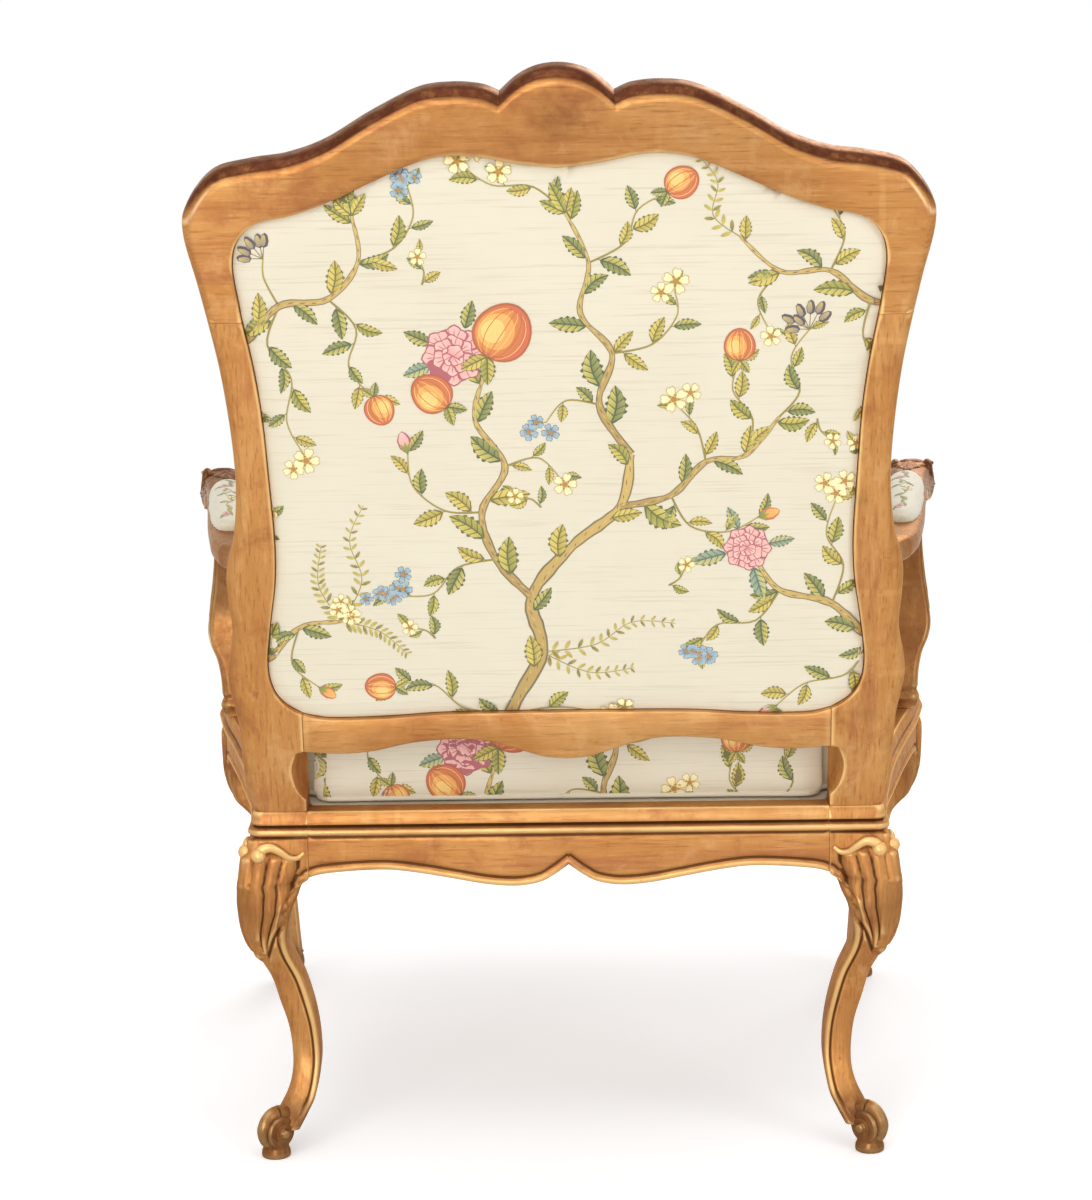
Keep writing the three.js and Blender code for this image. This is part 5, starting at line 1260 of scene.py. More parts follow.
for name, way in (
    ("rear_block_screw_back", (0, 1, 0)), ("rear_block_screw_side", (1, 0, 0)),
    ("front_block_screw_front", (0, -1, 0)), ("front_block_screw_side", (1, 0, 0)),
    ("arm_support_screw", (1, 0, 0)),
):
    low, high = (np.array(v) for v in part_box(name + "_right"))
    head = (low + high) / 2
    run = int(np.argmax(np.abs(way)))
    head[run] = low[run] if way[run] > 0 else high[run]
    shape = wood_screw(head, way)
    for side, screw_shape in on_both_sides(shape):
        screw = piece("%s_%s_slotted" % (name, side), *screw_shape)
        dress(screw, screw_steel, "screw_steel", "%s_%s" % (name, side))

# Seat webbing
# Woven jute straps with a darker stripe near each edge: four run front to back and four across,
# each over one and under the next. They are tacked on the ledge inside the rails.
def waves(tree, place, threads, distortion, directions, detail=2.0):
    """Threads across a piece, one pattern for each direction."""
    inputs = {"Vector": place, "Scale": threads, "Distortion": distortion, "Detail": detail}
    made = [
        node(tree, "ShaderNodeTexWave", inputs, bands_direction=direction) for direction in directions
    ]
    return [wave.outputs["Fac"] for wave in made]


def jute(name, threads, light, dark, stripe=None):
    """Coarse plain jute weave, with a darker stripe near the edges where the piece marks one."""
    material, tree, place = new_material(name)
    x_threads, y_threads, z_threads = waves(tree, place, threads, 0.8, "XYZ", 1.0)
    crossed = combined(tree, "MULTIPLY", x_threads, combined(tree, "MAXIMUM", y_threads, z_threads))
    fibres = combined(tree, "ADD", crossed, noise(tree, place, 300.0, 5.0))
    colour = mixed(tree, ramp(tree, fibres, 0.35, 1.3), dark, light)
    if stripe:
        colour = mixed(tree, marked(tree, "stripe"), colour, stripe)
    return coated(material, {
        "Base Color": colour, "Roughness": 0.88, "Normal": bumped(tree, fibres, 0.6, 0.0006),
    })


webbing = jute(
    "jute_webbing", 210.0, (0.46, 0.33, 0.18, 1), (0.20, 0.13, 0.065, 1), (0.24, 0.085, 0.045, 1),
)
STRAP_HALF = 0.0007
LENGTHWISE_LEVEL = 0.32475
CROSSWISE_LEVEL = 0.32495


def woven_strap(name, line, side, outwards, half_width, crossings, first_over):
    """A strap along a straight run that rises and dips past each strap that crosses it."""
    line = np.array(line, float)
    side, outwards = np.array(side, float), np.array(outwards, float)
    length = np.linalg.norm(line[1] - line[0])
    runs = np.linspace(0, 1, 90)
    wave = np.zeros(90)
    for k, crossing in enumerate(crossings):
        over = 1 if (k + first_over) % 2 == 0 else -1
        wave += over * np.exp(-(((runs * length - crossing) / 0.030) ** 4)) * 0.0008
    edges = np.array([-1, -0.99, -0.86, -0.78, -0.6, -0.3, 0, 0.3, 0.6, 0.78, 0.86, 0.99, 1])
    rings = []
    for run, rise in zip(runs, wave):
        middle = line[0] + (line[1] - line[0]) * run + outwards * rise
        thick = np.where(np.abs(edges) > 0.995, 0.3, 1) * STRAP_HALF
        top = middle + side * (edges * half_width)[:, None] + outwards * thick[:, None]
        low = middle + side * (edges * half_width)[:, None] - outwards * thick[:, None]
        rings.append(np.concatenate([top, low[::-1]]))
    made = piece(name, *skin(np.array(rings)), smooth_angle=40)
    apart = np.abs((points_of(made) - line[0]) @ side) / half_width
    mark(made, "stripe", 0.8 * ((apart > 0.76) & (apart < 0.88)))
    return made


def strap_sheet(made, node_name):
    """Gives a strap the webbing finish and hangs it on the frame, in place of its solid."""
    dress(made, webbing, "webbing", node_name)


for k in range(4):
    name = "seat_strap_lengthwise_%d" % (k + 1)
    low, high = (np.array(v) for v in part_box(name))
    middle = (low + high) / 2
    crossings = [
        np.mean([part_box("seat_strap_crosswise_%d" % j)[i][1] for i in (0, 1)]) - low[1]
        for j in (4, 3, 2, 1)
    ]
    line = [(middle[0], low[1], LENGTHWISE_LEVEL), (middle[0], high[1], LENGTHWISE_LEVEL)]
    strap = woven_strap(name + "_woven", line, (1, 0, 0), (0, 0, 1), (high[0] - low[0]) / 2, crossings, k)
    strap_sheet(strap, name)
for k in range(4):
    name = "seat_strap_crosswise_%d" % (k + 1)
    low, high = (np.array(v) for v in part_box(name))
    middle = (low + high) / 2
    crossings = [
        np.mean([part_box("seat_strap_lengthwise_%d" % j)[i][0] for i in (0, 1)]) - low[0]
        for j in (1, 2, 3, 4)
    ]
    line = [(low[0], middle[1], CROSSWISE_LEVEL), (high[0], middle[1], CROSSWISE_LEVEL)]
    strap = woven_strap(
        name + "_woven", line, (0, 1, 0), (0, 0, 1), (high[1] - low[1]) / 2, crossings, (k + 1) % 2,
    )
    strap_sheet(strap, name)

# Seat hessian
# A sheet of hessian over the webbing, stretched and tacked to the rails' ledge. It sags a little
# between the straps and shows from below.
hessian = jute("hessian", 330.0, (0.52, 0.39, 0.23, 1), (0.27, 0.18, 0.095, 1))


def edge_distance(points, outline):
    """How far points lie inside an outline, below 0 outside."""
    start, step = outline, np.roll(outline, -1, axis=0) - outline
    found = []
    for part in np.array_split(points, max(len(points) // 1500, 1)):
        way = part[:, None] - start
        t = np.clip((way * step).sum(axis=2) / np.maximum((step**2).sum(axis=1), 1e-12), 0, 1)
        nearest = np.linalg.norm(way - t[..., None] * step, axis=2).min(axis=1)
        above = start[:, 1] > part[:, 1:2]
        crosses = above != np.roll(above, -1, axis=1)
        level = np.where(step[:, 1] == 0, 1e-12, step[:, 1])
        left = part[:, 0:1] < start[:, 0] + step[:, 0] * way[..., 1] / level
        inside = (crosses & left).sum(axis=1) % 2 == 1
        found.append(np.where(inside, nearest, -nearest))
    return np.concatenate(found)


def area_in(outline):
    """The area in an outline, above 0 where it runs anticlockwise."""
    x, y = outline.T
    return float(np.sum(x * np.roll(y, -1) - y * np.roll(x, -1))) / 2


def inset(outline, distance):
    """The outline drawn in by a distance, or let out where it is below 0."""
    return outline - way_round(outline)[1] * distance * np.sign(area_in(outline))


def filled(outline, grid):
    """Triangles that fill an outline, with a grid of points inside it."""
    low, high = outline.min(axis=0), outline.max(axis=0)
    xs, ys = (np.arange(low[k] + grid / 2, high[k], grid) for k in (0, 1))
    inner = np.stack(np.meshgrid(xs, ys), -1).reshape(-1, 2)
    inner = inner[edge_distance(inner, outline) > grid * 0.35] if len(inner) else inner
    points = np.concatenate([outline, inner]) if len(inner) else outline
    loop = [(k, (k + 1) % len(outline)) for k in range(len(outline))]
    found = delaunay_2d_cdt([Vector(p) for p in points], loop, [], 1, 1e-7)
    return np.array([tuple(p) for p in found[0]]), [list(f) for f in found[2]]


def two_sided(over, under, faces, edge):
    """A thin sheet from its two sides, with as many points along its edge as edge says."""
    count = len(over)
    sides = [[k, (k + 1) % edge, (k + 1) % edge + count, k + count] for k in range(edge)]
    return np.concatenate([over, under]), faces + sides + [
        [i + count for i in reversed(f)] for f in faces
    ]


def well_outline():
    """The inner outline of the seat well, from the solid that closes it."""
    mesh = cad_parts["seat_deck"].data
    places = np.array([tuple(v.co) for v in mesh.vertices])
    level = places[places[:, 2] > places[:, 2].max() - 0.003][:, :2]
    turn = np.arctan2(level[:, 1] + 0.06, level[:, 0])
    found = []
    for a in np.linspace(-np.pi, np.pi, 241)[:-1]:
        near = np.abs((turn - a + np.pi) % (2 * np.pi) - np.pi) < 0.02
        if near.any():
            group = level[near] - [0, -0.06]
            found.append(level[near][np.argmax(np.linalg.norm(group, axis=1))])
    found = np.array(found)
    return found[np.linalg.norm(found - np.roll(found, 1, axis=0), axis=1) > 0.0015]


well = well_outline()
flat, faces = filled(inset(well, 0.0015), 0.014)
# The dips lie between the straps, 118 mm apart across the seat and 119 mm along it.
dips = 0.0006 * np.cos(flat[:, 0] * 2 * np.pi / 0.118) * np.cos(flat[:, 1] * 2 * np.pi / 0.119)
over, under = (np.column_stack([flat, level + dips]) for level in (0.32790, 0.32700))
seat_hessian = piece("seat_hessian_woven", *two_sided(over, under, faces, len(well)))
dress(seat_hessian, hessian, "hessian", "seat_hessian")

# Seat deck
# The flat stuffed platform under the loose cushion: a thin hair pad in plain cream cotton, a
# little crowned, rolled over at its edge.
def plain_cotton(name):
    """Unbleached cotton in a plain weave with soft mottling."""
    material, tree, place = new_material(name)
    weave = combined(tree, "MULTIPLY", *waves(tree, place, 420.0, 1.0, "XY"))
    soft = ramp(tree, noise(tree, place, 14.0, 4.0), 0.35, 0.7)
    return coated(material, {
        "Base Color": mixed(tree, soft, (0.72, 0.66, 0.53, 1), (0.60, 0.53, 0.40, 1)), "Roughness": 0.85,
        "Normal": bumped(tree, weave, 0.4, 0.0004),
    })


cotton = plain_cotton("unbleached_cotton")
well_middle = well.mean(axis=0)
rings = []
for share, height in (
    (0.1, 0.3284), (0.6, 0.3284), (0.9, 0.3284), (0.985, 0.3288), (0.997, 0.3304), (1, 0.3326),
    (0.996, 0.3346), (0.985, 0.3358), (0.95, 0.3364), (0.85, 0.3367), (0.6, 0.3369), (0.3, 0.3370),
    (0.1, 0.3370),
):
    line = well_middle + (inset(well, 0.0012) - well_middle) * share
    rings.append(np.column_stack([line, np.full(len(line), height)]))
seat_deck = piece("seat_deck_cotton", *skin(np.array(rings)))
dress(seat_deck, cotton, "figured_cloth", "seat_deck")

# Back webbing and hessian
# Two upright straps and three level ones cross behind the stuffing of the back, with hessian in
# front of them. They are closed in by the inside pad and the outside cloth.
back_side = on_back(0, 1, 0) - on_back(0, 0, 0)
UPRIGHT_N, LEVEL_N = 0.0256, 0.0263
BACK_STRAP = 0.05
stations_across = (-0.079, 0.079)
levels = [0.30, 0.48, 0.66]
for k, x in enumerate(stations_across):
    name = "back_strap_upright_%d" % (k + 1)
    foot, head = ((corner[2] - on_back(0, 0, UPRIGHT_N)[2]) / back_side[2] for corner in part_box(name))
    line = [on_back(x, s, UPRIGHT_N) for s in (foot, head)]
    crossings = [share * BACK_HEIGHT - foot for share in levels]
    strap = woven_strap(name + "_woven", line, (1, 0, 0), -back_out, BACK_STRAP / 2, crossings, k)
    strap_sheet(strap, name)
for k, share in enumerate(levels):
    name = "back_strap_level_%d" % (k + 1)
    low, high = (np.array(v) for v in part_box(name))
    line = [on_back(x, share * BACK_HEIGHT, LEVEL_N) for x in (low[0], high[0])]
    crossings = [x - low[0] for x in stations_across]
    strap = woven_strap(name + "_woven", line, back_side, back_out, BACK_STRAP / 2, crossings, k)
    strap_sheet(strap, name)

# The opening of the back, inside the frame, as a line all round it.
opening_half = np.concatenate([
    through(in_back(CREST_FOOT), 150), through(in_back(OPENING_SIDE), 120)[1:],
    through(in_back(OPENING_FOOT), 60)[1:],
])
opening = np.concatenate([opening_half, opening_half[-2:0:-1] * [-1, 1]])
# How far the cloths go into the rebate.
TUCK = 0.0085
lining_edge = inset(opening, -TUCK)[::3]
flat, faces = filled(inset(lining_edge, 0.0005), 0.014)
away, near = (on_back(flat[:, 0], flat[:, 1], n) for n in (0.0280, 0.0288))
back_hessian = piece("back_hessian_woven", *two_sided(away, near, faces, len(lining_edge)))
dress(back_hessian, hessian, "hessian", "back_hessian")

# Outside back
# Cream figured silk stretched over the rear of the back and tucked into the rebate all round, with
# its edge rolled in where the frame begins. The silk has a fine ribbed ground with faint slubs, and
# its figures are woven over the ground, so they stand a hair's breadth above it.
def silk(name):
    """Cream silk with a fine ribbed weave, faint tan slubs and a soft sheen. Figures bring their dye."""
    material, tree, place = new_material(name)
    slub = noise(tree, drawn_out(tree, place, (11.0, 11.0, 520.0)), 1.0, 3.0, 0.55)
    ribs = node(tree, "ShaderNodeTexWave", {
        "Vector": place, "Scale": 330.0, "Distortion": 1.2, "Detail": 2.0,
    }, bands_direction="Z").outputs["Fac"]
    slubbed = ramp(tree, slub, 0.52, 0.74, 0, 0.70)
    ground = mixed(tree, slubbed, (0.735, 0.672, 0.522, 1), (0.610, 0.530, 0.385, 1))
    faded = ramp(tree, noise(tree, place, 9.0, 3.0), 0.3, 0.7, 0.0, 0.35)
    ground = mixed(tree, faded, ground, (0.93, 0.92, 0.88, 1), "MULTIPLY")
    dye = node(tree, "ShaderNodeAttribute", attribute_name="dye").outputs["Color"]
    threads = combined(tree, "ADD", ribs, noise(tree, place, 1400.0, 2.0))
    return coated(material, {
        "Base Color": mixed(tree, marked(tree, "figure"), ground, dye), "Roughness": 0.62,
        "Sheen Weight": 0.25, "Sheen Roughness": 0.4, "Normal": bumped(tree, threads, 0.25, 0.0004),
    })


silk_cloth = silk("cream_figured_silk")


# The silk is woven with a generic flowering-branch pattern, drawn here as flat shapes in mm on a
# 660 mm square. Each shape keeps its outline, two dye colours that run into each other, and a layer.
BARK = [(168, 136, 72), (204, 170, 92), (112, 94, 74)]
LEAF_DYES = [
    [(92, 94, 44), (176, 164, 70), (132, 134, 62)], [(112, 100, 44), (204, 182, 84), (164, 150, 66)],
    [(74, 84, 50), (150, 150, 78), (106, 116, 64)], [(84, 100, 84), (156, 172, 140), (118, 142, 118)],
]
PEACH_DYES = [(196, 98, 52), (226, 140, 66), (238, 182, 92), (206, 92, 66)]
PEACH_BUD = [PEACH_DYES[3], PEACH_DYES[1], PEACH_DYES[2]]
PINK_DYES = [(168, 82, 92), (220, 148, 146), (240, 190, 180)]
BLUE_DYES = [(70, 96, 118), (112, 146, 168), (158, 184, 196)]
STRAW_DYES = [(196, 158, 70), (240, 222, 150), (246, 236, 190)]
PLUM_DYES = [(78, 66, 74), (140, 124, 110), (196, 172, 96)]
dice = np.random.default_rng(11)


def turned_by(points, angle, size=1.0, at_place=(0, 0)):
    c, s = math.cos(angle), math.sin(angle)
    return np.asarray(points, float) @ np.array([[c, s], [-s, c]]) * size + at_place


def shape_on(drawing, outline, dye, layer, tip_dye=None, start=None, end=None):
    """Adds one flat shape, whose dye runs from its start to its end."""
    outline = np.asarray(outline, float)
    start = outline[0] if start is None else np.asarray(start, float)
    end = outline[len(outline) // 2] if end is None else np.asarray(end, float)
    drawing.append((outline, np.array(dye, float), np.array(tip_dye or dye, float), start, end, layer))


def round_shape(radius, squash=1.0, points=14, wobble=0.0):
    turns = np.linspace(0, 2 * np.pi, points, endpoint=False)
    reach = radius * (1 + wobble * dice.uniform(-1, 1, points))
    return np.stack([np.cos(turns) * reach, np.sin(turns) * reach * squash], 1)


def leaf_on(drawing, place, angle, length, width=0.42, dyes=None, layer=2, bend=0.0):
    """A toothed leaf: a dark ground, and on each side of the midrib a row of lighter lobes."""
    dark, light, middle = LEAF_DYES[dice.integers(0, 3)] if dyes is None else dyes
    half = length * width / 2
    t = np.linspace(0, 1, 25)
    swell = np.sin(np.pi * t**0.85) ** 0.8 * half
    teeth = 1 + 0.16 * np.where(np.arange(25) % 4 < 2, 1, -0.6) * np.sin(np.pi * t)
    spine = np.stack([t * length, bend * length * np.sin(np.pi * t)], 1)
    rim = np.concatenate([
        spine + np.stack([0 * t, swell * teeth], 1),
        (spine - np.stack([0 * t, swell * teeth], 1))[-2:0:-1],
    ])
    shape_on(drawing, turned_by(rim, angle, 1, place), dark, layer)
    lobes = 4 if length < 22 else 5
    inner = 0.05 * half + 0.35
    for side, dye, tip_dye in ((1, light, (214, 192, 92)), (-1, middle, light)):
        for k in range(lobes):
            a, b = 0.08 + 0.84 * k / lobes, 0.08 + 0.84 * (k + 1) / lobes - 0.035
            a_out, b_out = min(a + 0.12, 0.97), min(b + 0.13, 0.985)
            places = (a, 0), ((a + b) / 2, 0), (b, 0), (b_out, 0.86), (
                (a_out + b_out) / 2, 0.8944,
            ), (a_out, 0.86)
            lobe = []
            for u, far in places:
                reach = max(math.sin(math.pi * u**0.85) ** 0.8 * half * far, inner)
                lobe.append((u * length, bend * length * math.sin(math.pi * u) + side * reach))
            shape_on(drawing, turned_by(lobe, angle, 1, place), dye, layer + 1, tip_dye)


def two_edged(*upper):
    """A closed outline from its upper edge; the lower edge is its mirror image."""
    upper = np.array(upper, float)
    return np.concatenate([upper, upper[upper[:, 1] > 0][::-1] * [1, -1]])


def ribbon_on(drawing, line, widths, dye, layer, tip_dye=None):
    line = np.asarray(line, float)
    aside = right_of(np.gradient(line, axis=0)) * np.reshape(widths, (-1, 1)) / -2
    rim = np.concatenate([line + aside, (line - aside)[::-1]])
    shape_on(drawing, rim, dye, layer, tip_dye, line[0], line[-1])


def branch_on(drawing, points, thick, thin):
    """A gnarled branch with dark edges, a lighter body and short strokes of bark. Returns its line."""
    line = through(points, 8 * (len(points) - 1))
    t = np.linspace(0, 1, len(line))
    widths = thick + (thin - thick) * t
    knots = 1 + 0.13 * np.sin(t * 41 + thick) + 0.1 * dice.uniform(-1, 1, len(t))
    ribbon_on(drawing, line, widths * knots, BARK[2], 1, (120, 104, 62))
    ribbon_on(drawing, line, widths * knots * 0.72, BARK[0], 2, BARK[1])
    if thick > 3.2:
        fine = at(line, np.linspace(0, len(line) - 1, int(len(line) * 2.2)))
        for k in range(1, len(fine) - 3, 2):
            w = np.interp(k, [0, len(fine)], [thick, thin]) * 0.30
            step = fine[k + 1] - fine[k]
            way = unit(step)
            side = np.array([-way[1], way[0]])
            off = side * w * dice.uniform(-0.9, 0.5)
            a, b = fine[k] + off, fine[k] + off + way * dice.uniform(3, 6) + side * w * 0.4
            ribbon_on(
                drawing, [a, (a + b) / 2 + side * 0.2, b], [0.3, 0.9, 0.3],
                (212, 182, 104) if k % 4 == 1 else (104, 84, 66), 3,
            )
    return line


def twig_on(drawing, points, width=2.0):
    line = through(points, 6 * (len(points) - 1))
    ribbon_on(
        drawing, line, np.linspace(width, width * 0.6, len(line)), (138, 122, 52), 1, (170, 150, 70),
    )
    return line


def blossom_on(drawing, place, radius, dyes=STRAW_DYES, petals=5, layer=4):
    """An open flower with notched petals round a small centre."""
    turn, radius = dice.uniform(0, 2), radius * 1.25
    petal = two_edged((0.14, 0), (0.4, 0.27), (0.78, 0.36), (1.0, 0.2), (0.9, 0))
    for k in range(petals):
        angle = turn + k * 2 * math.pi / petals
        shape_on(drawing, turned_by(petal, angle, radius, place), dyes[0], layer)
        inner = turned_by(petal * 0.84 + [0.1, 0], angle, radius, place)
        shape_on(drawing, inner, dyes[1], layer + 1, dyes[2])
    shape_on(drawing, turned_by(round_shape(0.22, points=9), 0, radius, place), (178, 120, 44), layer + 2)
    for k in range(5):
        speck = turned_by([(0.34, 0)], turn + 0.6 + k * 1.257, radius, place)[0]
        shape_on(drawing, round_shape(0.05 * radius + 0.2, points=6) + speck, (150, 104, 40), layer + 2)


def peony_on(drawing, place, radius, dyes=PINK_DYES, layer=4):
    """A full flower: three rings of ruffled petals, each petal with a darker edge and streaks."""
    turns = np.linspace(-2.2, 2.2, 15)
    for ring, (reach, petals, size) in enumerate(((0.62, 8, 0.46), (0.36, 6, 0.4), (0.12, 4, 0.3))):
        ruffle = size * (1 + 0.12 * np.cos(turns * 5))
        petal = np.stack([reach + ruffle * np.cos(turns) * 0.9, ruffle * np.sin(turns)], 1)
        centre = petal.mean(axis=0)
        for k in range(petals):
            angle = k * 2 * math.pi / petals + ring * 0.5 + dice.uniform(-0.12, 0.12)
            here = lambda points: turned_by(points, angle, radius, place)
            shape_on(drawing, here(petal), dyes[0], layer + ring)
            inner, tip = here(centre + (petal - centre) * 0.84), here([centre * 1.6])[0]
            shape_on(drawing, inner, dyes[1], layer + ring, dyes[2], place, tip)
            for fan in (-0.35, 0, 0.35):
                streak = [(reach + far, fan * size * lean) for far, lean in (
                    (-0.1, 0.3), (size * 0.35, 1), (size * 0.62, 1.3),
                )]
                ribbon_on(drawing, here(streak), [0.3, 0.8, 0.3], dyes[0], layer + ring)


def peach_on(drawing, place, angle, radius, layer=4):
    """A round fruit with a cleft, shaded in bands from straw to red, under two small leaves."""
    radius = radius * 1.22
    here = lambda points: turned_by(points, angle, radius, place)
    turns = np.linspace(0, 2 * np.pi, 30, endpoint=False)
    c, s = np.cos(turns), np.sin(turns)
    rim = np.stack([c * (1 + 0.06 * c), s * (0.94 - 0.05 * c)], 1)
    shape_on(drawing, here(rim), (172, 84, 44), layer)
    low, high = here([(0, -1), (0, 1)])
    for k, (size, shift, dye, tip) in enumerate((
        (0.93, 0.0, PEACH_DYES[3], PEACH_DYES[0]), (0.80, 0.08, PEACH_DYES[0], PEACH_DYES[1]),
        (0.62, 0.17, PEACH_DYES[1], PEACH_DYES[2]), (0.40, 0.28, PEACH_DYES[2], (244, 208, 122)),
    )):
        shape_on(drawing, here(rim * size + [-shift * 0.3, shift]), dye, layer + 1 + k, tip, low, high)
    widths = 0.35 + 0.35 * np.sin(np.linspace(0, np.pi, 9))
    u = np.linspace(0.35, 2.8, 9)
    for k in range(7):
        seam = here(np.stack([0.9 * np.cos(u), (-0.75 + k * 0.25) * np.sin(u) * 0.95], 1))
        ribbon_on(drawing, seam, widths, (186, 92, 44) if k % 2 else (240, 196, 110), layer + 5)
    stalk = here([(-0.9, 0)])[0]
    for turn in (2.6, 3.7):
        leaf_on(drawing, stalk, angle + turn, radius * 0.95, 0.5, layer=layer + 6)


def bud_on(drawing, place, angle, length, dyes=PINK_DYES, layer=3):
    """A closed bud held by three sepals."""
    length = length * 1.35
    body = two_edged((0, 0), (0.25, 0.26), (0.6, 0.3), (0.88, 0.16), (1, 0))
    shape_on(drawing, turned_by(body, angle, length, place), dyes[0], layer)
    inner = turned_by(body * [0.9, 0.72] + [0.07, 0.02], angle, length, place)
    shape_on(drawing, inner, dyes[1], layer + 1, dyes[2])
    for turn in (-0.42, 0, 0.42):
        sepal = turned_by(two_edged((-0.08, 0), (0.2, 0.1), (0.52, 0)), angle + turn, length, place)
        shape_on(drawing, sepal, (108, 116, 48), layer + 2, (160, 152, 64))


def bells_on(drawing, place, count, spread, dyes=BLUE_DYES):
    """A loose cluster of small flowers."""
    for _ in range(count):
        spot = np.array(place) + dice.normal(0, spread, 2) * [1, 0.75]
        blossom_on(drawing, spot, dice.uniform(5.0, 7.2), dyes, layer=3)


def fern_on(drawing, points, leaflets=13, size=10.5, dyes=LEAF_DYES[1], layer=2):
    """A fine frond: a thin stem with paired slips that shorten to its tip."""
    line = twig_on(drawing, points, 1.0)
    slip = two_edged((0, 0), (0.35, 0.16), (0.75, 0.14), (1, 0))
    for k in range(leaflets):
        t = (k + 1.2) / (leaflets + 1)
        place, after = at(line, np.clip([t, t + 0.03], 0, 1) * (len(line) - 1))
        heading = math.atan2(*(after - place)[::-1])
        length = size * (1.15 - 0.6 * t)
        for side in (1, -1):
            dye = dyes[1] if (k + (side > 0)) % 3 else dyes[0]
            shape_on(drawing, turned_by(slip, heading + side * 0.95, length, place), dye, layer, dyes[2])


def berries_on(drawing, place, angle, count=7, dyes=PLUM_DYES, layer=4):
    """A spray of berries on short stalks."""
    place = np.array(place)
    berry = two_edged((-0.4, 0), (-0.2, 0.34), (0.3, 0.42), (0.85, 0.26), (1.05, 0))
    for k in range(count):
        turn = angle + (k - (count - 1) / 2) * 0.42 + dice.uniform(-0.1, 0.1)
        spot = place + dice.uniform(9, 19) * np.array([math.cos(turn), math.sin(turn)])
        ribbon_on(drawing, [place, (place + spot) / 2, spot], [0.8, 0.7, 0.6], (124, 108, 52), layer - 1)
        shape_on(drawing, turned_by(berry, turn, 9.6, spot), dyes[0], layer)
        inner = turned_by(berry * [0.8, 0.6] + [0.05, 0.1], turn, 9.6, spot)
        shape_on(drawing, inner, dyes[1], layer + 1, dyes[2])


def leafy(drawing, line, every, length, first=0.1, last=1.0):
    """Leaves set left and right along a line, smaller towards its tip."""
    run = np.linalg.norm(np.diff(line, axis=0), axis=1).sum()
    count = max(int(run * (last - first) / every), 1)
    for k in range(count + 1):
        t = first + (last - first) * k / count
        before, place, after = at(line, np.clip([t - 0.04, t, t + 0.04], 0, 1) * (len(line) - 1))
        way = after - before
        heading = math.atan2(way[1], way[0]) + (1 if k % 2 else -1) * 0.75 * dice.uniform(0.7, 1.25)
        stalk = place + 2.5 * np.array([math.cos(heading), math.sin(heading)])
        ribbon_on(drawing, [place, (place + stalk) / 2, stalk], [1.0, 0.8, 0.7], (124, 112, 50), 1)
        size = length * dice.uniform(1.15, 1.65) * (1.1 - 0.3 * t)
        width = dice.uniform(0.38, 0.52)
        leaf_on(drawing, stalk, heading, size, width, bend=dice.uniform(-0.12, 0.12))


def tip_leaves(drawing, line, length):
    """Three leaves that spread from the end of a line."""
    way = line[-1] - line[-2]
    heading = math.atan2(way[1], way[0])
    for turn, size in ((-0.7, 0.85), (0.65, 0.9), (0, 1.1)):
        leaf_on(drawing, line[-1], heading + turn, length * size * 1.4, layer=3)


def sprig_on(drawing, points, every, length):
    """A twig with leaves along it."""
    leafy(drawing, twig_on(drawing, points), every, length)


# The main tree leans up from the foot of the cloth towards the right, and forks.
figures = []
trunk = branch_on(
    figures, [(-42, -335), (-52, -270), (-22, -205), (-30, -150), (8, -100), (52, -62), (62, -12)], 15,
    8.5,
)
fork_left = branch_on(
    figures, [(-30, -150), (-62, -112), (-74, -66), (-52, -22), (-78, 22), (-70, 62)], 9.0, 3.6,
)
fork_right = branch_on(figures, [(52, -62), (98, -52), (130, -20), (166, -14), (196, 22)], 8.0, 3.2)
top_shoot = branch_on(figures, [(62, -12), (34, 36), (46, 84), (18, 122), (26, 168), (6, 214)], 8.0, 2.8)
low_right = branch_on(figures, [(330, -212), (282, -196), (246, -160), (198, -146), (176, -116)], 11, 4.0)
high_left = branch_on(
    figures, [(-330, 84), (-286, 96), (-250, 132), (-206, 138), (-178, 172), (-182, 214)], 9.5, 3.0,
)
high_right = branch_on(figures, [(330, 118), (276, 130), (240, 158), (196, 158), (160, 190)], 8.5, 2.8)
low_left = branch_on(figures, [(-330, -222), (-282, -214), (-246, -178), (-206, -172)], 9.0, 3.4)

for line, every, length in (
    (trunk, 58, 24), (fork_left, 34, 25), (fork_right, 30, 24), (top_shoot, 32, 23), (low_right, 36, 25),
    (high_left, 36, 24), (high_right, 34, 23), (low_left, 34, 23),
):
    leafy(figures, line, every, length, 0.12, 0.95)

peony_on(figures, (-96, 84), 27)
peach_on(figures, (-52, 104), 1.0, 23, layer=8)
peach_on(figures, (-116, 48), 2.4, 16, layer=8)
for turn in (0.4, 1.3, 2.7, 3.5):
    spot = turned_by([(26, 0)], turn, 1, (-92, 84))[0]
    leaf_on(figures, spot, turn, 27, 0.46, LEAF_DYES[3 if turn > 3 else 2])

sprig_on(figures, [(196, 22), (214, 46), (206, 78), (222, 104)], 19, 17)
berries_on(figures, (222, 104), 1.9)
sprig_on(figures, [(166, -14), (172, 20), (154, 48), (160, 76)], 20, 17)
peach_on(figures, (160, 90), 1.6, 12.5)
sprig = twig_on(figures, [(130, -20), (122, 12), (104, 34)])
blossom_on(figures, (101, 40), 10)
blossom_on(figures, (116, 46), 8)
leafy(figures, sprig, 18, 14)
sprig_on(figures, [(98, -52), (116, -82), (150, -88), (178, -74)], 17, 17)
bud_on(figures, (178, -74), 0.3, 15, PEACH_BUD)

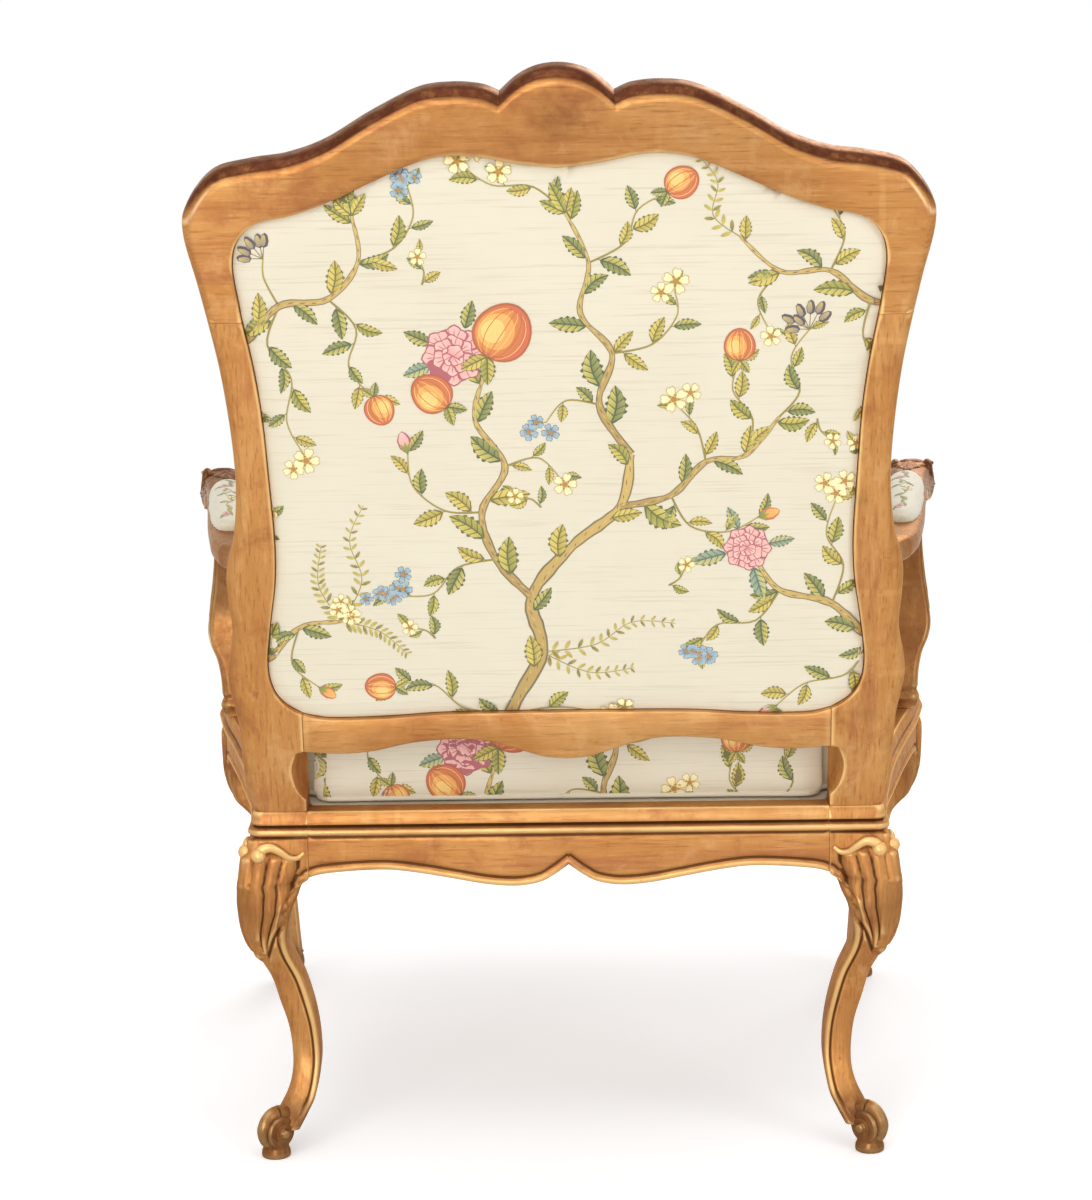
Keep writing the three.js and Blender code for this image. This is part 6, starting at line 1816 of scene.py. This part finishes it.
sprig_on(figures, [(6, 214), (-22, 238), (-58, 240), (-84, 258)], 19, 18)
for spot in ((-88, 262), (-74, 272), (-52, 252)):
    blossom_on(figures, spot, 9.5)
sprig_on(figures, [(26, 168), (58, 186), (70, 216), (98, 232)], 18, 18)
peach_on(figures, (108, 240), 0.6, 13)
sprig_on(figures, [(46, 84), (82, 92), (104, 118), (102, 142)], 19, 17)
blossom_on(figures, (103, 150), 10)
blossom_on(figures, (90, 140), 8)
sprig_on(figures, [(34, 36), (4, 40), (-14, 20)], 18, 15)
bells_on(figures, (-20, 12), 4, 6)
tip_leaves(figures, top_shoot, 20)

sprig_on(figures, [(-74, -66), (-108, -64), (-136, -40), (-140, -8)], 20, 19)
bud_on(figures, (-140, -8), 1.8, 16)
sprig_on(figures, [(-62, -112), (-98, -120), (-122, -146), (-160, -146)], 19, 18)
bells_on(figures, (-158, -146), 9, 9.5)
sprig_on(figures, [(-52, -22), (-22, -14), (-2, -34)], 15, 13)
blossom_on(figures, (2, -40), 9)

fern_on(figures, [(-206, -172), (-186, -132), (-196, -92), (-182, -58)])
fern_on(figures, [(-206, -172), (-226, -136), (-222, -96)])
fern_on(figures, [(-206, -172), (-172, -182), (-146, -206)])
bells_on(figures, (-204, -164), 5, 7, STRAW_DYES)
sprig_on(figures, [(-246, -178), (-254, -214), (-230, -238)], 18, 16)
bud_on(figures, (-230, -238), -0.6, 14, PEACH_BUD)

fern_on(figures, [(-22, -205), (28, -198), (62, -176), (102, -178)], 13)
fern_on(figures, [(-22, -205), (22, -226), (64, -222)], 10)
sprig_on(figures, [(-52, -270), (-94, -262), (-124, -236), (-160, -236)], 19, 19)
peach_on(figures, (-172, -238), 3.1, 12)
sprig_on(figures, [(-52, -270), (-8, -262), (34, -270)], 20, 19)
blossom_on(figures, (42, -270), 10)
blossom_on(figures, (54, -262), 8)

peony_on(figures, (168, -104), 21, layer=5)
for turn in (0.2, 2.0, 3.4, 5.0):
    spot = turned_by([(20, 0)], turn, 1, (168, -104))[0]
    leaf_on(figures, spot, turn, 34 if turn > 3 else 24, 0.42, LEAF_DYES[3])
sprig_on(figures, [(246, -160), (256, -122), (240, -92), (248, -58)], 20, 18)
for spot in ((248, -52), (238, -42), (256, -40)):
    blossom_on(figures, spot, 8.5)
sprig_on(figures, [(198, -146), (176, -176), (140, -180), (122, -206)], 19, 17)
bells_on(figures, (120, -210), 6, 6.5)
sprig_on(figures, [(282, -196), (262, -230), (222, -240), (196, -262)], 20, 18)
bud_on(figures, (196, -262), 3.8, 16)

sprig_on(figures, [(-206, 138), (-182, 110), (-190, 74), (-168, 44)], 20, 18)
peach_on(figures, (-164, 34), -1.2, 12)
sprig_on(figures, [(-250, 132), (-262, 96), (-242, 64), (-248, 24), (-234, -8)], 20, 18)
blossom_on(figures, (-232, -14), 10)
blossom_on(figures, (-244, -22), 8)
sprig_on(figures, [(-178, 172), (-146, 184), (-128, 212), (-132, 240)], 19, 18)
bells_on(figures, (-132, 246), 5, 6)
sprig_on(figures, [(-286, 96), (-296, 58), (-284, 30)], 18, 16)
tip_leaves(figures, high_left, 20)
berries_on(figures, (-262, 176), 2.2, 5)
twig_on(figures, [(-250, 132), (-262, 158), (-262, 176)])

sprig_on(figures, [(196, 158), (176, 132), (186, 104)], 16, 14)
blossom_on(figures, (188, 98), 8)
sprig_on(figures, [(240, 158), (252, 192), (236, 222)], 18, 17)
peony_on(figures, (232, 232), 14)
fern_on(figures, [(160, 190), (136, 210), (140, 240), (124, 262)], 10)
sprig_on(figures, [(276, 130), (270, 96), (288, 66), (280, 32)], 19, 17)
bud_on(figures, (280, 32), -1.8, 15, PEACH_BUD)
for x, y, turn in (
    (-280, -90, 0.8), (286, -20, 2.2), (20, 284, 1.2), (-20, -62, 2.4), (96, -140, 0.6), (-122, 150, 1.4),
    (230, 20, 5.0), (-120, -190, 2.4),
):
    ways = np.array([
        (0, 0), (math.cos(turn), math.sin(turn)), (math.cos(turn + 0.3), math.sin(turn + 0.3)),
    ])
    sprig = twig_on(figures, [x, y] + ways * [[0], [12], [26]])
    leafy(figures, sprig, 9, 12)
    blossom_on(figures, sprig[-1], 6.5)


def linear_dye(dye):
    dye = np.clip((np.asarray(dye) * 0.88 + np.array([236, 224, 196]) * 0.12) / 255, 0, 1)
    return np.where(dye <= 0.04045, dye / 12.92, ((dye + 0.055) / 1.055) ** 2.4)


def ahead_round(outline):
    """The outline in anticlockwise order."""
    return outline if area_in(outline) > 0 else outline[::-1]


def cut_to(outline, border):
    """The triangles of a flat shape that lie inside a border."""
    outline, border = ahead_round(outline), ahead_round(border)
    points = [Vector(p) for p in np.concatenate([outline, border])]
    count = len(outline)
    found = delaunay_2d_cdt(points, [], [list(range(count)), list(range(count, len(points)))], 1, 1e-6)
    kept = [list(face) for face, source in zip(found[2], found[5]) if 0 in source and 1 in source]
    return np.array([tuple(p) for p in found[0]]), kept


def laid_figures(name, shapes, border, surface, grid=None):
    """Lays the drawn shapes on a piece of cloth as one mesh of thin woven figures.

    The border is in the drawing's mm, and surface turns drawing points and a lift into places.
    """
    points, faces, dyes = [], [], []
    total = 0
    shapes = sorted(shapes, key=lambda s: s[5])
    depths = edge_distance(np.concatenate([s[0] for s in shapes]), border)
    depths = np.split(depths, np.cumsum([len(s[0]) for s in shapes])[:-1])
    for turn, ((outline, dye, tip, start, end, layer), depth) in enumerate(zip(shapes, depths)):
        if depth.max() < 0:
            continue
        if depth.min() > 0.2:
            wide = grid and np.ptp(outline, axis=0).max() > grid * 1.3
            flat, cuts = filled(outline, grid if wide else 1000)
        else:
            flat, cuts = cut_to(outline, border)
        if not cuts:
            continue
        spots = surface(flat, 0.00012 + 0.00005 * layer + 0.0000012 * (turn % 36))
        cuts = [face for face in cuts if not np.isnan(spots[face]).any()]
        if not cuts:
            continue
        way = end - start
        part = np.clip(((flat - start) @ way) / max(way @ way, 1e-9), 0, 1)[:, None]
        points.append(np.nan_to_num(spots))
        dyes.append(linear_dye(dye * (1 - part) + tip * part))
        faces += [[i + total for i in face] for face in cuts]
        total += len(flat)
    made = linked(name, np.concatenate(points), faces)
    colours = np.column_stack([np.concatenate(dyes), np.ones(total)]).ravel().astype(np.float32)
    made.data.attributes.new("dye", "FLOAT_COLOR", "POINT").data.foreach_set("color", colours)
    mark(made, "figure", np.ones(total))
    bpy.ops.object.mode_set(mode="EDIT")
    bpy.ops.mesh.select_all(action="DESELECT")
    bpy.ops.mesh.select_mode(type="VERT")
    bpy.ops.mesh.select_loose()
    bpy.ops.mesh.delete(type="VERT")
    bpy.ops.object.mode_set(mode="OBJECT")
    bpy.ops.object.shade_smooth()
    return made


def cast_on(cloth):
    """A function that gives the places where rays meet a piece of cloth, lifted off it a little."""
    mesh = cloth.data
    tree = BVHTree.FromPolygons(
        [v.co.copy() for v in mesh.vertices], [list(p.vertices) for p in mesh.polygons],
    )

    def cast(starts, ways, lift):
        found = np.full((len(starts), 3), np.nan)
        for k, (a, b) in enumerate(zip(starts, ways)):
            hit, normal, _, _ = tree.ray_cast(Vector(a), Vector(b), 0.3)
            if hit is not None:
                facing = normal if normal.dot(Vector(b)) < 0 else -normal
                found[k] = hit + facing * lift
        return found

    return cast


PANEL_EDGE_N = 0.0064
PANEL_N = 0.0024


def panel_n(points):
    """How far forwards of the rear face the stretched cloth lies at a place on the back."""
    depth = edge_distance(points, opening[::4])
    return PANEL_N + (PANEL_EDGE_N - PANEL_N) * (1 - eased(depth, 0.0005, 0.006))


outline = inset(opening, 0.0007)
flat, faces = filled(outline, 0.012)
rear = on_back(flat[:, 0], flat[:, 1], panel_n(flat))
front = on_back(flat[:, 0], flat[:, 1], PANEL_EDGE_N + 0.0002)
outside_back = piece("outside_back_cloth", *two_sided(rear, front, faces, len(outline)))
dress(outside_back, silk_cloth, "figured_cloth", "outside_back_panel")

# The drawing hangs the right way up on the back, seen from behind, with its middle at mid height.
FIGURE_MIDDLE = 0.365


def to_panel(flat, lift):
    places = np.stack([-flat[:, 0] / 1000, flat[:, 1] / 1000 + FIGURE_MIDDLE], 1)
    return on_back(places[:, 0], places[:, 1], panel_n(places) - lift)


panel_border = (inset(opening, 0.0008)[::2] * [-1, 1] - [0, FIGURE_MIDDLE]) * 1000
outside_figures = laid_figures("outside_back_figures", figures, panel_border, to_panel)
dress(outside_figures, silk_cloth, "figured_cloth", "outside_back_panel")

# Inside back
# A stuffed pad of the same silk, well domed, drawn down into the rebate of the frame.
BACK_PAD_SHARES = [
    (1, 0.0), (0.998, 0.06), (0.992, 0.2), (0.978, 0.34), (0.95, 0.5), (0.91, 0.63), (0.85, 0.75),
    (0.77, 0.85), (0.66, 0.92), (0.5, 0.97), (0.3, 1), (0.12, 1),
]
PAD_BULGE = 0.036
PAD_REAR_N = 0.029
opening_middle = np.array([0, (opening[:, 1].max() + opening[:, 1].min()) / 2])
tucked = inset(opening, -TUCK)


def drawn_in(outline, share, middle):
    return middle + (outline - middle) * share


rings = [
    on_back(*drawn_in(tucked, share, opening_middle).T, PAD_REAR_N) for share in (0.1, 0.4, 0.7, 0.9, 1)
]
rings += [
    on_back(*drawn_in(tucked, share, opening_middle).T, FRAME_DEPTH + (rise - 0.08) * PAD_BULGE)
    for share, rise in BACK_PAD_SHARES
]
pad_shape = skin(np.array(rings))


def puffed(name, shape, voxel, cap, pressure=4.0):
    """A stuffed piece: its shape is remeshed finely and blown up a little as cloth, then smoothed."""
    made = piece(name, *shape)
    remesh = made.modifiers.new("remesh", "REMESH")
    remesh.mode = "VOXEL"
    remesh.voxel_size = voxel
    bpy.ops.object.modifier_apply(modifier="remesh")
    start, facing = points_of(made), points_of(made, "normal")
    cloth = made.modifiers.new("cloth", "CLOTH")
    cloth.settings.use_pressure = True
    cloth.settings.uniform_pressure_force = pressure
    cloth.settings.effector_weights.gravity = 0
    cloth.settings.tension_stiffness = 15
    cloth.settings.compression_stiffness = 15
    for moment in range(1, 21):
        bpy.context.scene.frame_set(moment)
    blown = made.evaluated_get(bpy.context.evaluated_depsgraph_get())
    end = np.zeros(len(start) * 3)
    blown.to_mesh().vertices.foreach_get("co", end)
    blown.to_mesh_clear()
    way = end.reshape(-1, 3) - start
    # The stuffing holds the cloth out, so it draws in much less than it swells.
    drawn = np.minimum(np.einsum("ij,ij->i", way, facing), 0)
    way = way - facing * drawn[:, None] * 0.75
    far = np.linalg.norm(way, axis=1, keepdims=True)
    end = start + way * np.minimum(1, cap / np.maximum(far, 1e-9))
    made.modifiers.remove(cloth)
    bpy.context.scene.frame_set(1)
    made.data.vertices.foreach_set("co", end.ravel())
    smooth = made.modifiers.new("smooth", "SUBSURF")
    smooth.levels = smooth.render_levels = 1
    bpy.ops.object.modifier_apply(modifier="smooth")
    bpy.ops.object.shade_smooth()
    return made


inside_back = puffed("inside_back_cloth", pad_shape, 0.007, 0.008)
dress(inside_back, silk_cloth, "figured_cloth", "inside_back_pad")
to_pad = cast_on(inside_back)


def to_inside_back(flat, lift):
    x, s = flat[:, 0] / 1000, flat[:, 1] / 1000 + FIGURE_MIDDLE
    front = on_back(x, s, FRAME_DEPTH + 0.12)
    return to_pad(front, on_back(x, s, 0) - on_back(x, s, 1), lift)


pad_border = (inset(opening, 0.001)[::3] - [0, FIGURE_MIDDLE]) * 1000
inside_figures = laid_figures("inside_back_figures", figures, pad_border, to_inside_back, grid=7)
dress(inside_figures, silk_cloth, "figured_cloth", "inside_back_pad")

# Seat cushion
# A loose boxed cushion with a welt round its top and bottom edges and a crowned top. It is
# notched round the rear posts, so that a tongue of it fills the gap below the back.
CUSHION_FOOT = RAIL_TOP + FIT
CUSHION_BOXING = 0.080
CUSHION_CROWN = 0.045
CUSHION_EASE = 0.0035
CUSHION_TONGUE_REAR = 0.216 + chair_shift
CUSHION_CENTRE_Y = -0.055 + chair_shift
CUSHION_SIDE = [(0.02, 0), (0.2, 0.56), (0.4, 0.96), (0.6, 1.2), (0.8, 2.56), (0.95, 1.76)]


def cushion_half():
    side = []
    for t, drawn in CUSHION_SIDE:
        side.append((side_out(t) - 0.014 * (1 + drawn), POST_FRONT - t * SIDE_RUN - CUSHION_EASE))
    side = through(side, 60)
    front = through(
        [(t * (FRONT_SPAN - 0.026), SEAT_FRONT + 0.012 + back * FRONT_BOW) for t, back in FRONT_LINE], 50,
    )[::-1]
    t = np.linspace(0, 1, 12)[1:-1, None]
    turn = np.array([side[-1, 0], front[0, 1]])
    corner = (1 - t) ** 2 * side[-1] + 2 * t * (1 - t) * turn + t**2 * front[0]
    tongue_x = REAR_SPAN - CUSHION_EASE
    round_end = np.array([
        [tongue_x - 0.013, CUSHION_TONGUE_REAR], [tongue_x, CUSHION_TONGUE_REAR],
        [tongue_x, CUSHION_TONGUE_REAR - 0.013],
    ])
    round_end = (1 - t) ** 2 * round_end[0] + 2 * t * (1 - t) * round_end[1] + t**2 * round_end[2]
    rear = np.stack([np.linspace(0, tongue_x - 0.013, 40), np.full(40, CUSHION_TONGUE_REAR)], 1)
    cheek = np.stack(
        [np.full(8, tongue_x), np.linspace(CUSHION_TONGUE_REAR - 0.013, side[0, 1] + 0.006, 8)], 1,
    )
    return np.concatenate([rear, round_end, cheek, side, corner, front])


half = cushion_half()
cushion_outline = np.concatenate([half, half[-2:0:-1] * [-1, 1]])
# From the middle of the foot, round the side and over the top: the share of the way out from the
# middle, the shares of boxing and crown upwards, and how far the line has turned into an oval.
CUSHION_SKIN = [
    (0.1, 0.0, 0, 1), (0.5, 0.0, 0, 1), (0.8, 0.0, 0, 0.5), (0.955, 0, 0, 0), (0.985, 0.03, 0, 0),
    (0.994, 0.12, 0, 0), (0.99, 0.3, 0, 0), (0.988, 0.5, 0, 0), (0.99, 0.7, 0, 0), (0.994, 0.88, 0, 0),
    (0.985, 0.97, 0, 0), (0.96, 1, 0.06, 0.05), (0.88, 1, 0.34, 0.35), (0.72, 1, 0.66, 0.7),
    (0.5, 1, 0.88, 1), (0.25, 1, 0.97, 1), (0.08, 1, 0.98, 1),
]
wide = cushion_outline[:, 0].max()
deep = CUSHION_TONGUE_REAR - CUSHION_CENTRE_Y
from_middle = cushion_outline - [0, CUSHION_CENTRE_Y]
turn = np.arctan2(from_middle[:, 1] / deep, from_middle[:, 0] / wide)
oval_line = np.stack([wide * np.cos(turn), deep * np.sin(turn)], 1)
rings = []
for share, boxing, crown, oval in CUSHION_SKIN:
    line = (from_middle * (1 - oval) + oval_line * oval) * share
    z = np.full(len(line), CUSHION_FOOT + boxing * CUSHION_BOXING + crown * CUSHION_CROWN)
    rings.append(np.stack([line[:, 0], CUSHION_CENTRE_Y + line[:, 1], z], 1))
seat_cushion = puffed("seat_cushion_cloth", skin(np.array(rings)), 0.007, 0.012)
points = points_of(seat_cushion)
points[:, 2] = np.maximum(points[:, 2], CUSHION_FOOT + 0.0002)
seat_cushion.data.vertices.foreach_set("co", points.ravel())
seat_cushion.data.update()
dress(seat_cushion, silk_cloth, "figured_cloth", "seat_cushion", body="cushion")
to_cushion = cast_on(seat_cushion)


# The drawing is moved forwards, so that its fruits lie near the middle of the cushion.
TOP_SHIFT = 0.070


def to_cushion_top(flat, lift):
    places = np.column_stack([flat[:, 0] / 1000, flat[:, 1] / 1000 - TOP_SHIFT, np.full(len(flat), 0.60)])
    return to_cushion(places, np.tile([0, 0, -1.0], (len(flat), 1)), lift)


top_border = (inset(cushion_outline, 0.007)[::2] + [0, TOP_SHIFT]) * 1000
top_figures = laid_figures("cushion_top_figures", figures, top_border, to_cushion_top, grid=7)
dress(top_figures, silk_cloth, "figured_cloth", "seat_cushion", body="cushion")

# The band of cloth round the side is one long strip, so a place on it is a way round the outline,
# anticlockwise from the middle of the rear, and a height.
band = inset(cushion_outline, 0.003)[::-1]
band = np.concatenate([band[-1:], band])
band_step = np.linalg.norm(np.diff(band, axis=0), axis=1)
band_run = np.concatenate([[0], np.cumsum(band_step)])
band_out = right_of(np.gradient(band, axis=0))
# The strip is cut from four slices of the drawing: where each begins, and its level in the drawing.
BAND_SLICES = [(0.0, 30), (0.66, 105), (1.32, -20), (1.98, 160)]


def on_band(run, height, far, lift):
    """Places on the cushion, found straight in from starts that stand off the band by far."""
    spot, out = (
        np.stack([np.interp(run, band_run, v[:, k]) for k in (0, 1)], 1) for v in (band, band_out)
    )
    out = unit(out)
    starts = np.column_stack([spot + out * far, np.broadcast_to(height, len(run))])
    return to_cushion(starts, np.column_stack([-out, np.zeros(len(run))]), lift)


def to_cushion_band(flat, lift):
    return on_band((flat[:, 0] / 1000) % band_run[-1], CUSHION_FOOT + flat[:, 1] / 1000, 0.03, lift)


band_shapes = []
for begin, level in BAND_SLICES:
    shift = [begin * 1000, -level]
    for outline, dye, tip, start, end, layer in figures:
        moved = outline + shift
        if moved[:, 1].max() > 0 and moved[:, 1].min() < CUSHION_BOXING * 1000:
            band_shapes.append((moved, dye, tip, start + shift, end + shift, layer))
low_x, high_x = -330, band_run[-1] * 1000 - 331
band_border = np.array([(low_x, 3.5), (high_x, 3.5), (high_x, 76.5), (low_x, 76.5)])
band_figures = laid_figures("cushion_band_figures", band_shapes, band_border, to_cushion_band, grid=7)
dress(band_figures, silk_cloth, "figured_cloth", "seat_cushion", body="cushion")

# A welt is sewn in along the top and the bottom edge of the band.
def welt(height):
    path = on_band(np.linspace(0, band_run[-1], 521)[:-1], height, 0.04, 0.0002)
    path = path[~np.isnan(path[:, 0])]
    for _ in range(3):
        path = (np.roll(path, 1, axis=0) + 2 * path + np.roll(path, -1, axis=0)) / 4
    points, faces = swept(np.concatenate([path[-2:], path, path[:2]]), 0.0025, sides=10)
    return points[:-2], [face for face in faces if len(face) == 4]


for name, height in (("top", CUSHION_FOOT + CUSHION_BOXING - 0.001), ("foot", CUSHION_FOOT + 0.0036)):
    cord = piece("seat_cushion_welt_" + name, *welt(height))
    dress(cord, silk_cloth, "figured_cloth", "seat_cushion", body="cushion")

# Arm pads
# Small stuffed pads of the same silk, let into the tops of the arms behind the carved leaf.
# Shares of the arm's run, and how far the pad swells there.
ARM_PAD = [
    (0.2, 0.25), (0.23, 0.6), (0.3, 0.84), (0.4, 0.94), (0.5, 0.98), (0.6, 0.98), (0.68, 0.9),
    (0.73, 0.7), (0.755, 0.35),
]
PAD_HEIGHT = 0.014
arm_table = np.array(ARM_LINE)
rings = []
for t, swell in through(ARM_PAD, 60):
    out, drop, wide, tall = (np.interp(t, arm_table[:, 0], arm_table[:, k]) for k in (1, 2, 3, 4))
    x = REAR_HALF + out * (ARM_OUT - REAR_HALF)
    y = POST_FRONT - t * ARM_RUN
    top = ARM_HEIGHT - drop * ARM_ROOT_DROP + tall * ARM_HALF_HEIGHT
    half_width = swell * wide * ARM_HALF_WIDTH
    height = 0.004 + PAD_HEIGHT * (0.45 + 0.55 * swell)
    turns = np.linspace(0, np.pi, 22)
    ends = x + half_width * np.cos(turns) * (1 - 0.08 * np.sin(turns))
    arc = np.stack([ends, np.full(22, y), top - 0.004 + height * np.sin(turns) ** 0.7], 1)
    ends = np.linspace(x - half_width, x + half_width, 14)[1:-1]
    base = np.stack([ends, np.full(12, y), np.full(12, top - 0.004)], 1)
    rings.append(np.concatenate([arc, base]))
pad_shape = skin(np.array(rings))
for side, shape in on_both_sides(pad_shape):
    arm_pad = puffed("arm_pad_%s_cloth" % side, shape, 0.004, 0.003)
    dress(arm_pad, silk_cloth, "figured_cloth", "arm_pad_" + side)
    to_arm_pad = cast_on(arm_pad)
    sign = 1 if side == "right" else -1
    middle = POST_FRONT - 0.5 * ARM_RUN

    def to_pad_top(flat, lift):
        y = flat[:, 1] / 1000 + middle
        t = (POST_FRONT - y) / ARM_RUN
        x = REAR_HALF + np.interp(t, arm_table[:, 0], arm_table[:, 1]) * (ARM_OUT - REAR_HALF)
        turn = flat[:, 0] / 24
        starts = np.stack(
            [sign * x + 0.05 * np.sin(turn), y, ARM_HEIGHT + 0.008 + 0.05 * np.cos(turn)], 1,
        )
        ways = np.stack([-np.sin(turn), np.zeros(len(y)), -np.cos(turn)], 1)
        return to_arm_pad(starts, ways, lift)

    pad_sprigs = []
    for foot, lean in ((-98, 1), (-30, -1), (40, 1)):
        sprig = twig_on(
            pad_sprigs,
            [(-6 * lean, foot), (4 * lean, foot + 18), (-5 * lean, foot + 36), (6 * lean, foot + 54)],
        )
        leafy(pad_sprigs, sprig, 13, 12)
        blossom_on(pad_sprigs, sprig[-1], 7, (STRAW_DYES, PINK_DYES)[lean > 0])
    sleeve = np.array([(-26, -112), (26, -112), (26, 112), (-26, 112)], float)
    pad_figures = laid_figures("arm_pad_%s_figures" % side, pad_sprigs, sleeve, to_pad_top, grid=4)
    dress(pad_figures, silk_cloth, "figured_cloth", "arm_pad_" + side)
